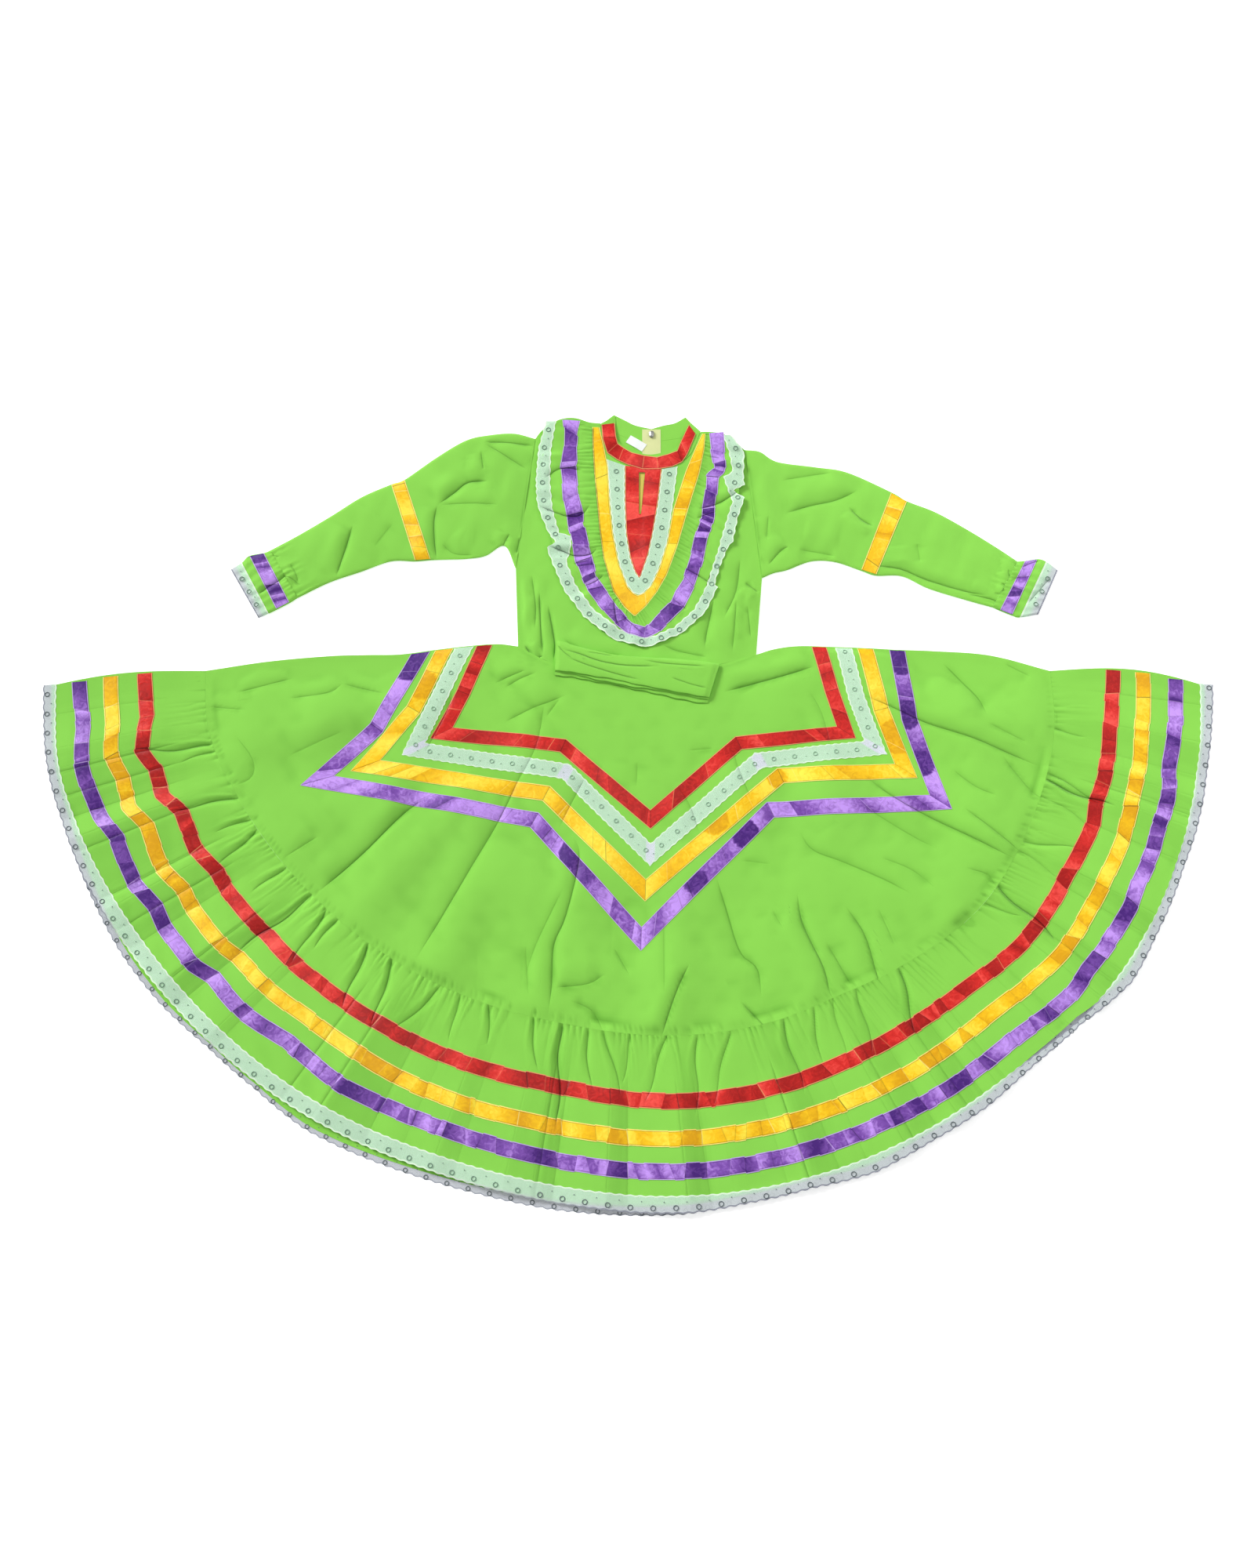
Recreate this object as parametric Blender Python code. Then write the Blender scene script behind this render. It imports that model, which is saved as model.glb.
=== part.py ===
# Folklorico dress, laid out flat on its back.
#
# Metres, +Z up. The origin is the centre of the skirt's circle, on the surface
# that the dress lies on. +Y points to the neck and +X to the dress's left hand,
# which is on the right of someone looking down at the front.
#
# The back panels lie flat on the surface. The front panels lie on them as thin
# walls with soft folds. Ribbons, lace and ruffles lie on the front panels.

import math
from collections import namedtuple

import bmesh
import bpy
from mathutils import Vector

MM = 0.001

# Driving sizes
WALL = 1.2 * MM            # cotton panel
TRIM = 1.0 * MM            # ribbon and lace
GAP = 0.3 * MM             # between pieces that meet
LOFT = 1.8 * MM            # air between the back and the front panels
RIBBON = 23.0 * MM         # satin ribbon width
HEM_OVERHANG = 12.0 * MM   # lace past the flounce's hem

FRONT_LIES_AT = WALL + GAP
TRIM_LIES_AT = FRONT_LIES_AT + LOFT + WALL + GAP

# Seams that run at a slant are set back a little further, so that the gap
# square to the seam is still GAP
BAND_SETBACK = 0.7 * GAP   # on each side of a seam between two flat bands
NECK_SETBACK = 1.4 * GAP   # collar to neckline, and ruffle to its ribbon
ARMHOLE_SETBACK = 1.2 * GAP
CUFF_SETBACK = 1.6 * GAP

# How far in from its sides the front lifts off the back, as a share of its width
BODY_EDGE = 0.18
SHOULDER_EASE = 30 * MM    # the lift fades out over this below the shoulders
SIDE_SHARE = 0.3           # share of the bodice's width that its sides bow in
FOLD_SHARE = 0.12          # share of the skirt's width that its side folds bow in
SKIRT_EDGE = 0.06          # the same as BODY_EDGE, below the skirt's waist
SKIRT_EASE = 0.2           # the change between the two, along the skirt
FOLD_EASE = 0.35           # a radial fold rises over this share of the skirt

SHARP_ANGLE = math.radians(40)
GUIDE_LOW = -5 * MM        # cutting guides pass right through the cloth
GUIDE_TALL = 40 * MM

# Skirt and flounce, as half circles in polar form. Angles are in degrees, from
# +X towards the hem at -Y, and the two ends are the side folds.
RIGHT_FOLD = 5.9
LEFT_FOLD = 174.1
SKIRT_COLUMNS = 48
GATHERS_PER_COLUMN = 3
BACK_COLUMNS = 24

# Radii in millimetres: the gathered seam, the inner edge of each ribbon, the
# inner edge of the hem lace and the lace's outer edge.
HemRow = namedtuple("HemRow", "angle seam red yellow violet lace edge")
HEM = [
    HemRow(5.9, 616, 699, 748, 792, 832, 851),
    HemRow(15, 632, 706, 752, 796, 838, 857),
    HemRow(28, 640, 710, 757, 802, 846, 866),
    HemRow(40, 643, 710, 757, 804, 844, 863),
    HemRow(50, 630, 695, 742, 789, 828, 848),
    HemRow(62, 613, 688, 738, 782, 824, 846),
    HemRow(72, 609, 686, 734, 777, 820, 844),
    HemRow(85, 598, 678, 727, 770, 811, 836),
    HemRow(98, 586, 662, 714, 757, 799, 829),
    HemRow(109, 585, 661, 712, 752, 796, 830),
    HemRow(122, 587, 663, 713, 757, 802, 839),
    HemRow(137, 593, 668, 720, 768, 808, 842),
    HemRow(146, 600, 675, 729, 774, 815, 846),
    HemRow(157, 611, 693, 744, 788, 828, 848),
    HemRow(165, 621, 708, 751, 797, 836, 853),
    HemRow(174.1, 616, 700, 749, 794, 831, 850),
]

# Waist seam, from the left side fold to the right one
WaistRow = namedtuple("WaistRow", "x y")
WAIST = [
    WaistRow(-160, -25),
    WaistRow(-108, -52),
    WaistRow(-50, -62),
    WaistRow(12, -66),
    WaistRow(75, -63),
    WaistRow(133, -54),
    WaistRow(187, -38),
]

# How far the side folds bow up from a straight line, in millimetres, along
# their length from the waist (0) to the gathered seam (1)
FoldRow = namedtuple("FoldRow", "along left right")
SIDE_FOLDS = [
    FoldRow(0.00, 0, 0),
    FoldRow(0.06, 6, 8),
    FoldRow(0.14, 7, 13),
    FoldRow(0.26, 6, 14),
    FoldRow(0.42, 6, 14),
    FoldRow(0.60, 8, 14),
    FoldRow(0.80, 7, 9),
    FoldRow(1.00, 0, 0),
]

# Soft radial folds in the skirt front
RadialFold = namedtuple("RadialFold", "angle half_width height start")
SKIRT_FOLDS = [
    RadialFold(16, 5, 2.2, 0.35),
    RadialFold(31, 4, 3.0, 0.55),
    RadialFold(47, 5, 2.4, 0.30),
    RadialFold(66, 5, 1.8, 0.60),
    RadialFold(84, 4, 2.6, 0.55),
    RadialFold(101, 5, 2.0, 0.35),
    RadialFold(117, 4, 3.2, 0.50),
    RadialFold(131, 4, 3.4, 0.35),
    RadialFold(146, 5, 2.6, 0.45),
    RadialFold(161, 4, 2.4, 0.30),
]

# Uneven undulation round the hem, as sines in the angle
HemWave = namedtuple("HemWave", "cycles share shift")
HEM_WAVES = [
    HemWave(23, 0.25, 0.0),
    HemWave(37, 0.15, 1.3),
    HemWave(11, 0.10, 0.0),
]

# Zigzag trims: their widths, and their outer corners from the left end to the
# right end
STAR_SATIN = RIBBON
STAR_LACE = 25 * MM
STAR_RED = 21 * MM
StarRow = namedtuple(
    "StarRow", "violet_x violet_y yellow_x yellow_y lace_x lace_y red_x red_y")
STAR = [
    StarRow(-307, -20, -273, -14, -246, -12, -215, -10),
    StarRow(-370, -145, -318, -119, -283, -98, -247, -94),
    StarRow(-465, -239, -395, -217, -324, -194, -283, -168),
    StarRow(-138, -300, -121, -262, -94, -230, -97, -189),
    StarRow(18, -478, 24, -408, 31, -358, 32, -303),
    StarRow(207, -286, 222, -235, 192, -213, 163, -185),
    StarRow(458, -275, 412, -228, 371, -192, 327, -167),
    StarRow(416, -136, 376, -121, 342, -102, 305, -91),
    StarRow(402, -12, 355, -13, 324, -11, 285, -7),
]

# Bodice: the top edge from the left shoulder tip, over the neckline, to the
# right shoulder tip
TopRow = namedtuple("TopRow", "x y")
BODICE_TOP = [
    TopRow(-140, 312),
    TopRow(-132, 328),
    TopRow(-120, 339),
    TopRow(-100, 344),
    TopRow(-79, 346),
    TopRow(-58, 342),
    TopRow(-41, 338),
    TopRow(-33, 300),
    TopRow(-14, 280),
    TopRow(10, 269),
    TopRow(35, 265),
    TopRow(60, 268),
    TopRow(82, 276),
    TopRow(97, 290),
    TopRow(111, 326),
    TopRow(125, 326),
    TopRow(147, 324),
    TopRow(163, 312),
    TopRow(177, 294),
]
NECK_LEFT = 6
NECK_RIGHT = 14
SHOULDER_Y = 345 * MM
UNDERARM = 0.635           # of the way from the shoulder tip to the waist
UNDERARM_LEFT = 13 * MM    # how far the side stands out there
UNDERARM_RIGHT = 15 * MM
BODICE_ROWS = [0, 0.10, 0.21, 0.32, 0.43, 0.54, UNDERARM, 0.75, 0.88, 1]

# Soft upright folds beside the bib, from share FOLD_TOP of the way down to
# share FOLD_FOOT. centre and half_width are shares of the width.
UprightFold = namedtuple("UprightFold", "centre half_width height")
BODICE_FOLDS = [
    UprightFold(0.04, 0.025, 1.2),
    UprightFold(0.10, 0.030, 2.4),
    UprightFold(0.90, 0.030, 2.6),
    UprightFold(0.96, 0.025, 1.4),
]
FOLD_TOP = 0.60
FOLD_FOOT = 0.97
FOLD_ENDS = 0.15

# Top edge of the front collar over each neckline row
CollarRow = namedtuple("CollarRow", "x y")
COLLAR_FRONT_TOP = [
    CollarRow(-19, 349),
    CollarRow(-16, 314),
    CollarRow(-2, 298),
    CollarRow(14, 291),
    CollarRow(32, 287),
    CollarRow(52, 290),
    CollarRow(70, 297),
    CollarRow(83, 316),
    CollarRow(91, 344),
]

# Back collar: its seam and its top edge, left to right, with the zip between
BackCollarRow = namedtuple("BackCollarRow", "seam_x seam_y top_x top_y")
COLLAR_BACK_LEFT = [
    BackCollarRow(-40, 338, -21, 351),
    BackCollarRow(-20, 324, -3, 340),
    BackCollarRow(5, 314, 12, 334),
    BackCollarRow(36, 310, 36, 332),
]
COLLAR_BACK_RIGHT = [
    BackCollarRow(36, 310, 36, 332),
    BackCollarRow(58, 313, 55, 335),
    BackCollarRow(85, 318, 72, 342),
    BackCollarRow(110, 326, 88, 350),
]
CENTRE_BACK = 36 * MM
COLLAR_RIBBON_SHARE = 0.95 # of the front collar's height

# Bib: from the left shoulder down round the point and up to the right one.
# seam is where the ruffle is gathered to the yellow V's outer edge, yellow is
# the V's inner edge, lace is the lace V's outer edge, panel is the red panel's
# edge, violet is the middle of the ruffle's ribbon and edge is its lace's edge.
# The lace and the panel start below the collar.
BibRow = namedtuple(
    "BibRow",
    "seam_x seam_y yellow_x yellow_y lace_x lace_y panel_x panel_y"
    " violet_x violet_y edge_x edge_y")
BIB = [
    BibRow(-54, 334, -43, 334, 0, 0, 0, 0, -81, 338, -126, 339),
    BibRow(-53, 300, -36, 300, 0, 0, 0, 0, -86, 300, -134, 300),
    BibRow(-51, 262, -30, 266, -30, 266, -4, 262, -88, 262, -138, 258),
    BibRow(-46, 207, -27, 207, -27, 207, -4, 207, -84, 207, -138, 212),
    BibRow(-42, 160, -22, 155, -22, 155, -2, 155, -73, 160, -124, 160),
    BibRow(-36, 115, -13, 105, -13, 105, 4, 115, -63, 110, -112, 108),
    BibRow(-22, 62, 0, 69, 0, 69, 11, 93, -43, 62, -84, 38),
    BibRow(-6, 37, 8, 59, 8, 59, 15, 86, -12, 20, -40, -4),
    BibRow(10, 21, 15, 55, 15, 55, 17, 83, 22, -4, 12, -27),
    BibRow(27, 38, 24, 59, 24, 59, 19, 86, 47, 14, 54, -21),
    BibRow(43, 60, 35, 71, 35, 71, 22, 96, 71, 38, 90, 4),
    BibRow(58, 88, 47, 100, 47, 100, 30, 121, 86, 69, 111, 34),
    BibRow(74, 135, 59, 142, 59, 142, 38, 162, 101, 119, 126, 82),
    BibRow(87, 190, 69, 195, 66, 195, 43, 207, 114, 172, 156, 140),
    BibRow(102, 255, 84, 258, 73, 260, 46, 258, 128, 240, 173, 218),
    BibRow(111, 296, 101, 294, 0, 0, 0, 0, 136, 290, 176, 275),
    BibRow(118, 322, 113, 322, 0, 0, 0, 0, 137, 320, 163, 317),
]
BIB_FIRST_LACE = 2
BIB_LAST_LACE = 14
BIB_STEPS = 3              # ruffle columns between two rows
BIB_LACE = 19 * MM
RUFFLE_HEM_SHARE = 0.55    # how far the ruffle's cotton reaches under its lace
# Height of the ruffle's waves, in millimetres, on its five lines
RUFFLE_LIFT = [1.0, 2.2, 2.6, 3.0, 3.6]

# Keyhole slit: its top, its foot and its width at each
SLIT_TOP = (21.5 * MM, 256 * MM)
SLIT_FOOT = (18.5 * MM, 188 * MM)
SLIT_TOP_WIDTH = 8 * MM
SLIT_FOOT_WIDTH = 2 * MM

# Sleeves: the upper fold and the underarm edge at each station, from the first
# one past the armhole to the wrist
SleeveRow = namedtuple("SleeveRow", "top_x top_y low_x low_y")
LEFT_SLEEVE = [
    SleeveRow(-173, 319, -183, 135),
    SleeveRow(-212, 321, -211, 120),
    SleeveRow(-246, 312, -240, 115),
    SleeveRow(-288, 284, -268, 114),
    SleeveRow(-337, 245, -292, 113),
    SleeveRow(-357, 237, -314, 113),
    SleeveRow(-400, 213, -352, 108),
    SleeveRow(-445, 182, -396, 90),
    SleeveRow(-490, 154, -442, 69),
    SleeveRow(-530, 131, -487, 50),
]
RIGHT_SLEEVE = [
    SleeveRow(200, 291, 216, 92),
    SleeveRow(226, 276, 236, 97),
    SleeveRow(282, 263, 272, 107),
    SleeveRow(330, 255, 308, 108),
    SleeveRow(394, 221, 345, 97),
    SleeveRow(417, 207, 367, 89),
    SleeveRow(458, 189, 405, 88),
    SleeveRow(502, 166, 446, 71),
    SleeveRow(546, 138, 502, 52),
    SleeveRow(579, 113, 538, 41),
]
BAND_STATION = 5           # counted from the armhole, which is 0
SLEEVE_PUFF = 2.4 * MM
SLEEVE_ACROSS = 6          # faces across a sleeve's wall
PUFF_SHAPE = 0.7           # below 1, the tube is fuller near its edges

# Wrist frills: the wrist seam, the ribbon's two edges, the cotton's edge and
# the lace's edge
LEFT_FRILL = [
    SleeveRow(-530.4, 130.8, -487.4, 49.8),
    SleeveRow(-540, 125, -497, 44),
    SleeveRow(-560, 116, -516, 33),
    SleeveRow(-572, 109, -527, 27),
    SleeveRow(-585, 95, -541, 20),
]
RIGHT_FRILL = [
    SleeveRow(579.4, 112.8, 538.4, 40.8),
    SleeveRow(589, 112, 547, 36),
    SleeveRow(608, 112, 564, 24),
    SleeveRow(618, 107, 575, 21),
    SleeveRow(634, 94, 602, 21),
]
FRILL_PUFF = 2.6 * MM
FRILL_WAVE = 1.6 * MM
FRILL_ACROSS = 12

# Sash, folded and laid across the waist: its upper and lower edge
SashRow = namedtuple("SashRow", "top_x top_y low_x low_y thick")
SASH = [
    SashRow(-107, -22, -101, -76, 0.80),
    SashRow(-80, -27, -80, -76, 0.95),
    SashRow(-50, -33, -50, -74, 1.00),
    SashRow(-20, -37, -20, -74, 1.00),
    SashRow(15, -41, 15, -81, 1.05),
    SashRow(50, -45, 50, -91, 1.10),
    SashRow(85, -49, 80, -100, 1.05),
    SashRow(129, -53, 117, -109, 0.85),
]
# Its section: from the lower edge (0) to the upper edge (1), with the folded
# layers showing as lips along the lower edge
SashPoint = namedtuple("SashPoint", "across height")
SASH_SECTION = [
    SashPoint(0.04, 0.0),
    SashPoint(0.00, 0.6),
    SashPoint(0.00, 1.7),
    SashPoint(0.10, 2.3),
    SashPoint(0.05, 2.8),
    SashPoint(0.04, 3.7),
    SashPoint(0.15, 4.4),
    SashPoint(0.09, 4.9),
    SashPoint(0.10, 6.0),
    SashPoint(0.20, 6.9),
    SashPoint(0.50, 7.4),
    SashPoint(0.85, 6.9),
    SashPoint(0.98, 5.6),
    SashPoint(1.00, 2.2),
    SashPoint(0.97, 0.0),
]

# Zip and label
ZIP_WIDTH = 28 * MM
ZIP_TOP = 331 * MM
ZIP_FOOT = -130 * MM
SLIDER_SIZE = (8 * MM, 11 * MM, 3 * MM)
# Its outline: half widths and places along it, as shares of its width and length
SLIDER_OUTLINE = [(0.32, -0.5), (0.5, 0.1), (0.4, 0.5)]
SLIDER_AT = (CENTRE_BACK, 322 * MM)
LABEL_CENTRE = (13 * MM, 307 * MM)
LABEL_SIZE = (29 * MM, 14 * MM)
LABEL_TURN = math.radians(-33)


def clear_scene():
    for old in list(bpy.data.objects):
        bpy.data.objects.remove(old, do_unlink=True)


def make_material(name, colour, roughness, metallic=0.0):
    material = bpy.data.materials.new(name)
    material.use_nodes = True
    shader = material.node_tree.nodes["Principled BSDF"]
    shader.inputs["Base Color"].default_value = (*colour, 1.0)
    shader.inputs["Roughness"].default_value = roughness
    shader.inputs["Metallic"].default_value = metallic
    return material


def ease(t):
    t = min(max(t, 0.0), 1.0)
    return t * t * (3 - 2 * t)


def mix(a, b, t):
    return a + (b - a) * t


def between(positions, values, at):
    """Straight-line reading of a table."""
    for i in range(len(positions) - 1):
        if at <= positions[i + 1]:
            t = (at - positions[i]) / (positions[i + 1] - positions[i])
            return mix(values[i], values[i + 1], t)
    return values[-1]


def flowing(positions, values, at):
    """Smooth reading of a table: a cubic through its rows."""
    last = len(positions) - 1
    i = 0
    while i < last - 1 and at > positions[i + 1]:
        i += 1

    def slope(k):
        low, high = max(k - 1, 0), min(k + 1, last)
        return (values[high] - values[low]) / (positions[high] - positions[low])

    step = positions[i + 1] - positions[i]
    t = (at - positions[i]) / step
    t2, t3 = t * t, t * t * t
    start = (2 * t3 - 3 * t2 + 1) * values[i] + (t3 - 2 * t2 + t) * step * slope(i)
    end = (3 * t2 - 2 * t3) * values[i + 1] + (t3 - t2) * step * slope(i + 1)
    return start + end


def polar(angle, radius):
    turn = math.radians(angle)
    return Vector((radius * math.cos(turn), -radius * math.sin(turn)))


def hem_radius(column, angle):
    angles = [row.angle for row in HEM]
    radii = [getattr(row, column) for row in HEM]
    return flowing(angles, radii, angle) * MM


def grid_triangles(rows, columns):
    """Two triangles a cell, all cut along the same diagonal."""
    triangles = []
    for r in range(rows - 1):
        for c in range(columns - 1):
            a = r * columns + c
            b, d, e = a + 1, a + columns, a + columns + 1
            triangles.append((a, b, e))
            triangles.append((a, e, d))
    return triangles


def finish_mesh(name, bm, material):
    """Closed mesh, faces out, as an object."""
    bmesh.ops.recalc_face_normals(bm, faces=bm.faces)
    if bm.calc_volume(signed=True) < 0:
        bmesh.ops.reverse_faces(bm, faces=bm.faces)
    mesh = bpy.data.meshes.new(name)
    bm.to_mesh(mesh)
    bm.free()
    mesh.materials.append(material)
    mesh.shade_smooth()
    mesh.set_sharp_from_angle(angle=SHARP_ANGLE)
    thing = bpy.data.objects.new(name, mesh)
    bpy.context.collection.objects.link(thing)
    return thing


def cloth(name, points, triangles, thick, material):
    """A wall of cloth: its under side through the points, its upper side
    thick above them, and a rim round every free edge."""
    bm = bmesh.new()
    under = [bm.verts.new(p) for p in points]
    over = [bm.verts.new((p[0], p[1], p[2] + thick)) for p in points]
    uses = {}
    for tri in triangles:
        bm.faces.new([under[i] for i in reversed(tri)])
        bm.faces.new([over[i] for i in tri])
        for k in range(3):
            edge = (tri[k], tri[(k + 1) % 3])
            uses.setdefault(frozenset(edge), []).append(edge)
    for found in uses.values():
        if len(found) == 1:
            i, j = found[0]
            bm.faces.new([under[i], under[j], over[j]])
            bm.faces.new([under[i], over[j], over[i]])
    return finish_mesh(name, bm, material)


def grid_cloth(name, grid, thick, material):
    points = [p for row in grid for p in row]
    return cloth(name, points, grid_triangles(len(grid), len(grid[0])), thick, material)


def plate(name, outline, low, thick, material):
    """A flat piece from its outline."""
    bm = bmesh.new()
    under = [bm.verts.new((x, y, low)) for x, y in outline]
    over = [bm.verts.new((x, y, low + thick)) for x, y in outline]
    bm.faces.new(list(reversed(under)))
    bm.faces.new(over)
    count = len(outline)
    for i in range(count):
        j = (i + 1) % count
        bm.faces.new([under[i], under[j], over[j], over[i]])
    bmesh.ops.triangulate(bm, faces=bm.faces)
    return finish_mesh(name, bm, material)


def uneven(k, even, odd, pace):
    """A height for gather k: hollows lie at 0, crests vary in a set rhythm."""
    return (k % 2) * (even + odd * math.sin(pace * k))


def table_line(rows, column):
    """A line of a table, from its x and y columns of that name."""
    xs = [getattr(row, column + "_x") * MM for row in rows]
    ys = [getattr(row, column + "_y") * MM for row in rows]
    return [Vector((x, y)) for x, y in zip(xs, ys)]


def raised(grid, by):
    return [[Vector((p[0], p[1], p[2] + by)) for p in row] for row in grid]


def cut(target, cutter, operation):
    """Boolean with a guide, which stays out of the model."""
    cutter.hide_render = True
    cutter.display_type = "WIRE"
    modifier = target.modifiers.new("cut", "BOOLEAN")
    modifier.operation = operation
    modifier.solver = "EXACT"
    modifier.object = cutter


# Bodice

WAIST_STEPS = len(WAIST) - 1


def waist_point(share):
    shares = [i / WAIST_STEPS for i in range(WAIST_STEPS + 1)]
    x = between(shares, [row.x for row in WAIST], share) * MM
    y = between(shares, [row.y for row in WAIST], share) * MM
    return Vector((x, y))


def waist_outline(steps, shift):
    """Some points of the waist seam, moved along Y."""
    points = [waist_point(i / WAIST_STEPS) for i in steps]
    return [(p.x, p.y + shift) for p in points]


def body_loft(share, y):
    """Air under the front: none at the sides and shoulders, even between."""
    side = ease(min(share, 1 - share) / BODY_EDGE)
    shoulder = ease((SHOULDER_Y - y) / SHOULDER_EASE)
    return LOFT * side * shoulder


def bodice_plan(share, down, top):
    """A point of the bodice: share across, down from its top edge."""
    low = waist_point(share)
    low.y += GAP / 2
    point = top.lerp(low, down)
    bow = down / UNDERARM if down < UNDERARM else (1 - down) / (1 - UNDERARM)
    point.x -= UNDERARM_LEFT * bow * max(0.0, 1 - share / SIDE_SHARE) ** 2
    point.x += UNDERARM_RIGHT * bow * max(0.0, 1 - (1 - share) / SIDE_SHARE) ** 2
    return point


def bodice_fold(share, down):
    """Soft upright folds below the bib at each side."""
    height = 0.0
    for fold in BODICE_FOLDS:
        height += fold.height * MM * math.exp(-((share - fold.centre) / fold.half_width) ** 2)
    return height * ease((down - FOLD_TOP) / FOLD_ENDS) * ease((FOLD_FOOT - down) / FOLD_ENDS)


def bodice_grid():
    columns = len(BODICE_TOP)
    grid = []
    for down in BODICE_ROWS:
        row = []
        for k, entry in enumerate(BODICE_TOP):
            share = k / (columns - 1)
            top = Vector((entry.x * MM, entry.y * MM))
            p = bodice_plan(share, down, top)
            z = FRONT_LIES_AT + body_loft(share, p.y) + bodice_fold(share, down)
            row.append(Vector((p.x, p.y, z)))
        grid.append(row)
    return grid


def slit_cutter(name):
    outline = [
        (SLIT_TOP[0] - SLIT_TOP_WIDTH / 2, SLIT_TOP[1]),
        (SLIT_FOOT[0] - SLIT_FOOT_WIDTH / 2, SLIT_FOOT[1]),
        (SLIT_FOOT[0] + SLIT_FOOT_WIDTH / 2, SLIT_FOOT[1]),
        (SLIT_TOP[0] + SLIT_TOP_WIDTH / 2, SLIT_TOP[1]),
    ]
    return plate(name, outline, GUIDE_LOW, GUIDE_TALL, GREEN)


def build_bodice_front():
    front = grid_cloth("bodice_front", bodice_grid(), WALL, GREEN)
    cut(front, slit_cutter("guide_slit_bodice"), "DIFFERENCE")


def side_outline(share):
    """The side edge from the shoulder tip to the waist."""
    entry = BODICE_TOP[0] if share == 0 else BODICE_TOP[-1]
    top = Vector((entry.x * MM, entry.y * MM))
    return [bodice_plan(share, down, top) for down in (0, UNDERARM, 1)]


def build_bodice_backs():
    split = GAP / 2
    foot = between([row.x for row in WAIST], [row.y for row in WAIST], CENTRE_BACK / MM)
    foot = foot * MM + GAP / 2
    left_side = side_outline(0)
    outline = [tuple(p) for p in reversed(left_side)]
    outline += [(row.x * MM, row.y * MM) for row in BODICE_TOP[1:NECK_LEFT]]
    outline += [(row.seam_x * MM, row.seam_y * MM - GAP) for row in COLLAR_BACK_LEFT[:-1]]
    outline += [(CENTRE_BACK - split, COLLAR_BACK_LEFT[-1].seam_y * MM - GAP)]
    outline += [(CENTRE_BACK - split, foot)]
    outline += waist_outline((3, 2, 1), GAP / 2)
    plate("bodice_back_left", outline, 0, WALL, GREEN)

    right_side = side_outline(1)
    outline = [(CENTRE_BACK + split, foot)]
    outline += [(CENTRE_BACK + split, COLLAR_BACK_RIGHT[0].seam_y * MM - GAP)]
    outline += [(row.seam_x * MM, row.seam_y * MM - GAP) for row in COLLAR_BACK_RIGHT[1:]]
    outline += [(row.x * MM, row.y * MM) for row in BODICE_TOP[NECK_RIGHT + 1:-1]]
    outline += [tuple(p) for p in right_side]
    outline += waist_outline((5, 4), GAP / 2)
    plate("bodice_back_right", outline, 0, WALL, GREEN)


# Collar, zip and label

def collar_grid():
    grid = [[], []]
    for k, entry in enumerate(COLLAR_FRONT_TOP):
        neck = BODICE_TOP[NECK_LEFT + k]
        seam = Vector((neck.x * MM, neck.y * MM))
        top = Vector((entry.x * MM, entry.y * MM))
        seam = seam + (top - seam).normalized() * NECK_SETBACK
        for row, p in zip(grid, (seam, top)):
            row.append(Vector((p.x, p.y, FRONT_LIES_AT + body_loft(0.5, p.y))))
    return grid


def build_collar():
    grid = collar_grid()
    grid_cloth("collar_front", grid, WALL, GREEN)
    ribbon = raised(grid, WALL + GAP)
    ribbon[1] = [mix(low, high, COLLAR_RIBBON_SHARE) for low, high in zip(*ribbon)]
    grid_cloth("collar_ribbon", ribbon, TRIM, RED)
    for name, rows, side in (("collar_back_left", COLLAR_BACK_LEFT, -1),
                             ("collar_back_right", COLLAR_BACK_RIGHT, 1)):
        seam = [Vector((row.seam_x * MM, row.seam_y * MM, 0)) for row in rows]
        top = [Vector((row.top_x * MM, row.top_y * MM, 0)) for row in rows]
        centre = -1 if side < 0 else 0
        seam[centre].x += side * GAP / 2
        top[centre].x += side * GAP / 2
        grid_cloth(name, [seam, top], WALL, GREEN)


def build_zip_and_label():
    half = ZIP_WIDTH / 2
    low = WALL + GAP
    tape = [
        (CENTRE_BACK - half, ZIP_FOOT),
        (CENTRE_BACK + half, ZIP_FOOT),
        (CENTRE_BACK + half, ZIP_TOP),
        (CENTRE_BACK - half, ZIP_TOP),
    ]
    plate("zip_tape", tape, low, TRIM, ZIP)
    width, length, height = SLIDER_SIZE
    x, y = SLIDER_AT
    body = [(x + width * half, y + length * along) for half, along in SLIDER_OUTLINE]
    body += [(x - width * half, y + length * along) for half, along in reversed(SLIDER_OUTLINE)]
    plate("zip_slider", body, low + TRIM + GAP, height, METAL)
    corners = []
    for across, along in ((-1, -1), (1, -1), (1, 1), (-1, 1)):
        dx = across * LABEL_SIZE[0] / 2
        dy = along * LABEL_SIZE[1] / 2
        turned_x = dx * math.cos(LABEL_TURN) - dy * math.sin(LABEL_TURN)
        turned_y = dx * math.sin(LABEL_TURN) + dy * math.cos(LABEL_TURN)
        corners.append((LABEL_CENTRE[0] + turned_x, LABEL_CENTRE[1] + turned_y))
    plate("neck_label", corners, low + TRIM + GAP, TRIM, WHITE)


# Bib

def bib_band(name, outer, inner, material):
    """A flat band between two of the bib's lines."""
    grid = [[], []]
    for out, inn in zip(outer, inner):
        across = (inn - out).normalized() * BAND_SETBACK
        for row, p in zip(grid, (out + across, inn - across)):
            row.append(Vector((p.x, p.y, TRIM_LIES_AT)))
    grid_cloth(name, grid, TRIM, material)


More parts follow.
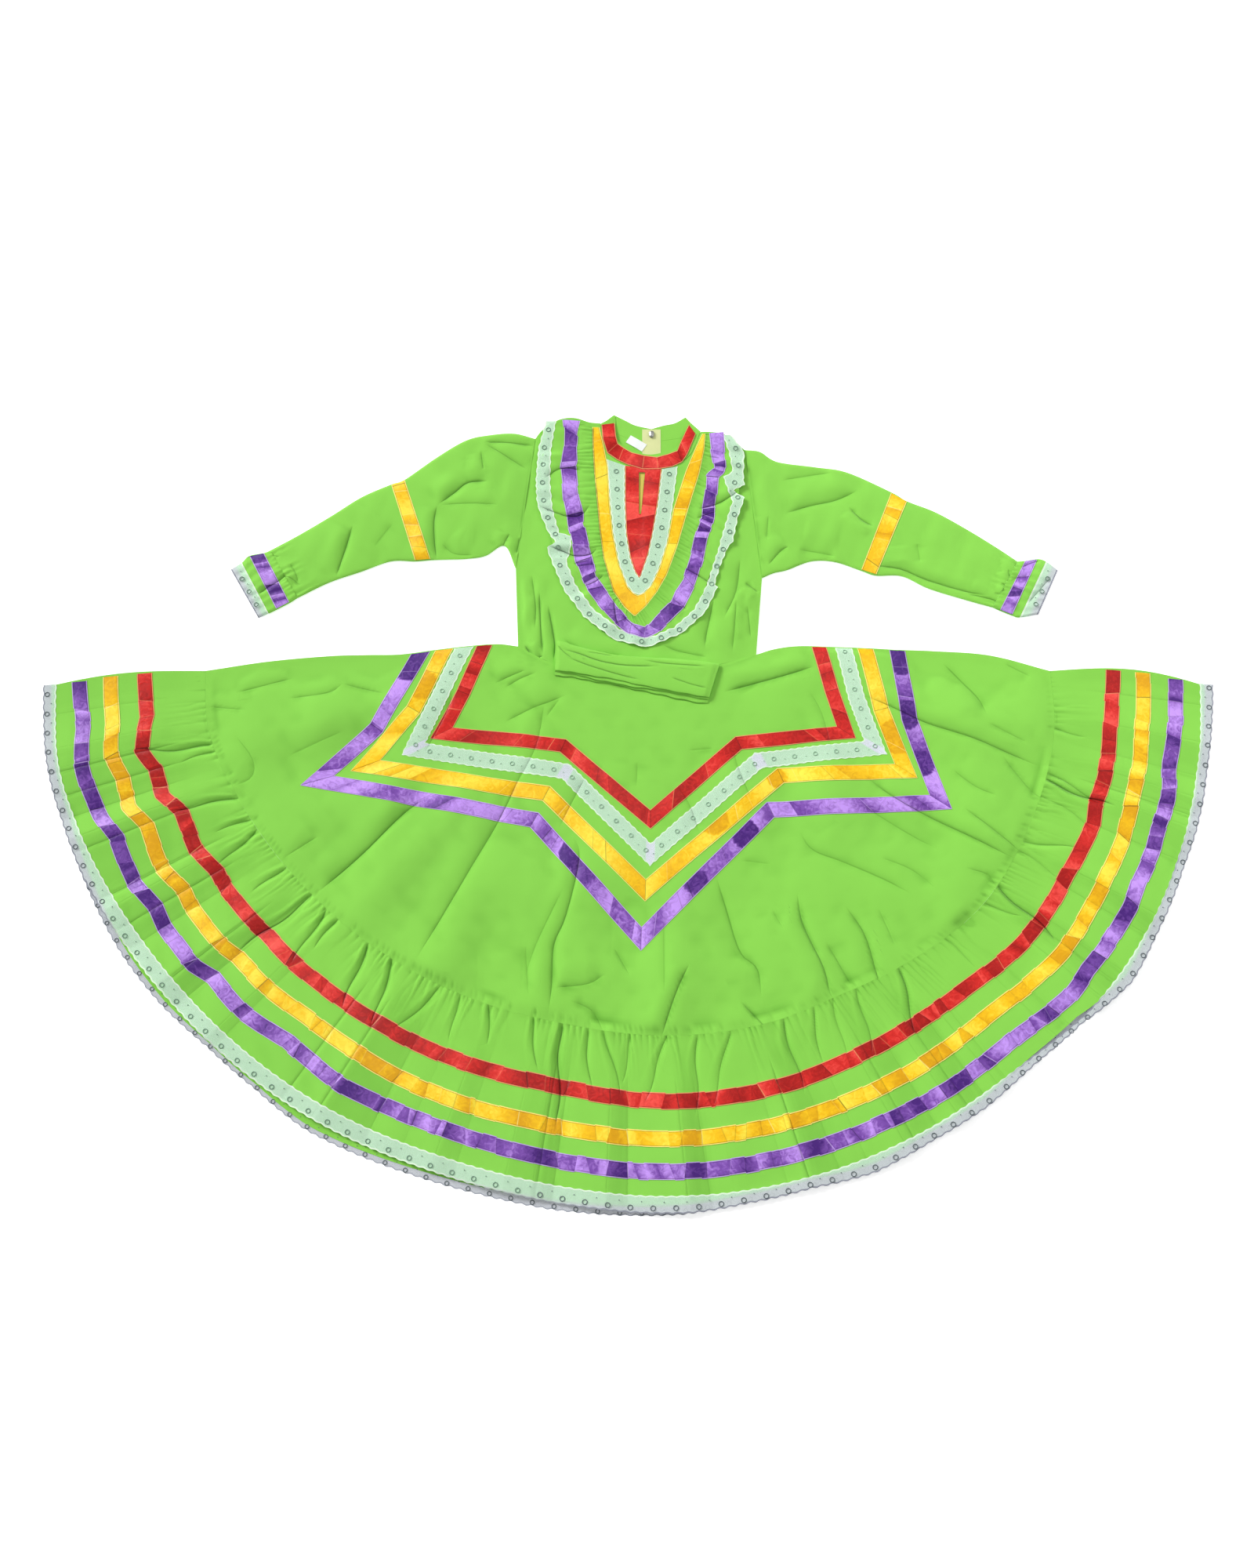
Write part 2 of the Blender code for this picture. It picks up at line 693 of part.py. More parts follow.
def build_bib_bands():
    bib_band("bib_yellow_ribbon", table_line(BIB, "seam"), table_line(BIB, "yellow"), YELLOW)
    laced = BIB[BIB_FIRST_LACE:BIB_LAST_LACE + 1]
    edge = table_line(laced, "panel")
    bib_band("bib_lace", table_line(laced, "lace"), edge, LACE)
    middle = sum(edge, Vector((0, 0))) / len(edge)
    outline = [p + (middle - p).normalized() * GAP for p in edge]
    panel = plate("bib_panel", [tuple(p) for p in outline], TRIM_LIES_AT, TRIM, RED)
    cut(panel, slit_cutter("guide_slit_panel"), "DIFFERENCE")


def ruffle_lines():
    """The ruffle's lines from its seam to the lace's edge, finely stepped."""
    steps = (len(BIB) - 1) * BIB_STEPS
    at = [i / BIB_STEPS for i in range(steps + 1)]
    rows = list(range(len(BIB)))
    lines = {"seam": [], "violet": [], "edge": []}
    for column, read in (("seam", between), ("violet", flowing), ("edge", flowing)):
        line = table_line(BIB, column)
        for t in at:
            x = read(rows, [p.x for p in line], t)
            y = read(rows, [p.y for p in line], t)
            lines[column].append(Vector((x, y)))
    return lines


def ruffle_grid():
    lines = ruffle_lines()
    grid = [[] for _ in range(5)]
    for k, seam in enumerate(lines["seam"]):
        violet, edge = lines["violet"][k], lines["edge"][k]
        inward = (seam - violet).normalized()
        outward = (edge - violet).normalized()
        room = (edge - violet).length - RIBBON / 2
        lace = min(BIB_LACE, room - 2 * GAP)
        across = [
            seam - inward * NECK_SETBACK,
            violet + inward * RIBBON / 2,
            violet + outward * RIBBON / 2,
            edge - outward * lace,
            edge,
        ]
        wave = uneven(k, 0.75, 0.25, 1.7)
        for row, p, lift in zip(grid, across, RUFFLE_LIFT):
            z = TRIM_LIES_AT + wave * lift * MM
            row.append(Vector((p.x, p.y, z)))
    return grid


def build_ruffle():
    grid = ruffle_grid()
    hem = [mix(low, high, RUFFLE_HEM_SHARE) for low, high in zip(grid[3], grid[4])]
    grid_cloth("bib_ruffle", grid[:4] + [hem], WALL, GREEN)
    over = raised(grid, WALL + GAP)
    grid_cloth("bib_violet_ribbon", over[1:3], TRIM, VIOLET)
    grid_cloth("bib_lace_edge", over[3:5], TRIM, LACE)


# Sleeves

def tube_rings(rows, across, puff, wave, wall):
    """Flattened tube: an outer and an inner ring at each station. The lower
    wall lies flat and the upper wall is puffed a little."""
    outer_rings = []
    inner_rings = []
    for row in rows:
        low = Vector((row.low_x * MM, row.low_y * MM))
        top = Vector((row.top_x * MM, row.top_y * MM))
        inset = wall / (top - low).length
        outer, inner = [], []
        for ring, edge, floor in ((outer, 0.0, 0.0), (inner, inset, wall)):
            for k in range(across + 1):
                share = mix(edge, 1 - edge, k / across)
                p = low.lerp(top, share)
                ring.append(Vector((p.x, p.y, floor)))
            for k in range(across, -1, -1):
                share = mix(edge, 1 - edge, k / across)
                p = low.lerp(top, share)
                lift = puff * math.sin(math.pi * k / across) ** PUFF_SHAPE
                if 0 < k < across:
                    lift += wave * (k % 2)
                z = 2 * wall + GAP + lift - floor
                ring.append(Vector((p.x, p.y, z)))
        outer_rings.append(outer)
        inner_rings.append(inner)
    return outer_rings, inner_rings


def tube(name, outer_rings, inner_rings, material):
    bm = bmesh.new()
    outer = [[bm.verts.new(p) for p in ring] for ring in outer_rings]
    inner = [[bm.verts.new(p) for p in ring] for ring in inner_rings]
    count = len(outer[0])

    def skin(rings):
        for near, far in zip(rings[:-1], rings[1:]):
            for k in range(count):
                j = (k + 1) % count
                bm.faces.new([near[k], near[j], far[j]])
                bm.faces.new([near[k], far[j], far[k]])

    skin(outer)
    skin(inner)
    for end in (0, -1):
        for k in range(count):
            j = (k + 1) % count
            bm.faces.new([outer[end][k], outer[end][j], inner[end][j]])
            bm.faces.new([outer[end][k], inner[end][j], inner[end][k]])
    return finish_mesh(name, bm, material)


def upper_strip(rings, across):
    """The upper outer points of some stations, as a grid."""
    return [list(reversed(ring[across + 1:])) for ring in rings]


def armhole_row(share, outward):
    """The sleeve's first station, just outside the bodice's armhole edge."""
    top, underarm = side_outline(share)[:2]
    shift = outward * ARMHOLE_SETBACK
    return SleeveRow((top.x + shift) / MM, top.y / MM, (underarm.x + shift) / MM, underarm.y / MM)


def build_sleeve(side, armhole, rows, frill_rows):
    rows = [armhole] + rows
    outer, inner = tube_rings(rows, SLEEVE_ACROSS, SLEEVE_PUFF, 0.0, WALL)
    tube("sleeve_" + side, outer, inner, GREEN)
    band = upper_strip(outer[BAND_STATION:BAND_STATION + 2], SLEEVE_ACROSS)
    grid_cloth("sleeve_band_" + side, raised(band, GAP), TRIM, YELLOW)

    outer, inner = tube_rings(frill_rows[:4], FRILL_ACROSS, FRILL_PUFF, FRILL_WAVE, WALL)
    tube("frill_" + side, outer, inner, GREEN)
    ribbon = upper_strip(outer[1:3], FRILL_ACROSS)
    grid_cloth("frill_ribbon_" + side, raised(ribbon, GAP), TRIM, VIOLET)
    outer, inner = tube_rings(frill_rows[3:5], FRILL_ACROSS, FRILL_PUFF, FRILL_WAVE, TRIM)
    outward = math.copysign(1.0, frill_rows[4].top_x - frill_rows[3].top_x)
    away = Vector((outward * CUFF_SETBACK, 0, 0))
    outer[0] = [p + away for p in outer[0]]
    inner[0] = [p + away for p in inner[0]]
    tube("frill_lace_" + side, outer, inner, LACE)


# Skirt and flounce

def column_angle(column, columns):
    return mix(LEFT_FOLD, RIGHT_FOLD, column / columns)


def skirt_plan(column, columns, along):
    """Column 0 is the left side fold. along runs from the waist to the seam."""
    share = column / columns
    waist = waist_point(share)
    waist.y -= GAP / 2
    angle = column_angle(column, columns)
    seam = polar(angle, hem_radius("seam", angle))
    p = waist.lerp(seam, along)
    alongs = [row.along for row in SIDE_FOLDS]
    left = between(alongs, [row.left for row in SIDE_FOLDS], along) * MM
    right = between(alongs, [row.right for row in SIDE_FOLDS], along) * MM
    p.y += left * max(0.0, 1 - share / FOLD_SHARE) ** 2
    p.y += right * max(0.0, 1 - (1 - share) / FOLD_SHARE) ** 2
    return p


def fold_height(angle, along):
    height = 0.0
    for fold in SKIRT_FOLDS:
        near = math.exp(-((angle - fold.angle) / fold.half_width) ** 2)
        height += fold.height * MM * near * ease((along - fold.start) / FOLD_EASE)
    return height


def skirt_loft(share, angle, along):
    edge = mix(BODY_EDGE, SKIRT_EDGE, ease(along / SKIRT_EASE))
    side = ease(min(share, 1 - share) / edge)
    return side * (LOFT + fold_height(angle, along))


SKIRT_ROWS = [row.along for row in SIDE_FOLDS]


def skirt_grid():
    grid = []
    for along in SKIRT_ROWS:
        row = []
        for column in range(SKIRT_COLUMNS + 1):
            p = skirt_plan(column, SKIRT_COLUMNS, along)
            angle = column_angle(column, SKIRT_COLUMNS)
            share = column / SKIRT_COLUMNS
            z = FRONT_LIES_AT + skirt_loft(share, angle, along)
            row.append(Vector((p.x, p.y, z)))
        grid.append(row)
    return grid


def band_outline(corners, width):
    """A zigzag band's outline: its outer corners and a line width inside."""
    inner = []
    last = len(corners) - 1
    for i, corner in enumerate(corners):
        before = (corner - corners[i - 1]).normalized() if i > 0 else None
        after = (corners[i + 1] - corner).normalized() if i < last else None
        one = before or after
        two = after or before
        normal_one = Vector((-one.y, one.x))
        normal_two = Vector((-two.y, two.x))
        miter = (normal_one + normal_two).normalized()
        inner.append(corner + miter * width / miter.dot(normal_one))
    return corners + inner[::-1]


def build_star(grid):
    """Zigzag trims: the skirt front's own wall, raised, within each outline."""
    for column, name, material, width in (
            ("violet", "star_violet_ribbon", VIOLET, STAR_SATIN),
            ("yellow", "star_yellow_ribbon", YELLOW, STAR_SATIN),
            ("lace", "star_lace", LACE, STAR_LACE),
            ("red", "star_red_ribbon", RED, STAR_RED)):
        corners = table_line(STAR, column)
        outline = band_outline(corners, width)
        trim = grid_cloth(name, raised(grid, WALL + GAP), TRIM, material)
        corners = [tuple(p) for p in outline]
        guide = plate("guide_" + name, corners, GUIDE_LOW, GUIDE_TALL, material)
        cut(trim, guide, "INTERSECT")


def broad_wave(angle):
    """Uneven undulation round the hem, 0 to 1."""
    turn = math.radians(angle)
    return 0.5 + sum(wave.share * math.sin(wave.cycles * turn + wave.shift) for wave in HEM_WAVES)


# Lines round the flounce: a distance past one of the hem table's radii, and the
# height of the waves there in millimetres. The first three carry the gathers.
FlounceLine = namedtuple("FlounceLine", "radius past lift")
GATHER_LINES = [
    FlounceLine("seam", GAP, 2.4),
    FlounceLine("seam", 14 * MM, 2.0),
    FlounceLine("seam", 32 * MM, 1.0),
]
FLOUNCE_LINES = [
    FlounceLine("seam", 52 * MM, 0.8),
    FlounceLine("red", 0, 1.4),
    FlounceLine("red", RIBBON, 1.8),
    FlounceLine("yellow", 0, 2.2),
    FlounceLine("yellow", RIBBON, 2.6),
    FlounceLine("violet", 0, 2.9),
    FlounceLine("violet", RIBBON, 3.2),
    FlounceLine("lace", 0, 3.4),
    FlounceLine("edge", -HEM_OVERHANG, 3.6),
]
LACE_EDGE = FlounceLine("edge", 0, 3.6)
FLOUNCE_LOFT = 0.5 * LOFT
FLOUNCE_EDGE = 0.05        # share of its width over which its sides lie flat


def flounce_point(share, line, past=0.0):
    angle = mix(LEFT_FOLD, RIGHT_FOLD, share)
    return polar(angle, hem_radius(line.radius, angle) + line.past + past)


def flounce_height(share, wave):
    side = ease(min(share, 1 - share) / FLOUNCE_EDGE)
    return FRONT_LIES_AT + side * (FLOUNCE_LOFT + wave)


def flounce_coarse_grid():
    grid = []
    for line in FLOUNCE_LINES:
        row = []
        for column in range(SKIRT_COLUMNS + 1):
            share = column / SKIRT_COLUMNS
            p = flounce_point(share, line)
            wave = broad_wave(column_angle(column, SKIRT_COLUMNS)) * line.lift * MM
            row.append(Vector((p.x, p.y, flounce_height(share, wave))))
        grid.append(row)
    return grid


def gather_grid():
    """Fine gathers next to the seam, whose points lie on the skirt's edge."""
    grid = []
    fine = SKIRT_COLUMNS * GATHERS_PER_COLUMN
    for line in GATHER_LINES:
        row = []
        for k in range(fine + 1):
            column, step = divmod(k, GATHERS_PER_COLUMN)
            here = flounce_point(column / SKIRT_COLUMNS, line)
            after = min(column + 1, SKIRT_COLUMNS)
            ahead = flounce_point(after / SKIRT_COLUMNS, line)
            p = here.lerp(ahead, step / GATHERS_PER_COLUMN)
            wave = uneven(k, 0.7, 0.3, 2.3) * line.lift * MM
            row.append(Vector((p.x, p.y, flounce_height(k / fine, wave))))
        grid.append(row)
    return grid


def build_flounce_front():
    fine = gather_grid()
    coarse = flounce_coarse_grid()
    fine_count = len(fine[0])
    coarse_count = len(coarse[0])
    points = [p for row in fine for p in row]
    start = len(points)
    points += [p for row in coarse for p in row]
    triangles = grid_triangles(len(fine), fine_count)
    last_fine = (len(fine) - 1) * fine_count
    for column in range(coarse_count - 1):
        f = last_fine + column * GATHERS_PER_COLUMN
        c = start + column
        triangles += [(f, f + 1, c), (f + 1, c + 1, c)]
        triangles += [(f + 1, f + 2, c + 1), (f + 2, f + 3, c + 1)]
    for tri in grid_triangles(len(coarse), coarse_count):
        triangles.append(tuple(i + start for i in tri))
    cloth("flounce_front", points, triangles, WALL, GREEN)

    over = raised(coarse, WALL + GAP)
    grid_cloth("flounce_red_ribbon", over[1:3], TRIM, RED)
    grid_cloth("flounce_yellow_ribbon", over[3:5], TRIM, YELLOW)
    grid_cloth("flounce_violet_ribbon", over[5:7], TRIM, VIOLET)
    edge = []
    for column, hem in enumerate(over[-1]):
        p = flounce_point(column / SKIRT_COLUMNS, LACE_EDGE)
        edge.append(Vector((p.x, p.y, hem.z)))
    grid_cloth("hem_lace_front", over[7:9] + [edge], TRIM, LACE)


PEEP = 6 * MM
PEEP_CENTRE = 0.27
PEEP_HALF_WIDTH = 0.12


def back_peep(share):
    """How far the back hem shows past the front one, low on the left."""
    return PEEP * math.exp(-((share - PEEP_CENTRE) / PEEP_HALF_WIDTH) ** 2)


def build_skirt_back():
    """Flat half circle, with the same outline as the front."""
    outline = [skirt_plan(column, BACK_COLUMNS, 1) for column in range(BACK_COLUMNS + 1)]
    right = [skirt_plan(BACK_COLUMNS, BACK_COLUMNS, along) for along in SKIRT_ROWS[-2:0:-1]]
    waist = waist_outline(range(WAIST_STEPS, -1, -1), -GAP / 2)
    left = [skirt_plan(0, BACK_COLUMNS, along) for along in SKIRT_ROWS[1:-1]]
    outline = [tuple(p) for p in outline + right] + waist + [tuple(p) for p in left]
    plate("skirt_back", outline, 0, WALL, GREEN)


def build_flounce_back():
    cotton = [GATHER_LINES[0], FLOUNCE_LINES[-1]]
    lace = [FlounceLine("edge", GAP - HEM_OVERHANG, 0), LACE_EDGE]
    for name, lines, thick, material in (("flounce_back", cotton, WALL, GREEN),
                                         ("hem_lace_back", lace, TRIM, LACE)):
        grid = []
        for line in lines:
            row = []
            for column in range(BACK_COLUMNS + 1):
                share = column / BACK_COLUMNS
                past = 0 if line.radius == "seam" else back_peep(share)
                p = flounce_point(share, line, past)
                row.append(Vector((p.x, p.y, 0)))
            grid.append(row)
        grid_cloth(name, grid, thick, material)


def build_sash():
    """One rounded solid, lofted through its sections."""
    bm = bmesh.new()
    rings = []
    for row in SASH:
        low = Vector((row.low_x * MM, row.low_y * MM))
        top = Vector((row.top_x * MM, row.top_y * MM))
        ring = []
        for point in SASH_SECTION:
            p = low.lerp(top, point.across)
            z = TRIM_LIES_AT + point.height * row.thick * MM
            ring.append(bm.verts.new((p.x, p.y, z)))
        rings.append(ring)
    count = len(SASH_SECTION)
    for near, far in zip(rings[:-1], rings[1:]):
        for k in range(count):
            j = (k + 1) % count
            bm.faces.new([near[k], near[j], far[j]])
            bm.faces.new([near[k], far[j], far[k]])
    ends = [bm.faces.new(rings[0]), bm.faces.new(list(reversed(rings[-1])))]
    bmesh.ops.triangulate(bm, faces=ends)
    finish_mesh("sash", bm, GREEN)


clear_scene()
GREEN = make_material("cotton_green", (0.29, 0.75, 0.12), 0.75)
RED = make_material("satin_red", (0.68, 0.03, 0.03), 0.30)
YELLOW = make_material("satin_yellow", (1.0, 0.62, 0.02), 0.30)
VIOLET = make_material("satin_violet", (0.22, 0.06, 0.55), 0.30)
LACE = make_material("lace_white", (0.8, 0.85, 0.84), 0.8)
ZIP = make_material("zip_tape_pale", (0.68, 0.75, 0.30), 0.7)
WHITE = make_material("label_white", (0.9, 0.92, 0.92), 0.6)
METAL = make_material("slider_metal", (0.35, 0.36, 0.33), 0.35, 1.0)

build_bodice_backs()
build_bodice_front()
build_collar()
build_zip_and_label()
build_bib_bands()
build_ruffle()
build_sleeve("left", armhole_row(0, -1), LEFT_SLEEVE, LEFT_FRILL)
build_sleeve("right", armhole_row(1, 1), RIGHT_SLEEVE, RIGHT_FRILL)
build_skirt_back()
SKIRT_GRID = skirt_grid()
grid_cloth("skirt_front", SKIRT_GRID, WALL, GREEN)
build_star(SKIRT_GRID)
build_flounce_back()
build_flounce_front()
build_sash()
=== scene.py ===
# %% [markdown]
# # A folklorico dress, laid out flat
# The dress lies on its back on a pale floor. Every piece of cloth in it is thin,
# so its look comes from three things: the outline it was cut to, the folds that
# it lies in, and how its fibres take the light. Much of that light and shade is
# painted into the colours: painted shade in folds and gaps, and the painted sheen
# of the satin. Each step below says what the real piece is, how it could be made
# in Blender, and why one way was chosen.

# %% Start from the imported frame
import math
from collections import namedtuple

import bpy
import numpy as np
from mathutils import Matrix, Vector
from mathutils.bvhtree import BVHTree


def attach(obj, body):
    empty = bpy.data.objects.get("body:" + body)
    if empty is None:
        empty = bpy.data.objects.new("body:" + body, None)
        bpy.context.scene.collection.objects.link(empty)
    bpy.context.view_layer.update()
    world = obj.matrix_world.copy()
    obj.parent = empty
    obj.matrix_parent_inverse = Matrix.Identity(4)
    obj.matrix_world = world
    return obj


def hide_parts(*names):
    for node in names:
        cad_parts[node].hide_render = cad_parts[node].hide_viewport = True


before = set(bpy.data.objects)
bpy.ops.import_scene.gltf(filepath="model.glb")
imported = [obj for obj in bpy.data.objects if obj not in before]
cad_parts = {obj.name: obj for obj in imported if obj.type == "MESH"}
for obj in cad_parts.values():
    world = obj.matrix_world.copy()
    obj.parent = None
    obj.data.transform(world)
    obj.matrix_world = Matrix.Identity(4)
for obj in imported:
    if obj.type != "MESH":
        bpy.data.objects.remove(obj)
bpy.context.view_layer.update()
print("frame:", len(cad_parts), "solids")

# %% [markdown]
# ## Working units and layers
# Sewing is measured in millimetres, so every grid below is in millimetres and is
# turned into metres when its mesh is made. The dress is a stack: floor, back
# panels, front panels, then ribbons and lace. Each layer has a height of its own,
# so that nothing cuts through its neighbour.

# %% Sizes
MM = 0.001
COTTON = 0.5               # thickness of the cotton, as seen
SATIN = 0.3                # thickness of a ribbon
NET = 0.25                 # thickness of the lace
CLEAR = 0.25               # air under a ribbon that lies on cotton
BACK_AT = 0.45             # underside of the back panels; their ribbons lie below
BACK_THICK = 0.6
FRONT_AT = 1.3             # underside of the front panels at the side folds
LOFT = 2.2                 # air between the back and the front
RIBBON = 23.0
HEM_OVERHANG = 12.0
LIGHT_FROM = (-0.80, 0.60) # plan direction of the key light, for the folds

# %% [markdown]
# ## The outlines
# These tables hold the shape that the dress lies in. Angles run round the hem in
# degrees, from the side fold on the right to the one on the left. All the other
# numbers are millimetres from the centre of the skirt's circle.

# %% Tables of the outlines
def table(columns, rows):
    """Rows of numbers whose columns have names."""
    named = namedtuple("Row", columns)
    return [named(*row) for row in rows]


# Round the hem: the gathered seam, the inner edges of the ribbons and the lace,
# and the hem's own edge
HEM = table("angle seam red yellow violet lace edge", (
    (5.9, 616, 699, 748, 792, 832, 851), (15, 632, 706, 752, 796, 838, 857),
    (28, 640, 710, 757, 802, 846, 866), (40, 643, 710, 757, 804, 844, 863),
    (50, 630, 695, 742, 789, 828, 848), (62, 613, 688, 738, 782, 824, 846),
    (72, 609, 686, 734, 777, 820, 844), (85, 598, 678, 727, 770, 811, 836),
    (98, 586, 662, 714, 757, 799, 829), (109, 585, 661, 712, 752, 796, 830),
    (122, 587, 663, 713, 757, 802, 839), (137, 593, 668, 720, 768, 808, 842),
    (146, 600, 675, 729, 774, 815, 846), (157, 611, 693, 744, 788, 828, 848),
    (165, 621, 708, 751, 797, 836, 853), (174.1, 616, 700, 749, 794, 831, 850)))

# The hem's edge wanders in and out between the rows above, in mm
HEM_TRIM = table("angle change", (
    (7, 1), (13, -3), (19, -3), (25, -7), (31, -5), (37, 2), (43, -11), (49, -8), (55, -2), (61, -4),
    (67, 0), (73, -8), (79, -6), (85, 0), (97, 3), (103, 1), (115, -1), (121, -2), (127, -10), (133, -10),
    (139, -2), (145, 1)))

# The seams of the waist, and how far each side fold of the skirt stands out
WAIST = table("x y", (
    (-160, -25), (-108, -52), (-50, -62), (12, -66), (75, -63), (133, -54), (187, -38)))

SIDE_FOLDS = table("along left right", (
    (0.00, 0, 0), (0.06, 6, 10), (0.14, 7, 17), (0.26, 5, 19), (0.38, 2, 20), (0.48, 5, 20),
    (0.60, 8, 21), (0.80, 7, 19), (1.00, 0, 0)))

# Soft folds that fan out from the waist: half_width is in degrees, and start is
# the share of the way out where they begin to rise
SKIRT_FOLDS = table("angle half_width height start", (
    (16, 5, 2.2, 0.35), (31, 4, 3.0, 0.55), (47, 5, 2.4, 0.30), (66, 5, 1.8, 0.60), (84, 4, 2.6, 0.55),
    (101, 5, 2.0, 0.35), (117, 4, 3.2, 0.50), (131, 4, 3.4, 0.35), (146, 5, 2.6, 0.45),
    (161, 4, 2.4, 0.30)))

# The corners of the star's four trims, each on its outer edge
STAR = table("violet_x violet_y yellow_x yellow_y lace_x lace_y red_x red_y", (
    (-307, -20, -273, -14, -246, -12, -215, -10), (-370, -145, -318, -119, -283, -98, -247, -94),
    (-465, -239, -395, -217, -324, -194, -283, -168), (-138, -300, -121, -262, -94, -230, -97, -189),
    (18, -478, 24, -408, 31, -358, 32, -303), (207, -286, 222, -235, 192, -213, 163, -185),
    (458, -275, 412, -228, 371, -192, 327, -167), (416, -136, 376, -121, 342, -102, 305, -91),
    (402, -12, 355, -13, 324, -11, 285, -7)))

# The shoulders and the neckline, then the collar bands above it
BODICE_TOP = table("x y", (
    (-140, 315), (-133, 326), (-120, 339), (-100, 349), (-79, 350), (-58, 343), (-41, 341), (-33, 300),
    (-14, 280), (10, 269), (35, 265), (60, 268), (82, 276), (97, 290), (111, 326), (125, 326), (147, 322),
    (163, 308), (177, 296)))

COLLAR_FRONT_TOP = table("x y", (
    (-19, 353), (-16, 314), (-2, 298), (14, 291), (32, 287), (52, 290), (70, 297), (83, 316), (91, 347)))

COLLAR_BACK_LEFT = table("seam_x seam_y top_x top_y", (
    (-40, 340, -21, 356), (-20, 326, -3, 346), (5, 315, 12, 338), (36, 310, 36, 332)))
COLLAR_BACK_RIGHT = table("seam_x seam_y top_x top_y", (
    (36, 310, 36, 332), (58, 313, 55, 338), (85, 318, 72, 342), (110, 326, 88, 352)))

# The bib from the left shoulder down to its point and up to the right one
BIB = table(
    "seam_x seam_y yellow_x yellow_y lace_x lace_y panel_x panel_y violet_x violet_y edge_x edge_y", (
    (-54, 334, -43, 334, 0, 0, 0, 0, -81, 338, -126, 339),
    (-53, 300, -36, 300, 0, 0, 0, 0, -86, 300, -134, 300),
    (-51, 262, -30, 266, -32, 279, -4, 268, -88, 262, -138, 258),
    (-46, 207, -27, 207, -27, 207, -4, 207, -84, 207, -138, 212),
    (-42, 160, -22, 155, -22, 155, -2, 155, -73, 160, -124, 160),
    (-36, 115, -13, 105, -13, 105, 4, 115, -63, 110, -112, 108),
    (-22, 62, 0, 69, 0, 69, 11, 93, -43, 62, -84, 38), (-6, 37, 8, 59, 8, 59, 15, 86, -12, 20, -40, -4),
    (10, 21, 15, 55, 15, 55, 17, 83, 22, -4, 12, -27), (27, 38, 24, 59, 24, 59, 19, 86, 47, 14, 54, -21),
    (43, 60, 35, 71, 35, 71, 22, 96, 71, 38, 90, 4), (58, 88, 47, 100, 47, 100, 30, 121, 86, 69, 111, 34),
    (74, 135, 59, 142, 59, 142, 38, 162, 101, 119, 126, 82),
    (89, 190, 68, 195, 67, 195, 45, 207, 114, 172, 156, 140),
    (108, 255, 87, 258, 76, 267, 51, 262, 128, 240, 173, 218),
    (116, 296, 101, 294, 0, 0, 0, 0, 136, 290, 176, 275),
    (118, 322, 113, 322, 0, 0, 0, 0, 137, 320, 163, 317)))

# The violet ribbon on the ruffle, down the left and up the right: its middle, its
# width, the slant of its fold there, then the tilt of the stretch that follows,
# which picks its painted sheen, and how the fold line shows as a painted line,
# from -1 for painted shade to 1 for a painted highlight
BIB_VIOLET = table("x y wide slant tilt line", (
    (-85, 344, 27, 0, 0.85, 0), (-86, 325, 21, 22, 0.30, 0.3), (-87, 300, 20, 0, 0.36, 0.1),
    (-88, 273, 25, -3, 0.95, 0.6), (-90, 264, 24, -3, 0.62, -1.0), (-87, 235, 23, 6, 0.85, 0.3),
    (-85, 214, 24, -8, 0.75, 0.2), (-79, 187, 26, -3, 0.12, -0.9), (-78, 169, 24, -7, 0.90, 0.6),
    (-75, 160, 24, -6, 0.35, -0.3), (-70, 135, 24, 6, 0.75, 0.3), (-65, 112, 27, -4, 0.35, -1.0),
    (-62, 103, 25, 3, 0.62, -0.8), (-58, 87, 22, -4, 0.18, -0.3), (-55, 79, 21, -2, 0.82, 0.5),
    (-48, 66, 24, 8, 0.45, -0.9), (-37, 50, 23, -6, 0.70, 0.3), (-24, 31, 22, 14, 0.52, -1.0),
    (-10, 14, 20, 6, 0.64, -0.7), (4, 2, 18, -6, 0.70, -0.5), (25, -5, 19, 4, 0.62, 0.4),
    (38, 2, 21, -8, 0.45, 0.2), (52, 18, 22, 10, 0.10, -0.5), (72, 38, 22, -7, 0.86, -0.8),
    (80, 56, 23, 6, 0.78, 0.4), (91, 77, 20, 12, 0.55, -1.0), (97, 98, 21, -8, 0.50, 0.1),
    (103, 118, 21, 7, 0.35, 0.3), (109, 148, 20, -4, 0.92, 0.5), (112, 158, 20, -5, 0.15, -0.3),
    (116, 169, 20, 5, 0.85, 0.6), (118, 175, 20, 4, 0.20, -0.4), (120, 183, 20, 6, 0.06, 0.5),
    (121, 197, 19, -6, 0.30, 0.9), (125, 222, 18, 8, 0.62, 0.2), (127, 249, 19, -5, 0.60, -1.0),
    (138, 259, 18, -4, 0.80, -0.3), (139, 266, 18, 3, 0.18, -0.4), (138, 274, 19, -3, 0.90, 0.8),
    (136, 292, 21, 7, 0.82, 0.1), (134, 323, 22, 0, 0.80, 0)))

# The lace on the ruffle's edge, with the places where it is folded over
BIB_EDGE = table("out_x out_y in_x in_y", (
    (-125, 342, -108, 342), (-136, 297, -115, 297), (-139, 241, -116, 241), (-137, 208, -112, 197),
    (-131, 186, -108, 180), (-118, 154, -101, 156), (-108, 139, -82, 150), (-121, 131, -84, 128),
    (-112, 105, -90, 108), (-95, 63, -76, 72), (-65, 20, -50, 33), (-22, -16, -12, 1), (26, -29, 27, -11),
    (46, -22, 40, -9), (80, -6, 67, 4), (114, 26, 96, 31), (133, 67, 112, 62), (129, 73, 117, 75),
    (137, 100, 124, 98), (149, 132, 134, 130), (157, 141, 137, 143), (165, 181, 147, 178),
    (176, 214, 156, 207), (159, 226, 150, 224), (176, 234, 143, 248), (175, 248, 157, 258),
    (177, 291, 152, 291), (157, 319, 143, 319)))

